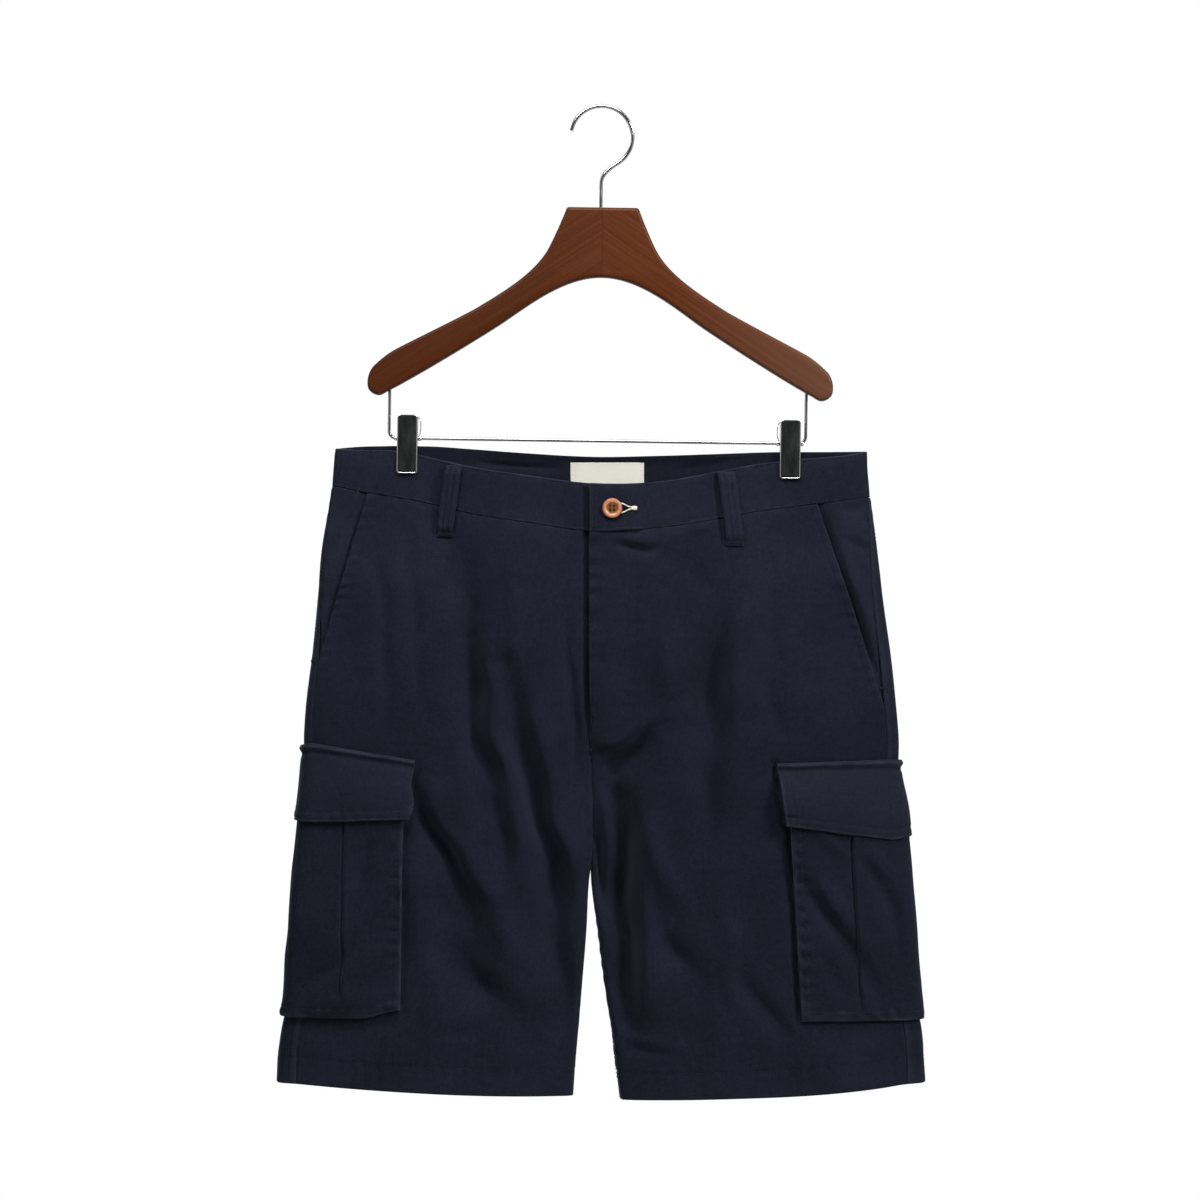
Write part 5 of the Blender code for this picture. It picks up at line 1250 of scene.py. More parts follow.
def front_bounds(side):
    """The front panel's two edges at every level: fly and inseam, then slant and side seam."""
    half, drop = HALVES[side], HALVES[side].drops
    half_gap = SEAM_GAP / 2
    reach = FLY_OVERLAP if side == RIGHT else FLY_UNDERLAP
    lapped = half_gap - (reach + half_gap) * runs_out(drop, FLY_LAP_END)
    start = np.where(drop > CROTCH_DROP, half.inseam(drop), lapped)
    return start, np.minimum(half.side_seam(drop), half.slant(drop)) - half_gap


def back_bounds(side):
    half, drop = HALVES[side], HALVES[side].drops
    wrapped = half.length(drop) + half.inseam(drop) - SEAM_GAP
    end = np.where(drop > CROTCH_DROP, wrapped, half.length(drop) - SEAM_GAP / 2)
    return half.side_seam(drop) + SEAM_GAP / 2, end


def panel_grid(side, face, bounds, columns):
    """Where a panel's columns and rows lie on the cloth, and how far each is above the hem."""
    half = HALVES[side]
    start, end = bounds

    def along_at(drop):
        return laid(np.interp(drop, half.drops, start), np.interp(drop, half.drops, end), columns)

    count = len(columns[0])
    seam = np.full(count, SEAM_GUESS)
    for _ in range(GUESSES):
        along = along_at(seam)
        x = half.xy(along, seam)[0]
        seam = np.where(along > half.fold(seam), waist("back_seam", x), waist("front_seam", x))
    seam = seam + SEAM_GAP
    foot = half.hem_drop(along_at(np.full(count, HEM_SIDE_DROP)), face)
    share, past = spaced(EDGE, near_edge(HEM_STITCH), PANEL_LENGTH)
    drop = seam + (foot - seam) * share[:, None] + past[:, None]
    return along_at(drop), drop, seam, foot


def hem_wall(above_hem):
    """The wall's thickness, with what the turned-up hem adds to it."""
    turned_up = 1 - ease((above_hem - HEM + 1.0) / 2.0)
    return CLOTH + HEM_EXTRA * turned_up


def fly_lift(along, drop):
    return (CLOTH + LAY_GAP) * runs_out(drop, FLY_LIFT_END) * runs_out(along, FLY_LIE_DOWN)


def pocket_dip(side, x, drop):
    drops, edge = np.array(POCKET_EDGE[side]).T
    beside = side * (np.interp(drop, drops, edge) - x)
    begins = ease((drop - drops[0]) / POCKET_DIP_FADE)
    ends = runs_out(drop, (drops[-1] - POCKET_DIP_FADE, drops[-1] + 2.0))
    return POCKET_DIP[side] * bell(beside - POCKET_DIP_AT, POCKET_DIP_BREADTH) * begins * ends


def front_panel(side):
    half, name = HALVES[side], "front_" + SIDE_NAME[side]
    row = SLANT[side]
    columns = spaced(near_edge(FLY_EDGE_STITCH), near_edge(SLANT_STITCH), PANEL_BREADTH)
    bounds = front_bounds(side)
    along, drop, seam, foot = panel_grid(side, "front", bounds, columns)
    start, end = (np.interp(drop, half.drops, edge) for edge in bounds)
    from_start, from_end = along - start, end - along
    above_hem, below_band = foot - drop, drop - seam
    lift = fly_lift(along, drop) if side == RIGHT else 0.0
    gape, gape_drop, gape_reach = SLANT_GAPE[side]
    lift = lift + gape * bell(from_end, SLANT_GAPE_BREADTH) * bell(drop - gape_drop, gape_reach)
    slanted = runs_out(drop, (row["end_drop"] - 4, row["end_drop"] + 6))
    seed = SEEDS["front"][side]
    relief = groove(from_end, SLANT_STITCH) * slanted
    relief += puckers(from_end, drop, 9.0, 0.5, seed, 10.0, 0.3) * slanted
    relief += puckers(from_end, drop, 6.0, 0.15, seed + 2) * (1 - slanted)
    relief += puckers(above_hem - HEM_STITCH, along, 6.0, 0.22, seed + 4)
    relief += puckers(below_band, along, 5.0, 0.4, seed + 6) * ease(below_band / SEAM_JOIN)
    relief *= 1 - (1 - ease(from_end / SEAM_JOIN)) * (1 - slanted)
    relief *= 1 - (1 - ease(from_start / SEAM_JOIN)) * (drop > CROTCH_DROP)
    relief += groove(above_hem, HEM_STITCH) - SEAM_DIP * bell(below_band, SEAM_DIP_BREADTH)
    x = half.xy(along, drop)[0]
    relief -= pocket_dip(side, x, drop) + loop_dip(x, drop)
    if side == LEFT:
        from_edge = np.maximum(along - FLY_OVERLAP, 0)
        hollow = bell(from_edge, FLY_HOLLOW_BREADTH) * runs_out(drop, FLY_HOLLOW_END)
        relief -= FLY_HOLLOW * hollow
    if side == RIGHT:
        gathers = puckers(from_start - 3.0, drop, 9.0, 0.95, seed + 8, 15.0, 0.55)
        relief += gathers * runs_out(drop, FLY_GATHERS_END)
        curve = curve_points(FLY_STITCH, 60)
        relief += ridge(x, drop, curve, 1.0, 1.0, -0.35, 0.1)
        relief += ridge(x, drop, curve, 5.0, 5.0, 0.3, 0.1) * np.sin(drop / 1.6 + noise(x, drop, 30, 5))
    felled = runs_out(from_start, FELL_END) * (1 - runs_out(drop, FELL_TOP))
    relief += puckers(from_start, drop, 6.0, 0.35, seed + 10) * felled * ease(from_start / SEAM_JOIN)
    edges = np.exp(-from_end / 1.5) * slanted + np.exp(-above_hem / 1.8) * 0.9
    wear = 0.3 * edges + 0.12 * np.exp(-from_start / 1.6)
    made = cloth(name, half, along, drop, relief + lift, hem_wall(above_hem), wear)

    levels = np.arange(row["top_drop"] + 6, row["end_drop"] - 3, 2.0)
    edge = np.interp(levels, half.drops, bounds[1])
    sew_on("stitches_slant_" + SIDE_NAME[side], half, edge - SLANT_STITCH, levels, 0.1)
    hem_stitches(side, "front", bounds)
    return made


def hem_stitches(side, face, bounds):
    half = HALVES[side]
    share = np.linspace(0, 1, 120)
    ends = [np.interp(HEM_SIDE_DROP, half.drops, edge) for edge in bounds]
    along = mix(ends[0] + 1.0, ends[1] - 1.0, share)
    drop = half.hem_drop(along, face) - HEM_STITCH
    ends = [np.interp(drop, half.drops, edge) for edge in bounds]
    along = mix(ends[0] + 1.0, ends[1] - 1.0, share)
    sew_on("stitches_hem_" + SIDE_NAME[side], half, along, drop, 0.0)


def back_panel(side):
    half, name = HALVES[side], "back_" + SIDE_NAME[side]
    columns = spaced(near_edge(FELL_STITCH), near_edge(FELL_STITCH), PANEL_BREADTH + 20)
    bounds = back_bounds(side)
    along, drop, seam, foot = panel_grid(side, "back", bounds, columns)
    start, end = (np.interp(drop, half.drops, edge) for edge in bounds)
    from_start, from_end = along - start, end - along
    above_hem, below_band = foot - drop, drop - seam
    seed = SEEDS["back"][side]
    relief = groove(from_start, FELL_STITCH) + groove(from_end, FELL_STITCH)
    relief += 0.3 * bell(from_start - 4.0, 3.0)
    relief += puckers(from_start, drop, 8.0, 0.15, seed) + puckers(from_end, drop, 8.0, 0.35, seed + 2)
    relief += puckers(above_hem - HEM_STITCH, along, 6.0, 0.22, seed + 4)
    relief += puckers(below_band, along, 5.0, 0.4, seed + 6) * ease(below_band / SEAM_JOIN)
    relief *= ease(from_start / SEAM_JOIN) * ease(from_end / SEAM_JOIN)
    relief += groove(above_hem, HEM_STITCH) - SEAM_DIP * bell(below_band, SEAM_DIP_BREADTH)
    wear = 0.4 * np.exp(-np.abs(from_start - 2.0) / 1.5) + 0.9 * np.exp(-above_hem / 1.8)
    made = cloth(name, half, along, drop, relief, hem_wall(above_hem), wear)
    for edge, sign, top in ((bounds[0], 1, 338.0), (bounds[1], -1, 345.0)):
        levels = np.arange(top, HEM_SIDE_DROP - 2, 2.0)
        places = np.interp(levels, half.drops, edge) + sign * FELL_STITCH
        sew_on("stitches_seams_" + SIDE_NAME[side], half, places, levels, 0.05)
    hem_stitches(side, "back", bounds)
    return made


def hip_facing(side):
    """The piece that shows behind the slanted pocket edge, with the pocket bag's pull in it."""
    half, row, name = HALVES[side], SLANT[side], "hip_facing_" + SIDE_NAME[side]
    columns, rows = spaced(EDGE, EDGE, 46.0), spaced(EDGE, EDGE, 170.0)
    under = CLOTH + LAY_GAP

    def along_at(drop, share, past):
        edge, seam = half.slant(drop), half.side_seam(drop) - SEAM_GAP / 2
        start = np.minimum(edge, seam) - FACING_UNDERLAP[side]
        tight = np.clip((seam - start) / 40.0, 0, 1)
        return edge, seam, start + (seam - start) * share + past * tight

    top = np.full(len(columns[0]), row["top_drop"])
    for _ in range(GUESSES):
        top = waist("front_seam", half.xy(along_at(top, *columns)[2], top)[0])
    top = top + SEAM_GAP
    foot = row["end_drop"] + FACING_BELOW
    drop = top + (foot - top) * rows[0][:, None] + rows[1][:, None]
    edge, seam, along = along_at(drop, *columns)
    shown = np.clip((seam - edge) / FACING_SHOWN, 0, 1)
    rise = ease((along - edge - FACING_SHADE[side]) / FACING_FLUSH) * shown
    x = half.xy(along, drop)[0]
    folds = creases(FACING_CREASES[side], x, drop)
    folds *= ease((along - edge) / 5.0) * ease((seam - along) / 5.0)
    deep, broad, *ends = FACING_SINK[side]
    window = ease((drop - ends[0]) / (ends[1] - ends[0])) * runs_out(drop, ends[2:])
    sink = deep * (1 - ease((along - edge - 0.4) / broad)) * window
    relief = -under * (1 - rise) - sink + folds + puckers(seam - along, drop, 6.0, 0.3, 51 + side) * rise
    return cloth(name, half, along, drop, relief, CLOTH, 0.12)


# ---------------------------------------------------------------- waistband


def close_at_centre(band, side):
    """Brings the waistband's end at the centre back up to the other half's."""
    for point in band.data.vertices:
        across = side * (point.co.x / MM - CENTRE_X)
        if point.co.y > 0 and -1.0 < across <= 0.4:
            point.co.x = (CENTRE_X - side * 0.05) * MM


def loop_dip(x, drop):
    """The cloth pulled in along the left side of each front belt loop."""
    dip = np.zeros_like(x)
    for _, face, top_x, foot_x, length in LOOPS:
        if face == "front":
            top = waist("front_top", np.array([top_x]))[0]
            down = (drop - top) / length
            edge = mix(top_x, foot_x, np.clip(down, 0, 1)) - LOOP_BREADTH / 2 - 1.5
            dip += bell(x - edge, 1.6) * runs_out(down, (0.9, 1.05)) * ease(down / 0.15)
    return LOOP_DIP * dip


def waistband(side):
    half, name = HALVES[side], "waistband_" + SIDE_NAME[side]
    columns = spaced(near_edge(BAND_STITCH), EDGE, 470.0)
    rows = spaced(near_edge(BAND_STITCH), near_edge(BAND_STITCH), 40.0)
    start = -BAND_OVERLAP if side == RIGHT else -BAND_UNDERLAP
    drop = np.full((len(rows[0]), len(columns[0])), BAND_GUESS)
    for _ in range(GUESSES + 1):
        fold, end = half.fold(drop), half.length(drop)
        along = laid(start, end, columns)
        x = half.xy(along, drop)[0]
        behind = along > fold
        top = np.where(behind, waist("back_top", x), waist("front_top", x))
        foot = np.where(behind, waist("back_seam", x), waist("front_seam", x))
        drop = top + (foot - top) * rows[0][:, None] + rows[1][:, None]
    lift = (BAND + BAND_GAP) * runs_out(along, BAND_LIE_DOWN) if side == RIGHT else 0.0
    from_top, from_foot, from_end = drop - top, foot - drop, along - start
    seed = 61 if side == LEFT else 71
    relief = groove(from_top, BAND_STITCH) + groove(from_foot, BAND_STITCH)
    relief += puckers(from_foot, along, 7.0, 0.28, seed) + puckers(from_top, along, 5.0, 0.15, seed + 2)
    relief += 0.35 * noise(x, drop, 38.0, seed + 3) + 0.2 * noise(x, drop, 14.0, seed + 4)
    if side == RIGHT:
        relief += groove(from_end, BAND_STITCH)
    else:
        relief -= BAND_DIP * np.exp(-((np.maximum(along - BAND_OVERLAP, 0) / 4.8) ** 2)) * (along > -6.0)
    relief -= loop_dip(x, drop) * ~behind
    relief += creases(INSIDE_CREASES, x, drop) * behind
    patchy = np.clip(0.35 + 1.1 * noise(along, drop, 11.0, seed + 5), 0, 1)
    wear = 0.9 * patchy * np.exp(-from_top / 1.6) + 0.3 * np.exp(-from_foot / 1.6)
    wear += 0.5 * np.exp(-from_end / 1.4)
    made = cloth(name, half, along, drop, relief + lift, BAND, wear)
    close_at_centre(made, side)

    drops = {"top": [], "foot": []}
    run = np.linspace(start + 2.0, half.length(300.0) - 1.5, 240)
    for key, edge, sign in (("top", "top", 1), ("foot", "seam", -1)):
        level_now = np.full(len(run), BAND_GUESS)
        for _ in range(GUESSES + 1):
            x = half.xy(run, level_now)[0]
            behind = run > half.fold(level_now)
            line = np.where(behind, waist("back_" + edge, x), waist("front_" + edge, x))
            level_now = line + sign * BAND_STITCH
        drops[key] = level_now
        raised = (BAND + BAND_GAP) * runs_out(run, BAND_LIE_DOWN) if side == RIGHT else 0.0
        sew_on("stitches_band_" + SIDE_NAME[side], half, run, level_now, raised)
        inward = half.point(run, level_now, raised - BAND)
        sew("stitches_band_" + SIDE_NAME[side], inward, -half.normal(run, level_now))
    if side == RIGHT:
        levels = np.linspace(drops["top"][0], drops["foot"][0], 12)
        end_row = np.full(12, start + BAND_STITCH)
        sew_on("stitches_band_right", half, end_row, levels, BAND + BAND_GAP)
    return made


def across_centre(face, x, drop, out):
    """Points of the front or back at those places, on whichever half holds each."""
    x, drop, out = np.broadcast_arrays(np.asarray(x, float), np.asarray(drop, float), out)
    found, outward = np.empty((*x.shape, 3)), np.empty((*x.shape, 3))
    for side in (LEFT, RIGHT):
        here = (x > CENTRE_X) == (side == RIGHT)
        if here.any():
            half = HALVES[side]
            along = half.along_at(x[here], drop[here], face)
            found[here] = half.point(along, drop[here], out[here])
            outward[here] = half.normal(along, drop[here])
    return found, outward


def belt_loop(number, face, top_x, foot_x, length):
    """A folded strap with a ridge down each side and one in the middle, tacked down at its ends."""
    name = f"belt_loop_{number}"
    columns = stations(EDGE[:4], EDGE[:4], 13)
    rows = stations(EDGE[:4], EDGE[:4], 34)
    breadth = laid(-LOOP_BREADTH / 2, LOOP_BREADTH / 2, columns)
    share = laid(0.0, length, rows)[:, None] / length
    start = waist(face + "_top", top_x) + LOOP_BELOW_EDGE
    x = mix(top_x, foot_x, share) + breadth
    drop = start + share * length + 0 * breadth
    free = ease(np.minimum(share, 1 - share) / LOOP_END)
    ribs = sum(bell(breadth - at, 1.15) for at in LOOP_RIBS) - 0.5
    ribs = LOOP_RIB * ribs * ease(np.minimum(share, 1 - share) / 0.06)
    uneven = 0.3 * noise(x, drop, 13.0, 80 + number) * free
    out = LAY_GAP + LOOP_WALL + LOOP_SLACK * free + ribs + uneven
    points, outward = across_centre(face, x, drop, out)
    wear = np.clip(0.55 * ribs + 0.5 * np.exp(-np.minimum(share, 1 - share) * length / 2.0), 0, 1)
    place = np.stack([drop * MM, x * MM, wear + 0 * x], axis=-1)
    made = walled(name, points, outward, LOOP_WALL, place, place, TWILL)
    for line in LOOP_STITCHES:
        at = np.linspace(0.04, 0.96, 24)
        lift = LAY_GAP + LOOP_WALL + LOOP_SLACK * ease(np.minimum(at, 1 - at) / LOOP_END)
        spots, away = across_centre(face, mix(top_x, foot_x, at) + line, start + at * length, lift - 0.1)
        sew("stitches_loops", spots, away)
    for at in (LOOP_TACK, 1 - LOOP_TACK):
        here = mix(top_x, foot_x, at) + np.linspace(-LOOP_BREADTH / 2 + 1, LOOP_BREADTH / 2 - 1, 9)
        lift = LAY_GAP + LOOP_WALL + LOOP_SLACK * ease(LOOP_TACK / LOOP_END) + 0.25
        spots, away = across_centre(face, here, np.full(9, start + at * length), lift)
        sew("stitches_loops", spots, away, across=True)
    return made


def label():
    """A blank woven patch on the inside of the back waistband, sewn at its ends."""
    columns, rows = stations(EDGE[:4], EDGE[:4], 40), stations(EDGE[:4], EDGE[:4], 20)
    x = laid(LABEL_X[0], LABEL_X[1], columns)[None, :]
    drop = laid(LABEL_DROP[0], LABEL_DROP[1], rows)[:, None]
    x, drop = np.broadcast_arrays(x, drop)
    inset = np.minimum(x - LABEL_X[0], LABEL_X[1] - x)
    puff = 0.45 * ease(inset / 9.0) + 0.3 * noise(x, drop, 17.0, 91)
    puff -= 0.35 * bell(inset - LABEL_STITCH, 0.9)
    points, outward = across_centre("back", x, drop, -BAND - LABEL_GAP - np.maximum(puff, -0.25))
    place = np.stack([x * MM, drop * MM, 0 * x], axis=-1)
    made = walled("label", points, -outward, LABEL_WALL, place, place, RIBBON)
    for at in (LABEL_X[0] + LABEL_STITCH, LABEL_X[1] - LABEL_STITCH):
        levels = np.linspace(LABEL_DROP[0] + 1, LABEL_DROP[1] - 1, 12)
        spots, away = across_centre("back", np.full(12, at), levels, -BAND - LABEL_GAP)
        sew("stitches_label", spots, -away)
    return made


# ---------------------------------------------------------------- cargo pockets and flaps


def landmark_tables(side, x_at):
    """At every level, along the cloth: a front edge whose x is given, the side fold, and the back edge."""
    half = HALVES[side]
    drops = np.arange(*POCKET_LEVELS)
    front = half.along_at(x_at(drops), drops)
    return drops, front, 2 * half.side_seam(drops) - front


def pocket_stand(side, along, drop):
    """How far a cargo pocket's face stands off the leg."""
    half, row = HALVES[side], POCKET[side]
    down = 1 - runs_out(drop, POCKET_SLACK)
    fold = half.fold(drop)
    edge = np.where(along < fold, mix(*row["front"], down), mix(*row["back"], down))
    return mix(edge, mix(*row["side"], down), bell(along - fold, SIDE_REACH))


def around(line, steps):
    return tuple(line + step for step in steps)


def wear_and_edge_shade(edges, stitches, along, drop, seed):
    """Wear in patches along a piece's edges, and in specks along its rows of stitches."""
    patches = WEAR_MEAN + WEAR_VARIES * noise(along, drop, WEAR_SIZE, seed + 5)
    specks = np.maximum(noise(along, drop, SPECK_SIZE, seed + 6), 0)
    return edges * patches + SPECK_WEAR * stitches * specks


def cargo_pocket(side):
    """A pouch with a gusset, a box pleat, and stitching that puckers its edges."""
    half, row, name = HALVES[side], POCKET[side], "cargo_pocket_" + SIDE_NAME[side]
    past, risen = (np.array(values) for values in zip(*GUSSET))
    stitched = around(POCKET_STITCH, STITCH_STEPS)
    steps_in = (*past, *stitched, *np.arange(*POCKET_STEPS), *around(PLEAT_AT, PLEAT_STEPS))
    shares_in = np.concatenate([risen, np.ones(len(steps_in) - len(risen))])
    columns = stations(steps_in, steps_in, 40)
    count = len(columns[0])
    stand_across = np.ones(count)
    stand_across[: len(shares_in)] = shares_in
    stand_across[-len(shares_in):] = shares_in[::-1]
    steps_up = (*past, *stitched)
    rows = stations(EDGE, steps_up, 66)
    rise_down = np.ones(len(rows[0]))
    rise_down[-len(risen):] = risen[::-1]

    def front_x(drop):
        share = (drop - POCKET_SLACK[0]) / (row["bottom"] - POCKET_SLACK[0])
        return mix(row["top_x"], row["bottom_x"], share)

    drops, front, back = landmark_tables(side, front_x)
    level_at = laid(row["mouth"], row["bottom"], rows)[:, None]
    up = row["bottom"] - level_at
    breadth = np.interp(level_at, drops, back) - np.interp(level_at, drops, front)
    from_front = breadth * columns[0] + columns[1]
    near = ease(1 - from_front / CORNER_REACH[0]) * ease(1 - up / CORNER_REACH[1])
    drop = level_at - row["corner_lift"] * near
    along = np.interp(drop, drops, front) + from_front
    from_back = breadth - from_front
    # the box pleat: its two folds face each other at a set distance from the middle of the pouch
    inner_edge = np.minimum(from_front, from_back)
    pleat = ease((inner_edge - PLEAT_AT) / PLEAT_SHARP) * ease((up - 1.0) / PLEAT_FOOT)
    tuck = bell(inner_edge - PLEAT_AT, PLEAT_TUCK_BREADTH) * ease((up - PLEAT_TUCK_UP) / 12.0)
    lip = bell(inner_edge - PLEAT_AT - side * PLEAT_LIP_AT, PLEAT_LIP_BREADTH)
    lip *= ease((up - PLEAT_LIP_UP) / 20.0)
    x = half.xy(along, drop)[0]
    seed = SEEDS["pocket"][side]
    share = stand_across[None, :] * rise_down[:, None]
    relief = PLEAT_STEP * pleat * (side == RIGHT) - PLEAT_TUCK * tuck + PLEAT_LIP * lip
    relief += groove(inner_edge, POCKET_STITCH) + groove(up, POCKET_STITCH)
    relief += puckers(inner_edge - 3.0, drop, 9.0, 0.75, seed) + puckers(up - 3.0, along, 8.0, 0.5, seed + 2)
    relief += 0.5 * noise(x, drop, 34.0, seed + 3)
    on_front = along < half.fold(drop) - 4.0
    behind = 0.7 * noise(along, drop, 26.0, seed + 4)
    relief += np.where(on_front, creases(POCKET_CREASES[side], x, drop), behind)
    edge_fade = ease(np.minimum(inner_edge, up) / 4.0)
    out = mix(POCKET_GAP + POCKET_WALL, pocket_stand(side, along, drop), share)
    out = np.where(share == 0, POCKET_GAP + 0.1, out) + relief * edge_fade
    edges = sum(0.8 * np.exp(-np.abs(inset - 0.4) / EDGE_WEAR_BREADTH) for inset in (inner_edge, up))
    rubbed = bell(up - POCKET_STITCH, 1.4) + 0.6 * bell(inner_edge - POCKET_STITCH, 1.4)
    wear = wear_and_edge_shade(edges, rubbed, along, drop, seed)
    made = cloth(name, half, along, drop, out, POCKET_WALL, wear)

    stitches = "stitches_pocket_" + SIDE_NAME[side]
    levels = np.arange(row["mouth"] + 4, row["bottom"] - 9, 2.0)
    bottom = row["bottom"]
    for mark, sign in ((front, 1), (back, -1)):
        lifted = row["corner_lift"] * ease(1 - POCKET_STITCH / CORNER_REACH[0]) if sign == 1 else 0.0
        heights = ease(1 - (bottom - levels) / CORNER_REACH[1]) * lifted
        at = np.interp(levels - heights, drops, mark) + sign * POCKET_STITCH
        stand = pocket_stand(side, at, levels - heights)
        sew_on(stitches, half, at, levels - heights, stand + 0.05)
    run = np.linspace(POCKET_STITCH, np.interp(bottom, drops, back - front) - POCKET_STITCH, 60)
    curl = row["corner_lift"] * ease(1 - run / CORNER_REACH[0]) * ease(1 - POCKET_STITCH / CORNER_REACH[1])
    levels = bottom - POCKET_STITCH - curl
    at = np.interp(levels, drops, front) + run
    pleated = PLEAT_STEP * (side == RIGHT) * ease((np.minimum(run, run[::-1]) - PLEAT_AT) / PLEAT_SHARP)
    sew_on(stitches, half, at, levels, pocket_stand(side, at, levels) + pleated + 0.05)
    return made


def cargo_flap(side):
    """A double-layer flap: a stitched ridge at its top, then out over the pocket, topstitched round."""
    half, row, name = HALVES[side], FLAP[side], "cargo_flap_" + SIDE_NAME[side]
    falls, overs = np.array(FLAP_FALL).T

    def front_x(drop):
        share = (drop - row["front_top"]) / (row["front_foot"] - row["front_top"])
        return mix(row["top_x"], row["foot_x"], np.clip(share, 0, 1.2))

    drops, front, back = landmark_tables(side, front_x)
    edge_lines = near_edge(*FLAP_STITCH)
    columns = stations(edge_lines, edge_lines, 58)
    rows = stations(FLAP_TOP_ROWS, edge_lines, 11)
    halfway = (row["side_top"] + row["side_foot"]) / 2
    middle_ends = np.interp(halfway, drops, front), np.interp(halfway, drops, back)
    across = laid(*middle_ends, columns)
    seam = half.side_seam(halfway)
    middle = 1 - np.abs(across - seam) / (seam - across.min())
    top = mix(row["front_top"], row["side_top"], middle)
    foot = mix(row["front_foot"], row["side_foot"], middle)
    drop = top + (foot - top) * rows[0][:, None] + rows[1][:, None]
    starts, ends = np.interp(drop, drops, front), np.interp(drop, drops, back)
    along = starts + (ends - starts) * columns[0] + columns[1]
    fall = (drop - top) / (foot - top) * FLAP_DEPTH
    clear = pocket_stand(side, along, drop) + PLEAT_STEP + FLAP_CLEAR
    seed = SEEDS["flap"][side]
    from_edge, from_foot = np.minimum(along - starts, ends - along), foot - drop
    x = half.xy(along, drop)[0]
    relief = sum(groove(from_edge, line) + groove(from_foot, line) for line in FLAP_STITCH)
    between = (FLAP_STITCH[0] + FLAP_STITCH[1]) / 2
    for distance in (from_edge, from_foot):
        relief += FLAP_ROLL * bell(distance - between, FLAP_ROLL_BREADTH)
    relief += puckers(from_edge - 6.0, drop, 6.0, 0.35, seed) * ease(fall / 12.0)
    relief += puckers(from_foot - 6.0, along, 6.0, 0.3, seed + 2)
    relief += 0.45 * noise(x, drop, 30.0, seed + 3) * ease((fall - 8.0) / 10.0)
    ridge_out = FLAP_RIDGE * bell(fall - FLAP_RIDGE_AT, FLAP_RIDGE_BREADTH)
    ridge_out -= FLAP_HOLLOW * bell(fall - FLAP_HOLLOW_AT, FLAP_HOLLOW_BREADTH)
    over = smooth_curve(fall, falls, overs)
    out = mix(POCKET_GAP, clear, over) + ridge_out + FLAP_WALL + relief
    edges = sum(np.exp(-distance / EDGE_WEAR_BREADTH) for distance in (from_edge, from_foot))
    edges = 0.9 * (edges + bell(fall - 2.2, 1.5))
    rubbed = sum(bell(distance - FLAP_STITCH[0], 1.2) for distance in (from_foot, from_edge))
    wear = wear_and_edge_shade(edges, rubbed, along, drop, seed) + FLAP_WEAR
    made = cloth(name, half, along, drop, out, FLAP_WALL, wear)

    name = "stitches_flap_" + SIDE_NAME[side]
    for line in FLAP_STITCH:
        mark = edge_lines.index(line)
        low, inside = slice(12, -mark), slice(mark, -mark)
        sew_on(name, half, along[-1 - mark, inside], drop[-1 - mark, inside], out[-1 - mark, inside])
        for pick in (mark, -1 - mark):
            sew_on(name, half, along[low, pick], drop[low, pick], out[low, pick])
    pick = int(np.argmin(np.abs(fall[:, 0] - FLAP_TOP_STITCH)))
    sew_on(name, half, along[pick, 3:-3], drop[pick, 3:-3], out[pick, 3:-3])
    return made


# ---------------------------------------------------------------- fly stitching, tacks, button


def fly_stitches():
    """The curved row that holds the fly's shield, the row at its edge, and the tack at its foot."""
    across, down = curve_points(FLY_STITCH, 90)
    lift = fly_lift(HALVES[RIGHT].along_at(across, down), down)
    points, outward = across_centre("front", across, down, lift + 0.05)
    sew("stitches_fly", points, outward)
    levels = np.arange(362.0, 520.0, 2.0)
    start, _ = front_bounds(RIGHT)
    at = np.interp(levels, HALVES[RIGHT].drops, start) + FLY_EDGE_STITCH
    sew_on("stitches_fly", HALVES[RIGHT], at, levels, fly_lift(at, levels) + 0.1)
    (x0, drop0), (x1, drop1) = FLY_TACK
    share = np.linspace(0, 1, 8)
    points, outward = across_centre("front", mix(x0, x1, share), mix(drop0, drop1, share), 2.6)
    sew("stitches_fly", points, outward, across=True)
    for side, (x, drop) in SLANT_TACKS.items():
        across = x + np.linspace(-4, 4, 8)
        points, outward = across_centre("front", across, np.full(8, drop), np.full(8, 0.35))
        sew("stitches_slant_" + SIDE_NAME[side], points, outward, across=True)


def lofted(name, rings, capped=False):
    """A mesh through rings of points in millimetres, each closed round."""
    mesh = bmesh.new()
    grid = [[mesh.verts.new([way * MM for way in spot]) for spot in ring] for ring in rings]
    for ring, after in zip(grid, grid[1:]):
        for i in range(len(ring)):
            mesh.faces.new((ring[i - 1], ring[i], after[i], after[i - 1]))
    if capped:
        mesh.faces.new(grid[0])
        mesh.faces.new(grid[-1])
    bmesh.ops.remove_doubles(mesh, verts=mesh.verts, dist=0.000001)
    bmesh.ops.recalc_face_normals(mesh, faces=mesh.faces)
    data = bpy.data.meshes.new(name)
    mesh.to_mesh(data)
    mesh.free()
    return data


def turned(name, profile, finish, slot, steps=64):
    """A turned piece from (radius, height) points in millimetres, about its own Z axis."""
    turns = [2 * math.pi * i / steps for i in range(steps)]
    rings = [[(r * math.cos(a), r * math.sin(a), height) for a in turns] for r, height in profile]
    data = lofted(name, rings)
    data.shade_smooth()
    return new_object(name, data, finish)


def facing_matrix(spot, outward):
    """A place in millimetres whose own Z axis points outward."""
    turn = Vector(outward).to_track_quat("Z", "Y").to_matrix().to_4x4()
    return Matrix.Translation(Vector(spot) * MM) @ turn


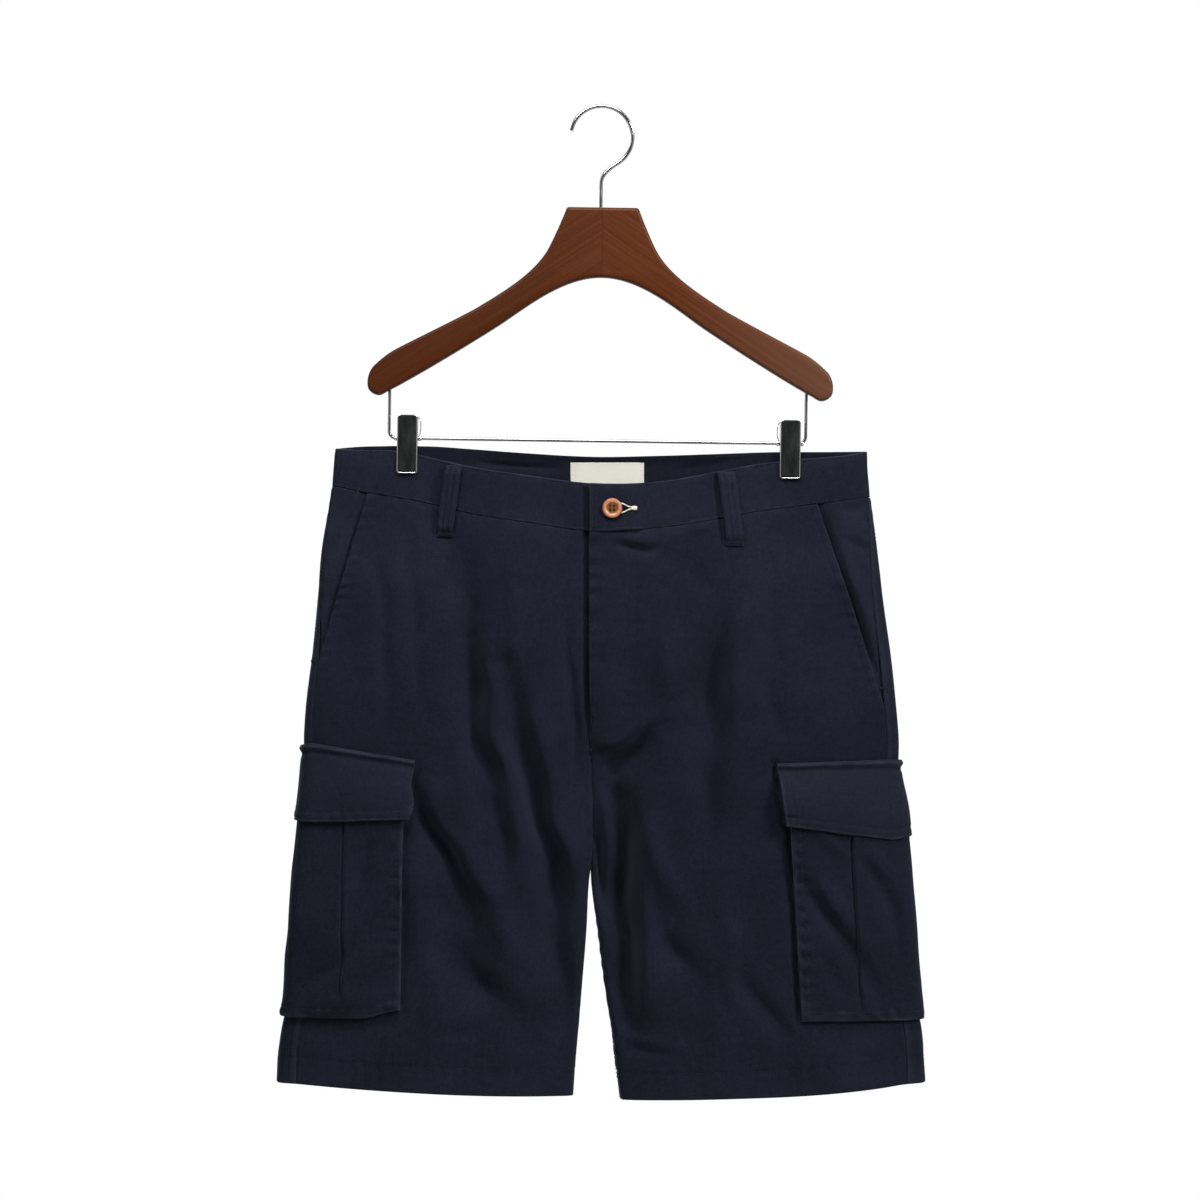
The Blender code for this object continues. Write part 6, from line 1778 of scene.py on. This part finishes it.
def cut_out(target, cutter):
    """Takes the cutter's shape out of the target, for good."""
    step = target.modifiers.new("cut", "BOOLEAN")
    step.operation = "DIFFERENCE"
    step.object = cutter
    step.solver = "EXACT"
    bpy.context.view_layer.update()
    done = target.evaluated_get(bpy.context.evaluated_depsgraph_get())
    data = bpy.data.meshes.new_from_object(done)
    target.modifiers.clear()
    before, target.data = target.data, data
    bpy.data.objects.remove(cutter)
    if "cloth_at" in before.attributes:
        carry_marks(before, data)


def carry_marks(before, after):
    """Gives each point of a cut cloth the place on the cloth of the point that was nearest before."""
    tree = KDTree(len(before.vertices))
    for point in before.vertices:
        tree.insert(point.co, point.index)
    tree.balance()
    marks = before.attributes["cloth_at"].data
    if "cloth_at" in after.attributes:
        after.attributes.remove(after.attributes["cloth_at"])
    layer = after.attributes.new("cloth_at", "FLOAT_VECTOR", "POINT").data
    for point in after.vertices:
        layer[point.index].vector = marks[tree.find(point.co)[1]].vector


def button():
    """A dished four-hole button, placed on the waistband's lifted end."""
    lifted = BAND + BAND_GAP
    base, outward = across_centre("front", [BUTTON_X], [BUTTON_DROP], np.array([lifted + SEAM_GAP]))
    place = facing_matrix(base[0], outward[0])
    thick, r = BUTTON_THICK, BUTTON_RADIUS
    profile = (
        (0.0, thick - 1.15), (r * 0.3, thick - 1.18), (r * 0.48, thick - 1.1), (r * 0.58, thick - 0.75),
        (r * 0.66, thick - 0.22), (r * 0.74, thick - 0.02), (r * 0.84, thick), (r * 0.93, thick - 0.28),
        (r * 0.985, thick * 0.72), (r, thick * 0.55), (r * 0.985, thick * 0.36), (r * 0.93, thick * 0.18),
        (r * 0.8, thick * 0.06), (r * 0.6, 0.0), (0.0, 0.0),
    )
    made = turned("button_resin", profile, RESIN, "brown_button", 96)
    for number in range(4):
        angle = math.radians(45 + 90 * number)
        spot = Vector((math.cos(angle), math.sin(angle), 0)) * BUTTON_HOLE_SPACING * MM
        hole = turned("hole", ((0, 9), (BUTTON_HOLE_RADIUS, 9), (BUTTON_HOLE_RADIUS, -9), (0, -9)), RESIN,
                      "brown_button", 20)
        hole.location = spot
        cut_out(made, hole)
    made.data.materials.clear()
    made.data.materials.append(RESIN)
    made.data.shade_smooth()
    made.data.set_sharp_from_angle(angle=math.radians(40))
    made.matrix_world = place
    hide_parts("button")
    return place


def mesh_of(data):
    """The mesh of a curve."""
    shape = bpy.data.objects.new(data.name + "_path", data)
    bpy.context.scene.collection.objects.link(shape)
    bpy.context.view_layer.update()
    solid = bpy.data.meshes.new_from_object(shape.evaluated_get(bpy.context.evaluated_depsgraph_get()))
    bpy.data.objects.remove(shape)
    return solid


def strand(name, knots, radius, finish, place=None, sides=3):
    """A thin round thread or wire through the points, in millimetres."""
    data = bpy.data.curves.new(name, "CURVE")
    data.dimensions = "3D"
    data.bevel_depth = radius * MM
    data.bevel_resolution = sides
    data.use_fill_caps = True
    spline = data.splines.new("POLY")
    spline.points.add(len(knots) - 1)
    for point, knot in zip(spline.points, knots):
        point.co = (*(Vector(knot) * MM), 1.0)
    spline.use_smooth = True
    solid = mesh_of(data)
    solid.shade_smooth()
    made = new_object(name, solid, finish)
    if place is not None:
        made.matrix_world = place
    return made


def smooth_path(knots, count):
    """Points of a smooth curve in space through the knots."""
    knots = np.array(knots, float)
    run = np.append(0, np.cumsum(np.linalg.norm(np.diff(knots, axis=0), axis=1)))
    at = np.linspace(0, run[-1], count)
    return np.stack([smooth_curve(at, run, knots[:, k]) for k in range(3)], axis=-1)


def button_threads(place):
    """Brown threads from hole to hole, and the wound shank below the button."""
    floor, s = BUTTON_THICK - 1.15, BUTTON_HOLE_SPACING / math.sqrt(2)
    for number, x in enumerate((s, -s)):
        arch = [(x, s, floor - 1.2), (x, s * 0.75, floor + 0.1), (x, s * 0.3, floor + 0.45),
                (x, -s * 0.3, floor + 0.45), (x, -s * 0.75, floor + 0.1), (x, -s, floor - 1.2)]
        for k, aside in enumerate((-0.3, 0.3)):
            path = smooth_path([(a + aside, b, c) for a, b, c in arch], 24)
            strand(f"button_thread_{number}_{k}", path, 0.26, BROWN_THREAD, place)
    turns = np.linspace(0, 2 * np.pi * 7, 160)
    top, low = -0.05, -(BAND + BAND_GAP - SEAM_GAP) + 0.1
    coil = [
        (0.75 * math.cos(a), 0.75 * math.sin(a), mix(top, low, a / turns[-1])) for a in turns
    ]
    shank = strand("button_shank_thread", coil, 0.3, THREAD, place)
    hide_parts("button_shank")


def wound(name, knots, radius, thread, pitch, place):
    """A core that is wound closely with thread."""
    path = smooth_path(knots, 48)
    strand(name + "_core", path, radius, CREAM_THREAD, place)
    run = np.append(0, np.cumsum(np.linalg.norm(np.diff(path, axis=0), axis=1)))
    at = np.linspace(0, run[-1], round(run[-1] / pitch * 10))
    middle = np.stack([np.interp(at, run, path[:, k]) for k in range(3)], axis=-1)
    forward = np.gradient(middle, axis=0)
    forward /= np.linalg.norm(forward, axis=1, keepdims=True)
    aside = np.cross(forward, (0, 0, 1.0))
    turn = at / pitch * 2 * np.pi
    round_it = aside * np.cos(turn)[:, None] + np.cross(forward, aside) * np.sin(turn)[:, None]
    coil = middle + round_it * radius
    strand(name + "_winding", coil, thread, CREAM_THREAD, place, 1)


def buttonhole(band, place):
    """A slit through the waistband's end, held open by the button, with cream thread round its lips."""
    tip = BUTTONHOLE[1] - BUTTON_X - 2.5
    half = [(BUTTONHOLE[0] - BUTTON_X, 1.5), (3.0, 3.4), (BUTTON_RADIUS, 3.3), (tip, 0.4)]
    outline = half + [(x, -y) for x, y in reversed(half)]
    rings = [[(x, y, z) for x, y in outline] for z in (3.0, -BAND - 2.0)]
    slit = bpy.data.objects.new("slit", lofted("slit", rings, True))
    bpy.context.scene.collection.objects.link(slit)
    slit.matrix_world = place
    cut_out(band, slit)
    r = BUTTON_RADIUS
    for number, sign in enumerate((1, -1)):
        knots = [(r - 3.0, sign * 4.3, 0.0), (r + 0.5, sign * 3.6, 0.25), (tip - 3.0, sign * 1.45, 0.35),
                 (tip + 0.6, sign * 0.55, 0.3)]
        wound(f"buttonhole_lip_{number}", knots, 0.42, 0.2, 0.42, place)
    for number, x in enumerate(np.linspace(tip + 0.2, tip + 4.2, 8)):
        rise = 1.55 * math.sqrt(1 - ((x - tip - 2.2) / 2.7) ** 2)
        knots = [(x, -rise, -0.3), (x + 0.1, -rise * 0.8, 0.42), (x, 0.0, 0.72), (x + 0.1, rise * 0.8, 0.42),
                 (x, rise, -0.3)]
        strand(f"buttonhole_tack_{number}", smooth_path(knots, 16), 0.36, CREAM_THREAD, place)


# ---------------------------------------------------------------- hanger

TILT = Matrix.Rotation(HANG_TILT, 4, "Y")


def arc(centre_x, centre_drop, radius, start, end, steps):
    """Points of an arc in the XZ plane."""
    for i in range(steps + 1):
        angle = mix(start, end, i / steps)
        yield centre_x + radius * math.cos(angle), 0.0, -centre_drop + radius * math.sin(angle)


def hook():
    """A round hook with a domed tip, then an eased bend to a straight shaft that goes into the wood."""
    centre_drop = HOOK_BEND - HOOK_WIRE
    points = list(arc(0.0, centre_drop, HOOK_BEND, HOOK_TIP_ANGLE, HOOK_LEAVE_ANGLE, 90))
    start = Vector(points[-1])
    leave = Vector((math.sin(HOOK_LEAVE_ANGLE), 0, -math.cos(HOOK_LEAVE_ANGLE)))
    end = Vector((0, 0, -HOOK_SHAFT_TOP))
    pull = (end - start).length * 1.25
    for i in range(1, 33):
        t = i / 32
        points.append(
            (2 * t**3 - 3 * t**2 + 1) * start
            + (t**3 - 2 * t**2 + t) * pull * leave
            + (3 * t**2 - 2 * t**3) * end
            + (t**3 - t**2) * pull * Vector((0, 0, -0.7))
        )
    points.append(Vector((0, 0, -WOOD_TOP - SHAFT_IN_WOOD)))
    made = strand("hook_wire", points, HOOK_WIRE, WIRE, TILT, 6)
    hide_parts("hanger_hook")
    tip = turned("hook_tip", [(HOOK_WIRE * math.cos(a), HOOK_WIRE * math.sin(a) * 0.55)
                              for a in np.linspace(0, math.pi / 2, 8)], WIRE, "chrome", 32)
    tangent = Vector((math.sin(HOOK_TIP_ANGLE), 0, -math.cos(HOOK_TIP_ANGLE)))
    tip.matrix_world = TILT @ facing_matrix(points[0], tangent)


def wood():
    """A flat wishbone of wood with rounded edges, bored for the hook and for the bar's two ends."""
    data = bpy.data.curves.new("wood_outline", "CURVE")
    data.dimensions = "2D"
    data.fill_mode = "BOTH"
    data.resolution_u = 28
    data.extrude = (WOOD_THICK / 2 - WOOD_ROUND) * MM
    data.bevel_depth = WOOD_ROUND * MM
    data.bevel_resolution = 5
    data.offset = -WOOD_ROUND * MM
    right = [
        [Vector((p[i], -p[i + 1])) for i in (0, 2, 4)] for p in WOOD_TOP_EDGE
    ]
    flip = Vector((-1, 1))
    left = [(spot * flip, on * flip, back * flip) for spot, back, on in reversed(right[:-1])]
    spline = data.splines.new("BEZIER")
    spline.use_cyclic_u = True
    spline.bezier_points.add(len(right + left) - 1)
    for point, (spot, back, on) in zip(spline.bezier_points, right + left):
        point.handle_left_type = point.handle_right_type = "FREE"
        point.co = (*(spot * MM), 0)
        point.handle_left = (*((spot + back) * MM), 0)
        point.handle_right = (*((spot + on) * MM), 0)
    solid = mesh_of(data)
    solid.transform(
        Matrix.Translation((WOOD_X * MM, 0, -WOOD_TOP * MM)) @ Matrix.Rotation(math.pi / 2, 4, "X")
    )
    mesh = bmesh.new()
    mesh.from_mesh(solid)
    bmesh.ops.remove_doubles(mesh, verts=mesh.verts, dist=0.00001)
    bmesh.ops.recalc_face_normals(mesh, faces=mesh.faces)
    mesh.to_mesh(solid)
    mesh.free()
    made = new_object("wood_arms", solid, STAINED_WOOD)
    holes = [(0.0, WOOD_TOP - 2.0, SHAFT_IN_WOOD + FIT + 2.0, HOOK_WIRE + FIT)]
    top = BAR_WOOD_DROP - BAR_IN_WOOD - FIT
    holes += [(side * BAR_HALF, top, 20.0, BAR_WIRE + FIT) for side in (LEFT, RIGHT)]
    for x, first, length, radius in holes:
        bore = turned("bore", ((0, 0), (radius, 0), (radius, -length), (0, -length)), CHROME, "chrome", 24)
        bore.location = (x * MM, 0, -first * MM)
        cut_out(made, bore)
    made.data.materials.clear()
    made.data.materials.append(STAINED_WOOD)
    made.data.shade_smooth()
    made.data.set_sharp_from_angle(angle=math.radians(50))
    made.matrix_world = TILT
    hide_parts("hanger_wood")


def bar():
    inner, bend_drop = BAR_HALF - BAR_BEND, BAR_DROP - BAR_BEND
    top = (-BAR_HALF, 0, -(BAR_WOOD_DROP - BAR_IN_WOOD))
    left = list(arc(-inner, bend_drop, BAR_BEND, math.pi, 1.5 * math.pi, 20))
    right = [(-x, y, z) for x, y, z in reversed(left)]
    made = strand("bar_wire", [top, *left, *right, (-top[0], 0, top[2])], BAR_WIRE, WIRE, TILT, 6)
    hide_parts("hanger_bar")


def rounded_plate(name, breadth, height, corner, profile, finish):
    """A plate in the XZ plane, from rings of (inset from the outline, depth along -Y)."""
    turns = np.concatenate([np.linspace(0, np.pi / 2, 9) + quarter * np.pi / 2 for quarter in range(4)])
    quarters = np.repeat(np.arange(4), 9)
    sign_x, sign_z = np.array([1, -1, -1, 1])[quarters], np.array([1, 1, -1, -1])[quarters]
    rings = []
    for inset, depth in profile:
        radius = max(corner - inset, 0.15)
        x = sign_x * (breadth / 2 - inset - radius) + radius * np.cos(turns)
        z = sign_z * (height / 2 - inset - radius) + radius * np.sin(turns)
        rings.append(np.stack([x, np.full_like(x, -depth), z], axis=-1))
    data = lofted(name, rings, True)
    data.shade_smooth()
    data.set_sharp_from_angle(angle=math.radians(50))
    return new_object(name, data, finish)


# Rings of (inset, depth from the cloth outwards) of a clip's jaw and of its pad.
JAW_RINGS = (
    (0.35, 0.0), (0.1, 0.12), (0.0, 0.4), (0.0, 2.1), (0.12, 2.42), (0.4, 2.6), (0.75, 2.56), (1.0, 2.35),
    (1.1, 2.05), (1.1, 1.6),
)
PAD_RINGS = (
    (0.0, 1.9), (0.0, 2.55), (0.15, 2.8), (0.5, 2.97), (1.25, 3.05), (3.15, 3.1),
)
PAD_IN = 1.35  # from the jaw's edge, but not at the top, where the pad covers the rim


def hinge(side, name, place):
    """The bowed edge of the back jaw, which shows beside the front one, and the collar on the bar."""
    inner, outer = CLIP_BREADTH / 2 - 0.4, CLIP_BREADTH / 2 + HINGE_BOW
    knots = ((inner, CLIP_TOP + 1.2), (outer - 0.5, CLIP_TOP + 3.6), (outer, CLIP_TOP + 9.0),
             (outer - 0.2, CLIP_TOP + 14.0), (inner + 1.0, BAR_DROP - 1.0))
    path = smooth_path([(-side * x, 0.0, -drop) for x, drop in knots], 32)
    for y in HINGE_LINES:
        line = path + np.array([0, y, 0])
        wire = strand(f"{name}_hinge_{y:.0f}", line, HINGE_WIRE, CHROME, place)
        wire.data.shade_smooth()
    reach, round_ = COLLAR_LENGTH / 2, COLLAR_RADIUS
    profile = [(BAR_WIRE + 0.05, reach)] + [
        (BAR_WIRE + 0.05 + (round_ - BAR_WIRE) * math.sin(a), reach * math.cos(a))
        for a in np.linspace(0.25, math.pi - 0.25, 12)
    ] + [(BAR_WIRE + 0.05, -reach), (BAR_WIRE + 0.05, reach)]
    for k, past in enumerate(COLLAR_AT):
        collar = turned(f"{name}_collar_{k}", profile, CHROME, "chrome", 32)
        spot = Vector((-side * past, 0, -BAR_DROP)) * MM
        collar.matrix_world = place @ Matrix.Translation(spot) @ Matrix.Rotation(math.pi / 2, 4, "Y")


def clip(side):
    """Two metal jaws on a sleeve round the bar, each with a dark rubber pad let into its face."""
    name = "clip_" + SIDE_NAME[side]
    middle = Vector((CLIP_X[side], 0, -(CLIP_TOP + CLIP_HEIGHT / 2))) * MM
    for face, turn in (("front", 0.0), ("back", math.pi)):
        place = TILT @ Matrix.Translation(middle) @ Matrix.Rotation(turn, 4, "Z")
        place = place @ Matrix.Translation((0, -CLIP_FACE * MM, 0))
        for part, rings, inset, finish, slot in (
            ("jaw", JAW_RINGS, 0.0, CHROME, "chrome"),
            ("insert", PAD_RINGS, PAD_IN, BLACK_PAD, "black_insert"),
        ):
            breadth, height = CLIP_BREADTH - 2 * inset, CLIP_HEIGHT - 0.9 * inset
            made = rounded_plate(f"{name}_{face}_{part}_fine", breadth, height, 2.2, rings, finish)
            made.matrix_world = place @ Matrix.Translation((0, 0, 0.55 * inset * MM))
            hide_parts(f"{name}_{face}_{part}")
    hinge(side, name, TILT @ Matrix.Translation(Vector((CLIP_X[side], 0, 0)) * MM))
    half, bore = SLEEVE_LENGTH / 2, BAR_WIRE + FIT
    profile = (
        (bore, half), (SLEEVE_RADIUS - 0.3, half), (SLEEVE_RADIUS, half - 0.3), (SLEEVE_RADIUS, -half + 0.3),
        (SLEEVE_RADIUS - 0.3, -half), (bore, -half), (bore, half),
    )
    sleeve = turned(name + "_sleeve_fine", profile, CHROME, "chrome", 40)
    place = Matrix.Translation(Vector((CLIP_X[side], 0, -BAR_DROP)) * MM)
    sleeve.matrix_world = TILT @ place @ Matrix.Rotation(math.pi / 2, 4, "Y")
    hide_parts(name + "_sleeve")


# ---------------------------------------------------------------- camera, light and floor


def area_light(name, at, towards, size, power, colour=(1, 1, 1)):
    data = bpy.data.lights.new(name, "AREA")
    data.shape = "RECTANGLE"
    data.size, data.size_y = size
    data.energy = power
    data.color = colour
    lamp = bpy.data.objects.new(name, data)
    bpy.context.scene.collection.objects.link(lamp)
    lamp.location = at
    lamp.rotation_euler = (Vector(towards) - Vector(at)).to_track_quat("-Z", "Y").to_euler()


def studio():
    scene = bpy.context.scene
    scene.view_settings.view_transform = "Standard"
    world = bpy.data.worlds.new("studio")
    world.use_nodes = True
    scene.world = world
    nodes, links = world.node_tree.nodes, world.node_tree.links
    seen = nodes["Background"]
    seen.inputs["Color"].default_value = (1, 1, 1, 1)
    lit = nodes.new("ShaderNodeBackground")
    lit.inputs["Color"].default_value = WORLD_COLOUR
    lit.inputs["Strength"].default_value = WORLD_STRENGTH
    mirrored = nodes.new("ShaderNodeBackground")
    way = nodes.new("ShaderNodeSeparateXYZ")
    links.new(nodes.new("ShaderNodeTexCoord").outputs["Generated"], way.inputs[0])
    room = nodes.new("ShaderNodeMapRange")
    room.interpolation_type = "SMOOTHSTEP"
    for key, value in zip(("From Min", "From Max", "To Min", "To Max"), ROOM_SEEN):
        room.inputs[key].default_value = value
    links.new(way.outputs["Y"], room.inputs["Value"])
    links.new(room.outputs[0], mirrored.inputs["Strength"])
    path = nodes.new("ShaderNodeLightPath").outputs
    last = lit.outputs[0]
    for wanted, shader in (("Is Glossy Ray", mirrored), ("Is Camera Ray", seen)):
        either = nodes.new("ShaderNodeMixShader")
        links.new(path[wanted], either.inputs[0])
        links.new(last, either.inputs[1])
        links.new(shader.outputs[0], either.inputs[2])
        last = either.outputs[0]
    links.new(last, nodes["World Output"].inputs["Surface"])

    for lamp in LAMPS:
        area_light(*lamp)

    floor_mesh = bpy.data.meshes.new("floor")
    reach = FLOOR_SIZE / 2
    floor_mesh.from_pydata(
        [(-reach, -reach, FLOOR_Z), (reach, -reach, FLOOR_Z), (reach, reach, FLOOR_Z),
         (-reach, reach, FLOOR_Z)], [], [(0, 1, 2, 3)]
    )
    floor = bpy.data.objects.new("floor", floor_mesh)
    scene.collection.objects.link(floor)
    pale = Finish("pale_floor")
    speck = pale.noise(pale.place(), 0.02, 3.0)
    floor_mesh.materials.append(
        pale.finish(pale.mixed(speck, (0.80, 0.80, 0.79, 1), (0.86, 0.86, 0.85, 1)), 0.7)
    )

    data = bpy.data.cameras.new("camera")
    data.lens, data.sensor_width = CAMERA_LENS, 36.0
    camera = bpy.data.objects.new("camera", data)
    scene.collection.objects.link(camera)
    camera.location = CAMERA_AT
    camera.rotation_euler = (math.radians(90), 0, 0)
    scene.camera = camera


CAMERA_AT, CAMERA_LENS = (-0.0017, -3.0, -0.4182), 105.9
FLOOR_SIZE, FLOOR_Z = 3.6, -1.3
WORLD_COLOUR, WORLD_STRENGTH = (0.92, 0.95, 1.0, 1), 0.08
ROOM_SEEN = (-0.93, -0.5, 0.04, 0.9)  # how light the room is from the camera's side round to the others
LAMPS = (  # name, place, what it points at, size, power, colour
    ("key", (3.2, -2.4, 1.5), (0.0, 0.0, -0.5), (1.0, 1.0), 160.0, (1.0, 0.985, 0.96)),
    ("above", (-0.1, -0.62, 0.55), (0.0, 0.0, -0.36), (0.8, 0.35), 18.0, (1.0, 1.0, 1.0)),
    ("fill", (-2.2, -2.4, 0.2), (0.0, 0.0, -0.5), (1.6, 1.6), 5.0, (0.95, 0.97, 1.0)),
    ("top", (0.0, 0.9, 1.6), (0.0, 0.0, -0.3), (1.4, 1.4), 7.0, (1, 1, 1)),
    ("behind", (-2.4, 3.2, 0.9), (0.0, 0.0, -0.5), (1.4, 1.4), 90.0, (1, 1, 1)),
)


# ---------------------------------------------------------------- everything


def main():
    cloths = {}
    for side in (LEFT, RIGHT):
        name = SIDE_NAME[side]
        cloths["waistband_" + name] = waistband(side)
        cloths["front_" + name] = front_panel(side)
        cloths["back_" + name] = back_panel(side)
        cloths["hip_facing_" + name] = hip_facing(side)
        cloths["cargo_pocket_" + name] = cargo_pocket(side)
        cloths["cargo_flap_" + name] = cargo_flap(side)
    for number, *row in LOOPS:
        cloths[f"belt_loop_{number}"] = belt_loop(number, *row)
    cloths["label"] = label()
    button_place = button()
    button_threads(button_place)
    buttonhole(cloths["waistband_right"], button_place)
    fly_stitches()
    sewn_objects()
    hook()
    wood()
    bar()
    for side in (LEFT, RIGHT):
        clip(side)
    studio()


main()
